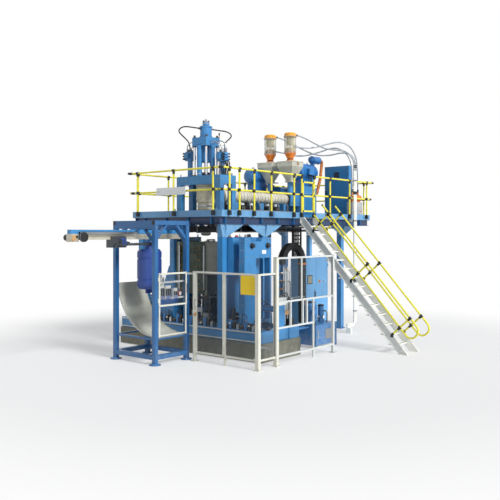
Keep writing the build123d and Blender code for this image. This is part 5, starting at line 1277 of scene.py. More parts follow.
@dataclass
class RamDressing:
    """Nuts, valves, pipes and the pale rod of the ram frame."""

    offset: float = 205.0
    stand: float = 4430.0
    block: tuple[float, float] = (5200.0, 5415.0)
    half: float = 260.0
    gauge_lines: tuple[tuple[float, ...], ...] = (
        (-60, -650, 4985, 195, 20), (64, -600, 4985, 265, 15), (10, -690, 4985, 135, 26),
        (-70, 600, 5060, 140, 18),
    )
    pale_rod: tuple[float, float] = (275.0, -214.0)

    def _frame(self, maker: Maker) -> None:
        """Nuts of the tie rods, cover plates and bolts of the block."""
        low, high = self.block
        maker.use(Look.DARK_STEEL)
        for at in grid((-self.offset, self.offset), (-self.offset, self.offset), 0):
            maker.turned(at + Z * self.stand, Z, [(48, 0), (48, 26), (44, 30)], 6)
            maker.turned(at + Z * low, -Z, [(46, 0), (46, 22), (40, 26)], 6)
            maker.turned(at + Z * high, Z, [(44, 0), (44, 30), (38, 34)], 6)
            maker.turned(at + Z * (high + 34), Z, [(26, 0), (26, 30), (22, 34)], 16)
        for side in SIDES:
            maker.use(Look.MACHINE_BLUE)
            maker.boss((0, side * self.half, (low + high) / 2), (150, 9, (high - low) / 2 - 30))
            maker.boss((side * self.half, 0, (low + high) / 2), (9, 110, (high - low) / 2 - 40))
            maker.use(Look.BARE_STEEL)
            maker.bolts((-130, 130), side * (self.half + 9), (low + 48, high - 48), Y * side, 18, 9)

    def _cylinders(self, maker: Maker) -> None:
        """Blue push cylinders between the tie rods, gauge lines and hoses over the right manifold."""
        for out in rays(4):
            foot = out * 236 + Z * self.stand
            profile = [(70, 0), (70, 40), (62, 46), (62, 700), (70, 706), (70, 768)]
            maker.use(Look.MACHINE_BLUE).turned(foot, Z, profile, 28)
            maker.use(Look.CHROME_RODS).hoop(foot + Z * 56, Z, 62, 5, 14, 24)
        maker.use(Look.BARE_STEEL)
        for x, y, z, tall, r in self.gauge_lines:
            maker.turned((x, y, z), Z, [(r * 0.6, 0), (r * 0.6, 40), (r, 46), (r, tall - 20), (8, tall)], 14)
        maker.use(Look.HOSE_BLACK)
        for x, y, _ in (ray(turn) * 92 for turn in row(-2.6, 0.55, 7)):
            line = [(x, -560, 4782), (x * 1.5, -600, 4690), (x * 0.9, -550, 4560), (x * 0.9, -550, 4432)]
            maker.bent([Vector(point) + Y * y for point in line], 12, 60)

    @staticmethod
    def _programmer(maker: Maker) -> None:
        """Bolts, bands, sensor and plugs of the programmer on top."""
        maker.use(Look.DARK_STEEL).bolt_circle((0, 0, 5445.3), Z, 163, 10, 18, 10)
        maker.bolt_circle((0, 0, 5715.3), Z, 128, 10, 20, 12)
        maker.use(Look.MACHINE_BLUE)
        for z in (5500, 5560, 5620):
            maker.hoop((0, 0, z), Z, 150, 4, 16, 32)
        maker.use(Look.BARE_STEEL).hoop((0, 0, 5790), Z, 90, 5, 20, 28)
        maker.turned((0, 0, 5825.3), Z, [(52, 0), (52, 26), (34, 34), (34, 70), (20, 78)], 20)
        for side in SIDES:
            maker.turned((side * 136, side * -60, 5655.3), X * side, [(32, 0), (32, 15.6)], 16)
        maker.use(Look.SOCKET_BLACK)
        for x, y in ((-62, 30), (48, -58)):
            maker.rod((x, y, 5825), (x, y, 5870), 16, 14)

    @staticmethod
    def _valves(maker: Maker) -> None:
        """Valve bodies and solenoids stacked on both manifolds."""
        for middle, low, out in ((560, 4860, 1), (-560, 4780, -1)):
            for number, z in enumerate(row(low + 26, 70, 3)):
                maker.use(Look.HYDRAULIC_BLUE if number == 1 else Look.MACHINE_BLUE)
                maker.block((-78, middle + out * 94, z), (78, middle + out * 158, z + 54))
                maker.use(Look.SOCKET_BLACK)
                for side in SIDES:
                    at = (side * 78, middle + out * 126, z + 27)
                    maker.turned(at, X * side, [(24, 0), (24, 58), (18, 64)], 14)
            maker.use(Look.MACHINE_BLUE)
            maker.block((-172, middle - 66, low + 60), (-95, middle + 66, low + 190))
            maker.block((95, middle - 60, low + 40), (160, middle + 60, low + 150))
            maker.use(Look.BARE_STEEL)
            maker.bolts(-172, (middle - 52, middle + 52), (low + 72, low + 178), -X, 16, 8)
            maker.use(Look.DARK_STEEL)
            maker.turned((60, middle, low + 240), Z, [(34, 0), (34, 20), (22, 26), (22, 58)], 14)
            maker.turned((-58, middle, low + 240), Z, [(26, 0), (26, 30), (16, 36), (16, 60)], 14)

    @staticmethod
    def _pipes(maker: Maker) -> None:
        """Rigid pipes from the manifolds into the block, and black lines down to the stand."""
        maker.use(Look.BARE_STEEL)
        for side, port, knee, pipes in (
            (1, 5100, 420, ((-120, 5330), (40, 5290), (120, 5350))),
            (-1, 5020, 430, ((-110, 5310), (-30, 5270), (130, 5330))),
        ):
            for x, z in pipes:
                outer = side * 560
                line = [(x, outer, port), (x, outer, z - 90), (x, side * knee, z), (x, side * 262, z)]
                maker.bent(line, 13, 70, 10)
                maker.hoop((x, side * 272, z), Y, 13, 7, 20, 12)
                maker.hoop((x, outer, port + 8), Z, 13, 7, 20, 12)
        maker.use(Look.HOSE_BLACK)
        for number, y in enumerate(row(-650, 28, 6)):
            out = 188 + 16 * (number % 2)
            start, foot = (118, -560 + number * 9, 4850), (190, y + 20, 4460 + 14 * number)
            maker.bent([start, (out, y, 4800), (out + 10, y, 4600), foot, (190, y + 20, 4432)], 9, 60)
        maker.use(Look.BARE_STEEL).block((150, -690, 4431), (235, -470, 4462), 3)

    def _rod(self, maker: Maker) -> None:
        """Pale upright rod beside the ram, with its clip, cap and foot."""
        at = Vector((*self.pale_rod, 0))
        maker.use(Look.TAN_PLASTIC).rod(at + Z * self.stand, at + Z * 5520, 13, 14)
        maker.boss(at + Vector((2, 0, 5246)), (15, 18, 16), 3)
        maker.use(Look.SOCKET_BLACK).rod(at + Z * 5500, at + Z * 5560, 19, 14)
        maker.turned(at + Z * self.stand, Z, [(26, 0), (26, 18), (16, 26)], 16)

    def build(self) -> None:
        """Make the ram's pieces."""
        assemble("ram_frame_fittings", "head_steel", self._frame, self._cylinders, self._programmer)
        assemble("ram_valves", "machine_blue", self._valves)
        assemble("ram_pipes", "head_steel", self._pipes, self._rod)


@dataclass
class BarrelDressing:
    """Straps, terminal boxes, flanges and blower guards of both extruders.

    Attributes:
        level: height of the barrels' axes.
        barrels: Y of the axis, radius over the covers and first X of each barrel.
        end: last X of both barrels.
        flanges: X, Y and radius of each bolted flange.
        blowers: X of each blower.
    """

    level: float = 3960.0
    barrels: tuple[Triple, ...] = ((0.0, 150.0, 237.0), (750.0, 125.0, 700.0))
    end: float = 3450.0
    flanges: tuple[Triple, ...] = ((3420, 0, 150), (716, 750, 125), (3420, 750, 125))
    blowers: tuple[float, ...] = (700.0, 1230.0, 1650.0, 2370.0, 2750.0)

    def _covers(self, maker: Maker) -> None:
        """Straps round the covers with a terminal box on each cover."""
        for middle, radius, start in self.barrels:
            count = round((self.end - start) / 430)
            pitch = (self.end - start) / count
            for number, x in enumerate(row(start, pitch, count)):
                maker.use(Look.BARE_STEEL)
                for share in (0.2, 0.8):
                    strap = Vector((x + pitch * share, middle, self.level))
                    maker.hoop(strap, X, radius, 3, 22, 36)
                    for turn in (0.9, 2.3):
                        maker.boss(strap + ray(math.pi - turn, X) * (radius + 2), (14, 9, 9), 2)
                center = Vector((x + pitch / 2, middle, self.level))
                maker.hoop(center, X, radius, 5, 16, 36)
                maker.turned(center - Y * 46 + Z * (radius + 24), -Y, [(12, 0), (12, 20)], 12)
                maker.use(Look.HEAD_CREAM if number % 2 else Look.PLATE_WHITE)
                maker.boss(center + Z * (radius + 22), (pitch * 0.14, 46, 30))

    def _flanges(self, maker: Maker) -> None:
        """Bolted flanges at both ends of the barrels."""
        maker.use(Look.DARK_STEEL)
        for x, middle, radius in self.flanges:
            maker.hoop((x, middle, self.level), X, radius, 24, 34, 36)
            maker.bolt_circle((x - 17, middle, self.level), -X, radius + 12, 12, 16, 10)

    def _blowers(self, maker: Maker) -> None:
        """Guard rings, hub and terminal box on the face of each blower."""
        for x in self.blowers:
            face = Vector((x, -230, 3645.6))
            maker.use(Look.BLOWER_BLACK).hoop(face - Y * 6, Y, 72, 13, 14, 28)
            maker.use(Look.BARE_STEEL)
            for radius in (20, 36, 52, 66):
                maker.hoop(face - Y * 9, Y, radius, 3, 3, 24)
            for out in rays(8, axis=Y)[:4]:
                maker.bar(face - Y * 11 - out * 70, face - Y * 11 + out * 70, 3, 3)
            maker.use(Look.PLATE_WHITE).block((x - 34, -188, 3725), (x + 34, -120, 3790), 3)
            maker.use(Look.DARK_STEEL).turned(face - Y * 6, -Y, [(18, 0), (18, 8), (12, 12)], 14)

    @staticmethod
    def _trays(maker: Maker) -> None:
        """Cable tray along the bed with the lead tubes up to the covers."""
        maker.use(Look.BARE_STEEL).block((560, -300, 3566), (3400, -246, 3572), 1)
        maker.slab((560, -302, 3566), (3400, -299, 3602))
        for x in row(620, 430, 7):
            maker.bent([(x, -272, 3572), (x, -272, 3760), (x + 20, -170, 3860), (x + 20, -128, 3900)], 9, 50)
        maker.bolts((960, 2060, 3110), (-180, 180, 570, 930), 3560.3, Z, 22, 10)

    def build(self) -> None:
        """Make the extruders' pieces."""
        assemble("barrel_covers", "barrel_beige", self._covers, self._flanges)
        assemble("blower_guards", "blower_black", self._blowers)
        assemble("barrel_trays", "head_steel", self._trays)


@dataclass
class DriveDressing:
    """Fins, covers, boxes and eyes of the drive motors, with the bolts of both gearboxes.

    Attributes:
        fins: cooling fins counted over the sides and top of a motor.
        motors: first X, Y and height of the axis, and radius of each motor.
        box: lowest corner of the main motor's terminal box.
        fan: Y and height of the fan's axis.
        gearboxes: Y of the middle and half width of each gearbox.
    """

    fins: int = 26
    motors: tuple[tuple[float, ...], ...] = ((4000, 0, 4830, 250), (3200, 1210, 4700, 225))
    box: Triple = (4200.0, -338.0, 4730.0)
    fan: tuple[float, float] = (-50.0, 5235.0)
    gearboxes: tuple[tuple[float, float], ...] = ((0, 260), (750, 230))

    def _motors(self, maker: Maker) -> None:
        """Fins, end bells and lifting eyes of both motors."""
        for *place, radius in self.motors:
            start = Vector(place)
            maker.use(Look.MOTOR_BLUE)
            for turn in row(-0.75, (math.pi + 1.5) / (self.fins - 1), self.fins):
                out = ray(turn, X)
                if out.z >= -0.35:
                    fin = start + out * (radius + 4)
                    maker.bar(fin + X * 110, fin + X * 690, 7, 7)
            for along in (92, 716):
                maker.hoop(start + X * along, X, radius - 2, 14, 26, 40)
            maker.turned(start + X * 2, -X, [(150, 0), (150, 14), (120, 30), (60, 34)], 32)
            for along in (230, 580):
                maker.hoop(start + X * along + Z * (radius + 34), X, 20, 9, 14, 18)
                maker.turned(start + X * along + Z * (radius - 4), Z, [(22, 0), (22, 14)], 14)
            maker.use(Look.BARE_STEEL).bolt_circle(start - X, -X, radius - 76, 10, 18, 8)
            maker.use(Look.PLATE_WHITE).boss(start + Vector((345, -radius - 6, -14)), (45, 3, 30), 1)

    def _boxes(self, maker: Maker) -> None:
        """Terminal boxes with their lids, glands and cables' pipes."""
        x, y, z = self.box
        maker.use(Look.MOTOR_BLUE).block((x, y, z), (x + 260, y + 100, z + 190), 8)
        maker.block((x - 6, y - 16, z - 6), (x + 266, y, z + 196), 6)
        maker.block((3420, 960, 4640), (3640, 1010, 4800), 8)
        maker.use(Look.SOCKET_BLACK)
        for gland in row(x + 60, 70, 3):
            maker.turned((gland, y + 48, z), -Z, [(22, 0), (22, 22), (14, 30), (14, 64)], 12)
            maker.bent([(gland, y + 48, z - 60), (gland, y + 48, z - 330), (gland, y + 20, 4392)], 13, 60)
        maker.use(Look.BARE_STEEL).bolts((x + 14, x + 246), y - 16, (z + 14, z + 176), -Y, 14, 6)

    def _fan(self, maker: Maker) -> None:
        """Rings, guard and bolts of the motor's fan."""
        maker.use(Look.MOTOR_BLUE)
        for x in (4750, 4940, 5110):
            maker.hoop((x, *self.fan), X, 113, 8, 12, 28)
        maker.use(Look.DARK_STEEL).turned((4660, *self.fan), -X, [(64, 0), (64, 14), (40, 18)], 20)
        for turn in row(0, 1.047, 6):
            maker.bolt(Vector((5176, *self.fan)) + ray(turn, X) * 72, X, 14, 6)

    def _gearboxes(self, maker: Maker) -> None:
        """Joint flange, ribs, cover bolts, sight glass and breather of both gearboxes."""
        for middle, half in self.gearboxes:
            maker.use(Look.MACHINE_BLUE)
            maker.block((3914, middle - half - 12, 4128), (4699, middle + half + 12, 4156))
            for x, side in itertools.product(row(3990, 150, 5), SIDES):
                maker.slab((x, middle + side * (half - 2), 3600), (x + 14, middle + side * (half + 9), 4128))
            maker.use(Look.BARE_STEEL)
            maker.bolts(row(3960, 115, 7), (middle - half - 2, middle + half + 2), 4156, Z, 18, 8)
            maker.bolts(3450, row(middle - 150, 150, 3), (3800, 4110), -X, 22, 10)
            maker.use(Look.BRASS)
            maker.turned((4560, middle - half - 2, 3860), -Y, [(34, 0), (34, 10), (26, 14)], 20)
            for x in (3520, 3860):
                maker.rod((x, middle - 190, 3850), (x, middle - 236, 3850), 13, 12)
            maker.use(Look.SOCKET_BLACK)
            maker.turned((3985, middle + 90, 4390), Z, [(20, 0), (20, 26), (30, 30), (30, 52), (18, 58)], 16)

    def build(self) -> None:
        """Make the drives' pieces."""
        assemble("motor_fittings", "machine_blue", self._motors, self._boxes, self._fan)
        assemble("gearbox_fittings", "machine_blue", self._gearboxes)


@dataclass
class FeedDressing:
    """Rims, flanges and windows of the hoppers, and the bands, lugs and filters of the loaders."""

    x: float = 3690.0
    middles: tuple[float, float] = (0.0, 750.0)
    half: float = 280.0
    top: float = 5100.0
    glass: tuple[float, float] = (5380.6, 5830.6)
    radius: float = 165.0

    def _hoppers(self, maker: Maker) -> None:
        """Rim, slide gate and latches of both hoppers, and the window of the front one."""
        x, half, top = self.x, self.half, self.top
        for middle in self.middles:
            maker.use(Look.HOPPER_STEEL)
            for near, far in ((half, half + 14), (-half, -half - 14)):
                maker.slab((x + near, middle - half - 14, top - 24), (x + far, middle + half + 14, top))
                maker.slab((x - half, middle + near, top - 24), (x + half, middle + far, top))
            maker.block((x - 118, middle - 118, 4496), (x + 118, middle + 118, 4519), 3)
            maker.block((x - 104, middle - 250, 4478), (x + 104, middle + 106, 4492), 2)
            maker.use(Look.SOCKET_BLACK)
            maker.rod((x - 60, middle - 262, 4485), (x + 60, middle - 262, 4485), 12, 12)
            maker.use(Look.BARE_STEEL).bolts((x - 98, x + 98), (middle - 98, middle + 98), 4519, Z, 18, 8)
            for y in (middle - 160, middle + 160):
                maker.block((x - half - 12, y - 16, top - 92), (x - half, y + 16, top - 20), 3)
        maker.hoop((x, -half - 4, 5024), Y, 46, 9, 10, 28)
        maker.use(Look.TAN_PLASTIC).turned((x, 1 - half, 5024), -Y, [(46, 0), (46, 6)], 28)

    def _loaders(self, maker: Maker) -> None:
        """Clamp bands, latches, tie bars, grip ribs and hub of both loaders."""
        low, high = self.glass
        for axis in grid(self.x, self.middles, 0):
            maker.use(Look.BARE_STEEL)
            for level, radius in ((low - 14, self.radius + 8), (high + 14, 198)):
                maker.hoop(axis + Z * level, Z, radius, 5, 16, 36)
            for out in (ray(turn) for turn in row(2.4, 2.094, 3)):
                for level, reach in ((low - 6, 176), (high - 16, 168)):
                    at = axis + out * reach + Z * level
                    maker.boss(at, (10, 10, 26), 3)
                    maker.rod(at + out * 10 - Z * 20, at + out * 14 + Z * 34, 4, 8)
            for turn in row(0.6, 1.6, 4):
                tie = axis + ray(turn) * (self.radius - 4) * 1.06
                maker.rod(tie + Z * (low - 4), tie + Z * (high + 2), 6, 8)
            maker.use(Look.LOADER_ENDS)
            for out in rays(12):
                rib = axis + out * 176 + Z * 5893
                maker.bar(rib - Z * 26, rib + Z * 26, 12, 10)
            maker.use(Look.SOCKET_BLACK).rod(axis + Z * 5938 + Y * 60, axis + Z * 5960.5 + Y * 60, 34, 20)
            maker.turned(axis + Z * 5156, Z, [(78, 0), (92, 14), (92, 30), (84, 34)], 24)

    def _inside(self, maker: Maker) -> None:
        """Filter cartridges and granulate seen through the glass."""
        low, high = self.glass
        for axis in grid(self.x, self.middles, 0):
            maker.use(Look.FILTER_CARTRIDGE)
            for z in row(high - 240, 33, 7):
                maker.turned(axis + Z * z, Z, [(96, 0), (112, 8), (112, 22), (96, 30)], 28)
            maker.use(Look.TAN_PLASTIC)
            maker.turned(axis + Z * (low + 2), Z, [(152, 0), (152, 96), (110, 126), (30, 142)], 28)

    def build(self) -> None:
        """Make the pieces over both feed throats."""
        assemble("hopper_fittings", "hopper_steel", self._hoppers)
        assemble("loader_fittings", "loader_orange", self._loaders)
        assemble("loader_filters", "sight_glass", self._inside)


@dataclass
class PumpDressing:
    """Housing details of the vacuum pump and the clamps of the riser pipes."""

    left: float = 5180.0
    right: float = 5760.0
    front: float = -1260.0
    back: float = -1060.0
    drum: tuple[float, float] = (-1160.0, 4040.6)
    risers: tuple[float, float] = (4960.0, 5040.0)

    def _pump(self, maker: Maker) -> None:
        """Louvres, feet, rings and switch of the pump."""
        left, right, front = self.left, self.right, self.front
        maker.use(Look.PUMP_GREY)
        for z in row(3520, 34, 9):
            maker.bar((left + 60, front - 4, z), (left + 330, front - 4, z), 10, 14)
        maker.block((right - 200, front - 14, 3500), (right - 50, front, 3700))
        maker.use(Look.FILTER_ORANGE)
        for x in (5216, 5330, 5480, 5650, 5722):
            maker.hoop((x, *self.drum), X, 94, 7, 16, 32)
        maker.use(Look.BARE_STEEL)
        for x, side in ((5210, -1), (5730, 1)):
            maker.turned((x, *self.drum), X * side, [(70, 0), (70, 8), (24, 14), (24, 26)], 24)
            for y in (-1210, -1110):
                maker.rod((x + side * 2, y, 4040), (x + side * 12, y, 4040), 8, 8)
        for x in (5330, 5650):
            maker.hoop((x, -1160, 4160), Z, 32, 8, 24, 20)
        maker.use(Look.RUBBER_BLACK)
        for at in grid((left + 50, right - 50), (front + 4, self.back - 4), 3400):
            maker.turned(at, Z, [(30, 0), (30, 14), (24, 20)], 16)
        maker.use(Look.SIGNAL_RED)
        maker.turned((right - 125, front - 14, 3640), -Y, [(20, 0), (20, 14), (16, 20)], 16)

    def _risers(self, maker: Maker) -> None:
        """Clamp shells, couplings and bolts of the riser pipes."""
        maker.use(Look.BARE_STEEL)
        for at in grid(self.risers, -1450, (640, 1500, 2400, 3339, 4540, 4860)):
            maker.hoop(at, Z, 31, 6, 40, 20)
        for z in (3339, 4540):
            maker.bar((4918, -1450, z), (5082, -1450, z), 12, 34)
        maker.bolts((4926, 5000, 5074), -1494, (3339, 4540), -Y, 16, 8)
        maker.use(Look.SOCKET_BLACK)
        for at in grid(self.risers, -1450, (1560, 4170)):
            maker.hoop(at, Z, 31, 5, 90, 20)

    def build(self) -> None:
        """Make the pump's and the risers' pieces."""
        assemble("pump_fittings", "pump_grey", self._pump)
        assemble("riser_fittings", "stair_aluminium", self._risers)


@dataclass
class CabinetDressing:
    """Handles, seams, vents and switches of the cabinets."""

    front: float = -900.0
    left: float = 3100.0
    right: float = 4350.0
    meeting: float = 3725.0
    top: float = 2250.0
    platform_face: float = 5400.0

    @staticmethod
    def _handle(maker: Maker, at: Vector, out: Vector) -> None:
        """Swing handle on its plate."""
        half = Vector((abs(out.y) * 22 + abs(out.x) * 3, abs(out.x) * 22 + abs(out.y) * 3, 110))
        maker.use(Look.SOCKET_BLACK).boss(at + out * 3, half, 2)
        maker.bar(at + out * 17 - Z * 90, at + out * 17 + Z * 60, 22, 16)
        maker.use(Look.CHROME_RODS).turned(at + out * 6 + Z * 80, out, [(14, 0), (14, 10), (9, 13)], 16)

    def _leaf(self, maker: Maker, low: float, high: float) -> None:
        """Louvres and seams of one floor cabinet door, between two X places."""
        front = self.front
        maker.use(Look.CABINET_BLUE)
        for z in row(240, 26, 8):
            maker.bar((low + 150, front - 4, z), (high - 150, front - 4, z), 9, 12)
        for z in (150, 2215):
            maker.slab((low + 26, front - 3, z - 5), (high - 26, front, z + 5))
        for x in (low + 26, high - 26):
            maker.slab((x - 5, front - 3, 155), (x + 5, front, 2210))

    def _left_door(self, maker: Maker) -> None:
        """Left floor cabinet door with its handle and display."""
        low, high, front = self.left, self.meeting - 1.5, self.front
        self._leaf(maker, low, high)
        self._handle(maker, Vector((self.meeting - 60, front, 1210)), -Y)
        maker.use(Look.SOCKET_BLACK).block((low + 180, front - 7, 1500), (high - 180, front, 1760))
        maker.use(Look.SIGHT_GLASS).slab((low + 205, front - 9, 1525), (high - 205, front - 7, 1735))

    def _right_door(self, maker: Maker) -> None:
        """Right floor cabinet door with its stop button and lamps."""
        front, level = self.front, 1560
        self._leaf(maker, self.meeting + 1.5, self.right)
        maker.use(Look.SIGN_YELLOW).turned((3900, front, level), -Y, [(44, 0), (44, 5), (42, 6)], 28)
        maker.use(Look.SIGNAL_RED).turned((3900, front - 6, level), -Y, [(30, 0), (30, 16), (26, 24)], 24)
        for x, look in zip(row(4020, 80, 3), (Look.PLATE_WHITE, Look.AIR_TUBE_BLUE, Look.PLATE_WHITE)):
            maker.use(Look.CHROME_RODS).turned((x, front, level), -Y, [(19, 0), (19, 5)], 20)
            maker.use(look).turned((x, front - 5, level), -Y, [(14, 0), (14, 8), (9, 12)], 16)

    def _bodies(self, maker: Maker) -> None:
        """Rain edges, lifting eyes, glands and duct flanges of the fixed housings."""
        left, right, top = self.left, self.right, self.top
        maker.use(Look.CABINET_BLUE).block((left - 8, -884, top), (right + 8, -442, top + 14), 3)
        for x in (left + 110, right - 110):
            maker.hoop((x, -660, top + 38), X, 17, 8, 12, 18)
        maker.block((3826, -616, top + 14), (3974, -468, top + 40))
        for z in (3800, 4300, 4800):
            maker.slab((5424, -996, z), (5600, -990, z + 8))
        maker.block((5396, -998, 5040.6), (5626, -102, 5054), 3)
        for z in row(3560, 26, 10):
            maker.bar((5622, -820, z), (5622, -280, z), 8, 12)
        maker.use(Look.SOCKET_BLACK).slab((left + 4, -880, 0), (right - 4, -874, 98))
        for x in row(3200, 90, 6):
            maker.turned((x, -520, top + 14), Z, [(20, 0), (20, 16), (13, 22), (13, 40)], 12)

    def _platform_door(self, maker: Maker) -> None:
        """Handle, seams and fan grille of the platform cabinet's door."""
        face = self.platform_face
        maker.use(Look.CABINET_BLUE)
        for z in (3445, 5010):
            maker.slab((face - 3, -964, z - 5), (face, -136, z + 5))
        for y in (-964, -136):
            maker.slab((face - 3, y - 5, 3450), (face, y + 5, 5005))
        maker.use(Look.SOCKET_BLACK).block((face - 9, -640, 4690), (face, -460, 4870), 3)
        maker.use(Look.BARE_STEEL)
        for z in row(4708, 24, 7):
            maker.bar((face - 11, -628, z), (face - 11, -472, z), 8, 4)
        self._handle(maker, Vector((face, -165, 4230)), -X)

    def build(self) -> None:
        """Make the cabinets' pieces."""
        assemble("cabinet_face_left", "cabinet_blue", self._left_door, body="cabinet_door_left")
        assemble("cabinet_face_right", "cabinet_blue", self._right_door, body="cabinet_door_right")
        assemble("cabinet_fittings", "cabinet_blue", self._bodies)
        assemble("platform_cabinet_face", "cabinet_blue", self._platform_door, body="platform_cabinet_door")


@dataclass
class ClampDressing:
    """Bolts, bosses, nuts and water lines of both carriages with their mould halves."""

    left: float = -570.0
    right: float = 460.0
    top: float = 2870.0
    levels: tuple[float, ...] = (1000, 1260, 1520, 1780, 2040, 2300, 2560, 2780)

    def _rows(self, maker: Maker, ys: Places) -> None:
        """Bolt rows up both sides of a carriage."""
        maker.bolts(self.left, ys, self.levels, -X, 24, 9)
        maker.bolts(self.right, ys, self.levels, X, 24, 14)

    def _front(self, maker: Maker) -> None:
        """Bosses on the front carriage, bolt rows, tie bar nuts and edge plates."""
        for x, y, look, tall in (
            (-430, -1180, Look.TAN_PLASTIC, 74), (-300, -1290, Look.SIGNAL_RED, 40),
            (-110, -1250, Look.PLATE_WHITE, 70), (110, -1300, Look.SOCKET_BLACK, 58),
            (330, -1180, Look.DARK_STEEL, 66), (-430, -1690, Look.BARE_STEEL, 60),
        ):
            maker.use(Look.DARK_STEEL).turned((x, y, self.top), Z, [(52, 0), (52, 12), (44, 16)], 20)
            profile = [(36, 0), (36, tall * 0.6), (26, tall * 0.7), (24, tall)]
            maker.use(look).turned((x, y, self.top + 14), Z, profile, 18)
        self._rows(maker.use(Look.BARE_STEEL), (-1010, -1730, -1640))
        maker.bolts((-500, -300, 0, 300, 400), -1770, (2820, 2400), -Y, 26, 14)
        maker.bolts((-520, -190, 420), -1770, (960, 1300, 1640, 1980), -Y, 22, 12)
        maker.use(Look.DARK_STEEL)
        for x in (-300, 300):
            maker.turned((x, -1770, 2670), -Y, [(72, 0), (72, 14), (66, 20)], 24)
            maker.turned((x, -1790, 2670), -Y, [(58, 0), (58, 44), (52, 50)], 6)
        maker.use(Look.PLATE_WHITE).slab((90, -1774, 2470), (250, -1770, 2560))

    def _valves(self, maker: Maker, side: int) -> None:
        """Valve block, accumulators and pipes low on a carriage's foot.

        Args:
            maker: mesh that gathers the forms.
            side: minus one for the front carriage and one for the rear one.
        """
        near, far = sorted((side * 1180, side * 1420))
        base = 881.0
        maker.use(Look.DARK_STEEL).block((-300, near, base), (-60, far, base + 150))
        tank = [(50, 0), (56, 12), (56, 250), (40, 282), (18, 290)]
        maker.turned((-420, (near + far) / 2, base), Z, tank, 20)
        maker.use(Look.BARE_STEEL)
        for y in row(near + 36, 54, 4):
            maker.turned((-300, y, base + 76), -X, [(22, 0), (22, 70), (16, 76)], 14)
            maker.bolt((-180, y, base + 150), Z, 20, 10)
        for x, y in zip(row(-20, 24, 3), row(near + 50, 66, 3)):
            line = [(-90, y, base + 100), (x, y, base + 130), (x, y, base + 560)]
            maker.use(Look.SOCKET_BLACK).bent(line, 12, 30)
            maker.use(Look.BRASS).turned((x, y, base + 555), Z, [(17, 0), (17, 24), (12, 28)], 12)

    def _mould(self, maker: Maker, side: int) -> None:
        """Water nipples, manifolds, clamps and eyes of one mould half.

        Args:
            maker: mesh that gathers the forms.
            side: minus one for the front half and one for the rear one.
        """
        for face in SIDES:
            x, out = face * 500, X * face
            for rank, y in enumerate((side * 120, side * 250, side * 380)):
                for number, z in enumerate(row(1530 + 20 * rank, 150, 8)):
                    maker.use(Look.BRASS)
                    maker.turned((x, y, z), out, [(16, 0), (16, 8), (10, 12), (10, 30)], 10)
                    if (number + rank) % 2:
                        near, far = x + face * 24, x + face * 58
                        line = [(near, y, z), (far, y, z), (far, y, z - 105), (near, y, z - 130)]
                        maker.use(Look.HOSE_BLACK).bent(line, 8, 34)
            maker.use(Look.BARE_STEEL)
            maker.block((x, side * 405, 1560), (x + face * 46, side * 446, 2660), 3)
            maker.use(Look.DARK_STEEL)
            maker.bolts(x, (side * 60, side * 320), (1500, 1700, 2100, 2500, 2700), out, 26, 12)
        maker.bolts((-380, -130, 130, 380), side * 380, 2750, Z, 30, 14)
        maker.bolts((-380, -130, 130, 380), side * 300, 1450, -Z, 30, 14)
        maker.use(Look.BARE_STEEL)
        for x in (-420, 420):
            maker.turned((x, side * 210, 2750), Z, [(20, 0), (20, 10), (14, 14)], 12)
            maker.hoop((x, side * 210, 2786), X, 17, 8, 12, 18)
        maker.use(Look.HOSE_BLACK)
        near, far = side * 426, side * 560
        for x in row(-430, 34, 4):
            maker.bent([(x, near, 2750), (x, near, 2810), (x + 60, far, 2815), (x + 60, far, 2755)], 10, 45)

    def _rear(self, maker: Maker) -> None:
        """Bolt rows and lifting eyes of the rear carriage."""
        self._rows(maker.use(Look.BARE_STEEL), 670)
        for x in (-460, 400):
            maker.turned((x, 670, self.top), Z, [(24, 0), (24, 10), (16, 14)], 14)
            maker.hoop((x, 670, self.top + 40), X, 20, 9, 14, 18)

    def build(self) -> None:
        """Make the pieces of both clamp halves."""
        for side, name, edges in ((-1, "front", self._front), (1, "rear", self._rear)):
            body = name + "_clamp"
            assemble(name + "_carriage_fittings", "machine_blue", edges,
                     lambda maker: self._valves(maker, side), body=body)
            assemble(name + "_mould_fittings", "mould_steel",
                     lambda maker: self._mould(maker, side), body=body)


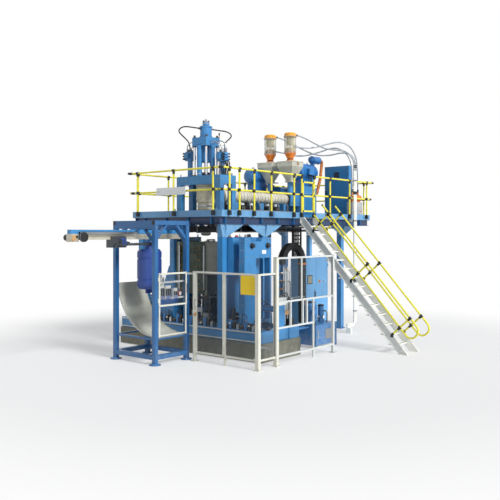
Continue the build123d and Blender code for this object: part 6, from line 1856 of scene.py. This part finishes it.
@dataclass
class BedDressing:
    """Blow station, cylinder fittings, rail screws and skirt joints of the machine bed."""

    half: float = 750.0

    @staticmethod
    def _station(maker: Maker) -> None:
        """Dark frame with valves and pipes round the blow pin's lift cylinder."""
        maker.use(Look.DARK_STEEL).block((-350, -450, 716), (350, 450, 750))
        for post in grid((-230, 230), (-260, 260), 0):
            maker.rod(post + Z * 750, post + Z * 1300, 26, 16)
        for side in SIDES:
            maker.block((-290, side * 90, 1300), (290, side * 300, 1330))
            maker.block((side * 80, -90, 1300), (side * 290, 90, 1330))
        for number, z in enumerate(row(1194, 22, 5)):
            maker.hoop((0, 0, z), Z, 46, 16 - 5 * (number % 2), 20, 24)
        maker.block((440, -420, 716), (600, 560, 1400))
        maker.use(Look.BARE_STEEL).bolts(440, row(-380, 128, 8), (800, 1080, 1340), -X, 20, 8)
        maker.block((-330, -420, 752), (-180, -200, 960))
        maker.use(Look.PLATE_WHITE).block((-345, -180, 980), (-290, -20, 1090), 3)
        maker.block((-340, 40, 850), (-270, 170, 1010), 3)
        maker.use(Look.SOCKET_BLACK)
        for number, y in enumerate(row(-390, 40, 5)):
            z = 1120 + number * 22
            maker.turned((-255, y, 960), Z, [(15, 0), (15, 44), (10, 50)], 12)
            line = [(-255, y, 1005), (-255, y, z), (-140, y + 60, z + 20), (-70, -30 + number * 14, 1120)]
            maker.bent(line, 9, 50)
        for z, y in zip(row(1060, 30, 6), row(220, 34, 6)):
            maker.bent([(-320, y, 752), (-320, y, z), (-200, y, z + 60), (430, y, 1150)], 11, 60)
        maker.use(Look.BRASS)
        for y in row(-400, 50, 5):
            maker.turned((-335, y, 860), -X, [(14, 0), (14, 14), (9, 18), (9, 34)], 10)
        maker.use(Look.CHROME_RODS)
        for x in (-150, 150):
            maker.rod((x, 0, 750), (x, 0, 1000), 34, 18)
            maker.rod((x, 0, 1000), (x, 0, 1298), 15, 14)

    @staticmethod
    def _cylinders(maker: Maker) -> None:
        """Glands, ports and tie rods of the clamp cylinders."""
        for side in SIDES:
            mouth, end = side * 1590, side * 2240
            port, rear = mouth + side * 70, end - side * 80
            maker.use(Look.DARK_STEEL)
            for y in (mouth + side * 24, end - side * 24):
                maker.hoop((130, y, 1150), Y, 60, 16, 44, 28)
            maker.use(Look.BARE_STEEL)
            for x, z in itertools.product((72, 188), (1092, 1208)):
                maker.rod((x, mouth, z), (x, end, z), 10, 10)
            for y, knee, foot, near, far in (
                (port, port + side * 40, port + side * 70, 300, 520),
                (rear, rear, rear - side * 10, 320, 560),
            ):
                maker.use(Look.BRASS).turned((130, y, 1205), Z, [(20, 0), (20, 26), (13, 30)], 12)
                line = [(130, y, 1230), (130, y, 1300), (near, knee, 1300), (far, foot, 1000)]
                maker.use(Look.HOSE_BLACK).bent([*line, (far, foot, 716)], 14, 80, 10)

    @staticmethod
    def _side(maker: Maker) -> None:
        """Lubrication blocks, switches and pipes along the edge of the bed beside the carriages."""
        looks = (Look.DARK_STEEL, Look.BARE_STEEL, Look.SOCKET_BLACK, Look.HYDRAULIC_BLUE)
        stations = [y for y in range(-2300, 1500, 118) if abs(y + 1150) > 150]
        for number, y in enumerate(stations):
            tall = 70 + 46 * (number * 5 % 4)
            top = 716 + tall
            maker.use(looks[number % 4]).block((-722, y, 716), (-646, y + 76, top), 4)
            maker.use(Look.BRASS)
            for step in (20, 54):
                maker.turned((-684, y + step, top), Z, [(11, 0), (11, 10), (7, 14), (7, 26)], 10)
            if number % 3 == 0:
                rise = [(-684, y + 20, top + 38), (-684, y + 20, top + 134)]
                fall = [(-660, y + 170, top + 174), (-640, y + 190, 716)]
                maker.use(Look.HOSE_BLACK).bent(rise + fall, 8, 50)
            if number % 5 == 2:
                maker.use(Look.PLATE_WHITE)
                maker.block((-736, y + 10, 730 + tall / 2), (-722, y + 66, 760 + tall / 2), 2)
        maker.use(Look.BARE_STEEL)
        for z in row(730, 24, 3):
            maker.rod((-612, -2330, z), (-612, 2300, z), 9, 10)

    @staticmethod
    def _boxes(maker: Maker) -> None:
        """Junction boxes and a valve on the front bracket of the clamp cylinders."""
        y = -2292
        maker.use(Look.PLATE_WHITE).block((0, -2338, 1251), (330, -2246, 1440), 6)
        maker.use(Look.TAN_PLASTIC).block((252, -2338, 1010), (420, -2262, 1110), 5)
        maker.use(Look.SOCKET_BLACK).block((470, -2330, 720), (640, -2210, 900), 5)
        for number, x in enumerate(row(40, 84, 4)):
            maker.turned((x, y, 1440), Z, [(16, 0), (16, 16), (11, 22), (11, 34)], 12)
            rise = [(x, y, 1470), (x, y, 1540), (x + 120, y, 1540)]
            maker.bent([*rise, (520, y, 1300 - 40 * number), (520, y, 740)], 9, 50)

    def _rails(self, maker: Maker) -> None:
        """Screws of the guide rails, end stops, side covers and foot bolts."""
        maker.use(Look.DARK_STEEL)
        for x in (-400, 400):
            for y in row(-2320, 160, 30):
                maker.turned((x, y, 760), Z, [(9, 0), (9, 0.8), (5, 1.0)], 10)
            for y in (-2385, 2345):
                maker.block((x - 60, y, 716), (x + 60, y + 40, 800), 4)
        maker.use(Look.FENCE_CREAM)
        for x, z in itertools.product((-768, 768), (685, 480)):
            maker.rod((x, -2380, z), (x, 2380, z), 13, 12)
        for side, y in itertools.product(SIDES, row(-2250, 920, 5)):
            face = side * (self.half + 8)
            maker.use(Look.MACHINE_BLUE).block((side * self.half, y, 500), (face, y + 780, 660), 3)
            maker.use(Look.BARE_STEEL).bolts(face, (y + 30, y + 750), (520, 640), X * side, 18, 7)

    @staticmethod
    def _skirt(maker: Maker) -> None:
        """Joint strips and screws of the skirt."""
        for side in SIDES:
            # The joint strips take the skirt's colour, darkened as painted shade.
            maker.use(Look.SKIRT_BEIGE).slab((side * 775, -2420, 20), (side * 779, 2420, 44))
            for y in (-1220, 0, 1220):
                maker.slab((side * 775, y - 24, 20), (side * 779, y + 24, 436))
            maker.use(Look.BARE_STEEL)
            for y in row(-2320, 309, 16):
                maker.turned((side * 775, y, 412), X * side, [(8, 0), (8, 3), (5, 4)], 8)

    @staticmethod
    def _tip(maker: Maker) -> None:
        """Bright tip of the blow pin with its brass rings."""
        maker.use(Look.CHROME_RODS).turned((0, 0, 1420), Z, [(34, 0), (30, 6), (14, 12)], 20)
        maker.use(Look.BRASS)
        for z in (1330, 1352, 1374):
            maker.hoop((0, 0, z), Z, 22, 5, 8, 20)

    def build(self) -> None:
        """Make the bed's pieces."""
        assemble("blow_station", "head_steel", self._station)
        assemble("clamp_cylinder_fittings", "guide_steel", self._cylinders, self._boxes, self._side,
                 self._rails, self._skirt)
        assemble("blow_pin_tip", "guide_steel", self._tip, body="pin")


@dataclass
class TakeoutDressing:
    """Feet, cable tray and reel of the take-out unit, and its carriage and jaws."""

    left: float = -2450.0
    right: float = -1350.0

    def _frame(self, maker: Maker) -> None:
        """Anchor bolts, tube caps, corner plates and bolts of the frame."""
        for foot in grid((-2400, -1400), (-670, 670), 20):
            out = Y if foot.y > 0 else -Y
            maker.use(Look.MACHINE_BLUE).turned(foot, Z, [(96, 0), (96, 8), (74, 14)], 24)
            maker.use(Look.BARE_STEEL).bolt_circle(foot, Z, 114, 4, 22, 12)
            maker.bolts(foot.x, foot.y + out.y * 50, (150, 190, 590, 3080, 3120, 3200), out, 20, 9)
        maker.use(Look.SOCKET_BLACK)
        for y, (x, step) in itertools.product((-670, 670), ((self.left, -4), (self.right, 4))):
            maker.slab((x, y - 44, 3166), (x + step, y + 44, 3254))
        maker.use(Look.MACHINE_BLUE)
        for (x, side), y in itertools.product(((-2350, 1), (-1450, -1)), SIDES):
            maker.slab((x + side, y * 616, 3075), (x + side * 10, y * 560, 3165))

    @staticmethod
    def _beam(maker: Maker) -> None:
        """Tray with cables beside the beam, belt housing, reel and stops."""
        maker.use(Look.BARE_STEEL).slab((-4040, -138, 2962), (-2460, -62, 2966))
        maker.slab((-4040, -140, 2962), (-2460, -136, 2996))
        maker.slab((-3986, -122, 2880), (-3934, -116, 2975))
        maker.bolts((-4200, -4080), -90, (2806, 2944), -Y, 16, 7)
        maker.bolts(row(-3900, 290, 11), -60, 3020, -Y, 18, 7)
        maker.bolts((-2400, -1400), (-96, 96), 3069, Z, 20, 9)
        maker.use(Look.SOCKET_BLACK)
        for x in row(-4030, 30, 52):
            maker.block((x, -130, 2968), (x + 25, -74, 3004), 3)
        maker.turned((-4150, 90, 2880), Y, [(70, 0), (70, 120), (60, 134)], 24)
        maker.turned((-4100, -90, 2900), -Y, [(26, 0), (26, 16), (18, 20)], 16)
        reel = [(40, 0), (104, 2), (104, 7), (56, 9), (56, 47), (104, 49), (104, 54), (40, 56)]
        maker.use(Look.RUBBER_BLACK).turned((-3960, -120, 2890), -Y, reel, 28)
        for x in (-4046, -780):
            maker.block((x, -30, 2836), (x + 14, 30, 2896), 3)
        maker.use(Look.HOSE_GREY)
        for number, y in enumerate(row(-133, -9, 4)):
            maker.hoop((-3960, y, 2890), Y, 56, 34 - 4 * (number % 2), 8, 32)
        maker.use(Look.TAN_PLASTIC).block((-4226, -96, 2812), (-4120, -90, 2930), 3)

    @staticmethod
    def _carriage(maker: Maker) -> None:
        """Drive, valves, cylinder and screws of the gripper carriage."""
        maker.use(Look.GRIPPER_GREY).turned((-3060, -110, 2702), -Y, [(50, 0), (50, 90), (42, 104)], 24)
        maker.block((-2960, -150, 2670), (-2800, -110, 2790), 4)
        maker.use(Look.SOCKET_BLACK).turned((-3060, -214, 2702), -Y, [(30, 0), (30, 30), (22, 36)], 18)
        maker.block((-3120, 110, 2680), (-2840, 146, 2800), 4)
        for x in row(-2940, 36, 4):
            maker.use(Look.BRASS).turned((x, -150, 2710), -Y, [(11, 0), (11, 12), (7, 14), (7, 24)], 10)
            line = [(x, -174, 2710), (x, -200, 2710), (x, -200, 2850), (x - 30, -130, 2862)]
            maker.use(Look.AIR_TUBE_BLUE).bent(line, 5, 26, 6)
        maker.use(Look.CHROME_RODS).rod((-2745, 0, 2722), (-2620, 0, 2722), 12, 14)
        maker.use(Look.BARE_STEEL).bolts((-3110, -2990, -2870, -2790), (-98, 98), 2897, Z, 14, 4)
        maker.bolts(-2690, (-60, 60), 2782, Z, 22, 10)

    @staticmethod
    def _jaw(maker: Maker, side: int) -> None:
        """Rubber pad and screws of one jaw."""
        maker.use(Look.BARE_STEEL).bolts((-2600, -2450, -2300), side * 60, 2745, Z, 18, 9)
        maker.use(Look.SOCKET_BLACK).block((-2006, side * 53, 2694), (-1906, side * 57, 2741), 1)

    def build(self) -> None:
        """Make the take-out unit's pieces."""
        assemble("takeout_frame_fittings", "machine_blue", self._frame)
        assemble("takeout_beam_fittings", "mould_steel", self._beam)
        assemble("gripper_fittings", "mould_steel", self._carriage, body="gripper")
        for side, name in ((-1, "front"), (1, "rear")):
            assemble(f"jaw_{name}_pad", "mould_steel",
                     lambda maker: self._jaw(maker, side), body=name + "_jaw")


@dataclass
class ChuteDressing:
    """Turned edges, ribs and rivets of the chute."""

    middle: tuple[float, float] = (-600.0, 1899.0)
    radius: float = 1300.0
    span: tuple[float, float] = (-2340.0, -1460.0)

    def _at(self, angle: float, reach: float, x: float) -> Vector:
        """Point at an angle of the sheet's arc, so far from its axis."""
        turn = math.radians(angle)
        return Vector((x, self.middle[0] + math.cos(turn) * reach, self.middle[1] + math.sin(turn) * reach))

    def _edges(self, maker: Maker) -> None:
        """Turned edges along both sides, ribs under the sheet, lip and rivets."""
        inner, outer = self.radius - 5, self.radius - 32
        maker.use(Look.CHUTE_STEEL)
        for x, step in zip(self.span, (4, -4)):
            corners = ((inner, x), (outer, x), (outer, x + step), (inner, x + step))
            maker.loft([
                [self._at(angle, reach, place) for reach, place in corners] for angle in row(-95, 4.5, 21)
            ])
        for angle in (-80, -55, -30):
            start, end = (self._at(angle, self.radius + 9, x) for x in self.span)
            maker.bar(start + X * 12, end - X * 12, 22, 16)
        maker.bar(*(self._at(-5, self.radius - 2, x) for x in self.span), 16, 16)
        maker.use(Look.BARE_STEEL)
        for angle, x in itertools.product((-80, -55, -30, -8), row(self.span[0] + 80, 180, 5)):
            at = self._at(angle, inner, x)
            maker.turned(at, self._at(angle, 0, x) - at, [(8, 0), (8, 2), (5, 3.5)], 8)

    def build(self) -> None:
        """Make the chute's edges."""
        assemble("chute_edges", "chute_steel", self._edges)


@dataclass
class GuardDressing:
    """Bare sign, latch, handles, caps and gaskets of the fence and the guard window."""

    x: float = -1420.0
    front: float = -2850.0
    posts: tuple[tuple[float, ...], ...] = (
        (-1420, -960, 30, 2090), (-1420, -2850, 45, 2090), (-770, -2850, 45, 2430), (1570, -2850, 30, 2430),
    )

    def _fixed(self, maker: Maker) -> None:
        """Post caps, foot bolts, corner keys and the bare sign."""
        for x, y, half, top in self.posts:
            maker.use(Look.SOCKET_BLACK).block((x - half, y - half, top), (x + half, y + half, top + 5), 2)
            maker.use(Look.BARE_STEEL).bolts((x - 56, x + 56), (y - 56, y + 56), 12, Z, 18, 9)
        maker.use(Look.SIGN_YELLOW).block((self.x - 9, -2796, 1625), (self.x - 5, -2366, 2046), 1.5)
        maker.use(Look.BARE_STEEL)
        for screw in grid(self.x - 9, (-2776, -2386), (1645, 2026)):
            maker.turned(screw, -X, [(8, 0), (8, 2), (5, 3)], 10)
        maker.bolts((-740, 205, 1540), self.front - 20, (1420, 2410), -Y, 16, 6)
        maker.bolt((700, self.front - 20, 1420), -Y, 16, 6)
        maker.use(Look.FENCE_CREAM)
        for x in (-2340, -1500):
            maker.block((x, -742, 622), (x + 36, -722, 1300), 2)
        maker.block((-2304, -740, 640), (-1500, -724, 668), 2)
        for y, z in itertools.product((-2790, -1940), (245, 2035)):
            maker.slab((self.x - 23, y - 12, z - 16), (self.x - 20, y + 40, z + 16))
        self._seals(maker, (-2801, -1929))
        for low, high, places in ((232, 2048, (-1371, -819)), (1442, 2388, (-721, 181, 229, 1537))):
            for x in places:
                maker.slab((x - 3, self.front - 5, low), (x + 3, self.front + 5, high))

    def _seals(self, maker: Maker, places: tuple[float, float]) -> None:
        """Upright gaskets of a pane in the fence's side, at two Y places."""
        maker.use(Look.RUBBER_BLACK)
        for y in places:
            maker.slab((self.x - 5, y - 3, 232), (self.x + 5, y + 3, 2048))

    def _door(self, maker: Maker) -> None:
        """Latch, handle, screws and gaskets of the fence door."""
        face, pull = self.x - 20, self.x - 70
        maker.use(Look.BRASS).block((self.x - 42, -1040, 1050), (face, -1000, 1130), 4)
        maker.rod((self.x - 34, -1002, 1090), (self.x - 34, -950, 1090), 9, 12)
        maker.use(Look.FILTER_ORANGE)
        maker.turned((self.x - 42, -1020, 1090), -X, [(17, 0), (17, 14), (12, 18)], 16)
        handle = [(face, -1018, 1230), (pull, -1018, 1230), (pull, -1018, 1430), (face, -1018, 1430)]
        maker.use(Look.BARE_STEEL).bent(handle, 9, 24, 10)
        maker.bolts(face, (-1859, -1016), (210, 2070), -X, 16, 6)
        self._seals(maker, (-1836, -1039))

    @staticmethod
    def _window(maker: Maker) -> None:
        """Handle, screws and gasket of the guard window."""
        handle = [(-1476, -745, 1600), (-1476, -790, 1600), (-1476, -790, 1780), (-1476, -745, 1780)]
        maker.use(Look.SOCKET_BLACK).bent(handle, 9, 24, 10)
        maker.use(Look.BARE_STEEL).bolts((-2324, -1476), -745, (1330, 2050), -Y, 16, 6)
        maker.use(Look.RUBBER_BLACK)
        for x in (-2301, -1499):
            maker.slab((x - 3, -738, 1352), (x + 3, -727, 2028))

    def build(self) -> None:
        """Make the guards' pieces."""
        assemble("fence_fittings", "fence_cream", self._fixed)
        assemble("fence_door_fittings", "fence_cream", self._door, body="fence_gate")
        assemble("guard_window_fittings", "fence_cream", self._window, body="window")


@dataclass
class ValvePanelDressing:
    """Valve islands, regulators, gauge and air tubes behind the guard window."""

    y: float = -670.0
    rail: float = 1500.0
    islands: tuple[Triple, ...] = ((-2290, 180, 290), (-2080, 180, 270), (-1820, 120, 200))

    def _islands(self, maker: Maker) -> None:
        """Valves in a row under their cover, each with its air tube."""
        y, rail = self.y, self.rail
        for left, width, height in self.islands:
            top = rail + height
            maker.use(Look.PLATE_WHITE)
            maker.block((left + 12, y - 10, top - 60), (left + width - 12, y, top - 14), 3)
            for number, x in enumerate(row(left + 12, 30, int(width / 30))):
                maker.use(Look.BARE_STEEL if number % 2 else Look.SOCKET_BLACK)
                maker.block((x, y - 12, rail + 40), (x + 24, y, top - 74), 2)
                drop = rail - 90 - 18 * (number % 3)
                fall = [(x + 12, y - 6, rail + 44), (x + 12, y - 12, rail - 20), (x + 12, y + 6, drop)]
                maker.use(Look.AIR_TUBE_BLUE).bent([*fall, (-1640, y + 6, drop)], 5, 30, 6)

    @staticmethod
    def _regulators(maker: Maker) -> None:
        """Gauge on its foot and both regulators with their bowls."""
        maker.use(Look.SIGNAL_RED).turned((-1620, -662, 1570), -Y, [(52, 0), (52, 22), (44, 26)], 28)
        maker.use(Look.PLATE_WHITE).turned((-1620, -688, 1570), -Y, [(40, 0), (40, 3)], 28)
        maker.use(Look.SOCKET_BLACK).bar((-1620, -693, 1570), (-1598, -693, 1592), 3, 4)
        maker.turned((-1620, -640, 1502), Z, [(10, 0), (10, 30)], 10)
        maker.use(Look.BARE_STEEL).block((-1660, -664, 1500), (-1580, -624, 1528), 3)
        for x in (-2230, -2140):
            maker.use(Look.BARE_STEEL)
            maker.turned((x, -660, 1870.5), Z, [(24, 0), (24, 60), (16, 70), (16, 96)], 16)
            maker.use(Look.SIGHT_GLASS).turned((x, -660, 1829), -Z, [(26, 0), (26, 70), (14, 90)], 18)

    def build(self) -> None:
        """Make the panel's pieces."""
        assemble("valve_islands", "panel_white", self._islands, self._regulators)


@dataclass
class HydraulicDressing:
    """Gauges, lids, fins and pipes of the hydraulic unit."""

    left: float = 1700.0
    right: float = 2700.0
    front: float = -2250.0
    back: float = -1650.0
    top: float = 600.0

    def _tank(self, maker: Maker) -> None:
        """Lid, motor fins, filler, covers and bolts."""
        left, right, front, top = self.left, self.right, self.front, self.top
        maker.use(Look.HYDRAULIC_BLUE)
        maker.block((left - 10, front - 10, top), (right + 10, self.back + 10, top + 12), 3)
        for out in rays(18):
            fin = Vector((2000, -1890, 740)) + out * 153
            maker.bar(fin, fin + Z * 330, 8, 8)
        maker.block((1830, -2120, 860), (1960, -2030, 990), 5)
        maker.use(Look.SOCKET_BLACK).turned((2000, -1890, 1140), Z, [(128, 0), (128, 26), (96, 40)], 28)
        maker.turned((2480, -1890, 1020), Z, [(84, 0), (84, 34), (60, 44)], 24)
        maker.turned((1800, -2130, 612), Z, [(46, 0), (46, 50), (36, 60)], 20)
        maker.use(Look.BARE_STEEL).bolts((left + 30, right - 30), row(front + 40, 130, 5), top + 12, Z, 18, 8)
        maker.bolt_circle((2480, -1890, 1064), Z, 66, 6, 14, 8, 0)
        maker.block((2140, front - 8, 200), (2440, front, 470), 3)
        maker.bolts((2160, 2420), front - 8, (220, 450), -Y, 16, 7)
        maker.use(Look.SIGHT_GLASS).block((1780, front - 12, 240), (1820, front, 470), 3)

    @staticmethod
    def _lines(maker: Maker) -> None:
        """Pipes of the unit and its pressure gauge."""
        maker.use(Look.BARE_STEEL)
        maker.bent([(2480, -1970, 900), (2480, -2090, 900), (2480, -2090, 612)], 20, 60, 12)
        maker.bent([(2150, -1890, 700), (2330, -1890, 700), (2400, -1890, 760)], 18, 40, 12)
        rise = [(2000, -1740, 690), (2000, -1690, 690), (2000, -1690, 1300)]
        maker.bent([*rise, (1400, -1690, 1300), (1400, -1690, 540)], 17, 80, 12)
        maker.use(Look.PLATE_WHITE).turned((2280, -2110, 760), -Y, [(42, 0), (42, 6), (40, 8)], 24)
        maker.use(Look.DARK_STEEL).turned((2280, -2080, 760), -Y, [(46, 0), (46, 30)], 24)
        maker.rod((2280, -2095, 612), (2280, -2095, 716), 9, 12)

    def build(self) -> None:
        """Make the unit's fittings."""
        assemble("hydraulic_fittings", "machine_blue", self._tank, self._lines)


@dataclass
class WaterDressing:
    """Ribs of the hose arch, valves of the headers and the battery of flow meters."""

    middle: tuple[float, float] = (2400.0, 2130.0)
    radius: float = 485.0
    y: float = -1000.0
    headers: tuple[float, float] = (1760.0, 1960.0)

    def _arch(self, maker: Maker) -> None:
        """Ribs over the arch and its leg, with the orange collar at its end."""
        y = self.y
        maker.use(Look.RUBBER_BLACK)
        for turn in row(0, math.pi / 36, 37):
            out, along = ray(turn, Y), ray(turn + math.pi / 2, Y)
            at = Vector((self.middle[0], y, self.middle[1])) + out * self.radius
            corners = [corner * 84 for corner in (out - Y, out + Y, Y - out, -out - Y)]
            maker.loft([[at + along * step + corner for corner in corners] for step in (-9, 9)])
        for z in row(30, 45, 46):
            maker.block((2801, y - 84, z), (2969, y + 84, z + 19), 4)
        maker.use(Look.FILTER_ORANGE).block((2792, y - 92, 2086), (2978, y + 92, 2136), 6)

    def _valves(self, maker: Maker) -> None:
        """Ball valves with red wheels, gauges and flow meters along the headers."""
        y = self.y
        valve = [(20, 0), (20, 30), (28, 34), (28, 62), (18, 66), (18, 104)]
        for header, (number, z) in itertools.product(self.headers, enumerate(row(420, 210, 8))):
            maker.use(Look.BRASS).turned((header, y - 45, z), -Y, valve, 14)
            maker.use(Look.SIGNAL_RED if number % 4 == 1 else Look.PLATE_WHITE)
            maker.block((header - 7, y - 95, z + 24), (header + 70, y - 79, z + 34), 2)
        for number, z in enumerate(row(700, 150, 9)):
            maker.use(Look.TAN_PLASTIC if number % 3 else Look.PLATE_WHITE)
            maker.block((2030, y - 60, z), (2096, y + 20, z + 112), 4)
            maker.use(Look.SOCKET_BLACK).turned((2063, y - 60, z + 30), -Y, [(20, 0), (20, 30), (14, 34)], 14)
            maker.turned((2063, y - 60, z + 84), -Y, [(14, 0), (14, 20)], 12)
        maker.use(Look.FENCE_CREAM)
        for number, x in enumerate(row(1800, 52, 7)):
            back = y - 156 - 12 * (number % 2)
            maker.rod((x, back, 520), (x, back, 2070 - 60 * (number % 3)), 14, 10)
        for z in (1180, 1900):
            maker.block((1700, y - 150, z), (2140, y - 141, z + 30), 2)
        maker.use(Look.TAN_PLASTIC).block((2010, y + 20, 640), (2110, y + 34, 2080), 3)
        maker.use(Look.BARE_STEEL).block((2005, y - 20, 660), (2030, y + 20, 2060), 3)

    def _hoses(self, maker: Maker) -> None:
        """Black rigid lines from the valves down to the floor."""
        maker.use(Look.HOSE_BLACK)
        for (header, step), number in itertools.product(zip(self.headers, (-12, 12)), range(4)):
            x, y, z = header + step * number, self.y - 152 - 26 * number, 420 + number * 420
            maker.bent([(header, self.y - 148, z), (x, y, z), (x, y, 60), (x - 300, y, 60)], 13, 55)

    def build(self) -> None:
        """Make the water unit's pieces."""
        assemble("water_arch_ribs", "blower_black", self._arch)
        assemble("water_valves", "mould_steel", self._valves, self._hoses)


@dataclass
class ColumnDressing:
    """Foot plates' bolts, gusset bolts and edge ribs of the platform's columns."""

    places: tuple[Triple, ...] = (
        (-670, -1150, 715), (-670, 1650, 715), (900, -1150, 0), (5450, -650, 0), (900, 1650, 0),
        (5450, 1500, 0),
    )
    top: float = 3190.0

    def _columns(self, maker: Maker) -> None:
        """Bolts at the head of each column, and bolts and ribs at the feet on the floor."""
        for x, y, level in self.places:
            face, out = (y - 95, -Y) if y < 0 else (y + 95, Y)
            maker.use(Look.BARE_STEEL)
            maker.bolts((x - 60, x + 60), face, (self.top - 40, self.top - 110), out, 22, 10)
            if x > 0:
                maker.bolts((x - 330, x + 330), face, self.top - 40, out, 22, 10)
            if level == 0:
                maker.bolts((x - 98, x + 98), (y - 98, y + 98), 20, Z, 26, 16)
                maker.use(Look.MACHINE_BLUE)
                for side, (axis, across) in itertools.product(SIDES, ((X, Y), (Y, X))):
                    foot = Vector((x, y, 20)) + axis * side * 80
                    corners = [foot, foot + axis * side * 36, foot + Z * 90]
                    maker.loft([[corner + across * step for corner in corners] for step in (-5, 5)])

    def build(self) -> None:
        """Make the columns' fittings."""
        assemble("column_fittings", "machine_blue", self._columns)


@dataclass
class UndersideDressing:
    """Heater rings of the die and the cable trays, ladder and pipes hung under the platform."""

    deck: float = 3368.0
    hangers: float = 3188.0
    trays: tuple[Triple, ...] = ((250.0, 300.0, 3010.0), (700.0, 260.0, 3060.0), (1150.0, 300.0, 3010.0))
    cross_trays: tuple[Triple, ...] = ((-575.0, 200.0, 2995.0), (335.0, 260.0, 3010.0))
    start: float = 1010.0
    end: float = 5280.0

    def _die(self, maker: Maker) -> None:
        """Bands round the lower part of the head with their bolts and lugs."""
        for number, z in enumerate((3330, 3272, 3214, 3156, 3098)):
            maker.use(Look.DARK_STEEL if number % 2 else Look.BARREL_BEIGE)
            maker.hoop((0, 0, z), Z, 222, 34 - 12 * (number % 2), 50, 40)
        maker.use(Look.DARK_STEEL).hoop((0, 0, 3050), Z, 150, 116, 34, 40)
        maker.use(Look.BARE_STEEL).bolt_circle((0, 0, 3033), -Z, 236, 16, 26, 16, 0)
        for turn, z in itertools.product(row(-2.3, 0.35, 5), (3098, 3214, 3330)):
            lug = ray(turn) * 250 + Z * z
            maker.bar(lug - Z * 20, lug + Z * 20, 30, 24)
        maker.use(Look.HOSE_BLACK)
        for x, y in zip(row(-180, 50, 5), row(-270, 16, 5)):
            near = [(x, y, 3110), (x, y - 70, 3060), (x - 60, y - 130, 3200), (x - 60, y - 150, self.deck)]
            maker.bent(near, 11, 60)
            far = [(x + 120, y, 3200), (x + 250, y - 50, 3030), (x + 430, y + 40, 3150)]
            maker.bent([*far, (x + 480, y + 40, self.deck)], 11, 70)

    def _tray(self, maker: Maker, along: Vector, across: Vector, span: tuple[float, float], corner: Vector,
              wide: float, side: float) -> None:
        """One cable tray on hangers with its cables.

        Args:
            maker: mesh that gathers the forms.
            along: direction of the tray.
            across: level direction square to it.
            span: its start and end in that direction.
            corner: place of its first edge in the other two.
            wide: width of the tray.
            side: height of its walls.
        """
        base, reach = along * span[0] + corner, along * (span[1] - span[0])
        maker.use(Look.RUBBER_BLACK)
        for edge, width, depth in ((across * wide / 2, wide, 4),
                                   *((across * place + Z * side / 2, 4, side) for place in (2, wide - 2))):
            maker.bar(base + edge, base + edge + reach, width, depth)
        maker.use(Look.HOSE_BLACK)
        for place in row(30, (wide - 60) / 5, 6):
            line = base + across * place + Z * 24
            maker.rod(line + along * 20, line + reach - along * 20, 18, 8)
        maker.use(Look.BARE_STEEL)
        for place in row(150, 660, int((span[1] - span[0]) / 640)):
            at = base + along * place - Z * 14
            for edge in (-14, wide + 14):
                foot = at + across * edge
                maker.rod(foot, Vector((foot.x, foot.y, self.hangers)), 7, 8)
            maker.bar(at - across * 22, at + across * (wide + 22), 30, 20)

    def _trays(self, maker: Maker) -> None:
        """Cable trays along the extruders and across the bay of the head."""
        for y, wide, z in self.trays:
            self._tray(maker, X, Y, (self.start, self.end), Vector((0, y, z)), wide, 64)
        for x, wide, z in self.cross_trays:
            self._tray(maker, Y, X, (-1060, 1500), Vector((x, 0, z)), wide, 150)

    @staticmethod
    def _ladder(maker: Maker) -> None:
        """Cable ladder from the trays down to the control cabinet."""
        maker.use(Look.RUBBER_BLACK)
        for x in (3130, 3530):
            maker.slab((x, -520, 2292), (x + 16, -460, 3180))
        for z in row(2340, 108, 8):
            maker.slab((3146, -510, z), (3530, -480, z + 34))
        maker.use(Look.HOSE_BLACK)
        for x in row(3200, 68, 5):
            maker.rod((x, -452, 2292), (x, -452, 3180), 17, 8)

    def _pipes(self, maker: Maker) -> None:
        """Rigid pipes under the deck with clamps."""
        maker.use(Look.DARK_STEEL)
        for x, y in zip(row(1740, 60, 4), row(-760, 90, 4)):
            maker.bent([(x, y, 2140), (x, y, 3120), (4900, y, 3120)], 19, 90, 10)
        for y in row(-300, 110, 3):
            maker.bent([(300, y, 3140), (2600, y, 3140), (2600, y, 3050), (5200, y, 3050)], 24, 60, 10)
        maker.use(Look.BARE_STEEL)
        for x in (2500, 3400, 4300):
            maker.slab((x, -800, 3142), (x + 36, -440, 3150))
            for y in (-805, -435):
                maker.rod((x + 18, y, 3140), (x + 18, y, self.hangers), 8, 8)

    def build(self) -> None:
        """Make the pieces under the deck."""
        assemble("die_rings", "head_steel", self._die)
        assemble("deck_underside", "blower_black", self._trays, self._ladder, self._pipes)


def dress(frame: dict) -> None:
    """Build every assembly in order.
    """
    Stage().build()
    ViewCamera().build()
    NodeFinishes().build(frame["nodes"])
    for assembly in (
        ConveyingHoses(), RailFittings(), StairFittings(), PlatformTrim(), HeadDressing(), RamDressing(),
        BarrelDressing(), DriveDressing(), FeedDressing(), PumpDressing(), CabinetDressing(), ClampDressing(),
        BedDressing(), TakeoutDressing(), ChuteDressing(), GuardDressing(), ValvePanelDressing(),
        HydraulicDressing(), WaterDressing(), ColumnDressing(), UndersideDressing(),
    ):
        assembly.build()
        log.info("%s is dressed", type(assembly).__name__)


def main() -> None:
    """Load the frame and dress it."""
    logging.basicConfig(level=logging.INFO, format="%(name)s: %(message)s")
    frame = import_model()
    dress(frame)


if __name__ == "__main__":
    main()
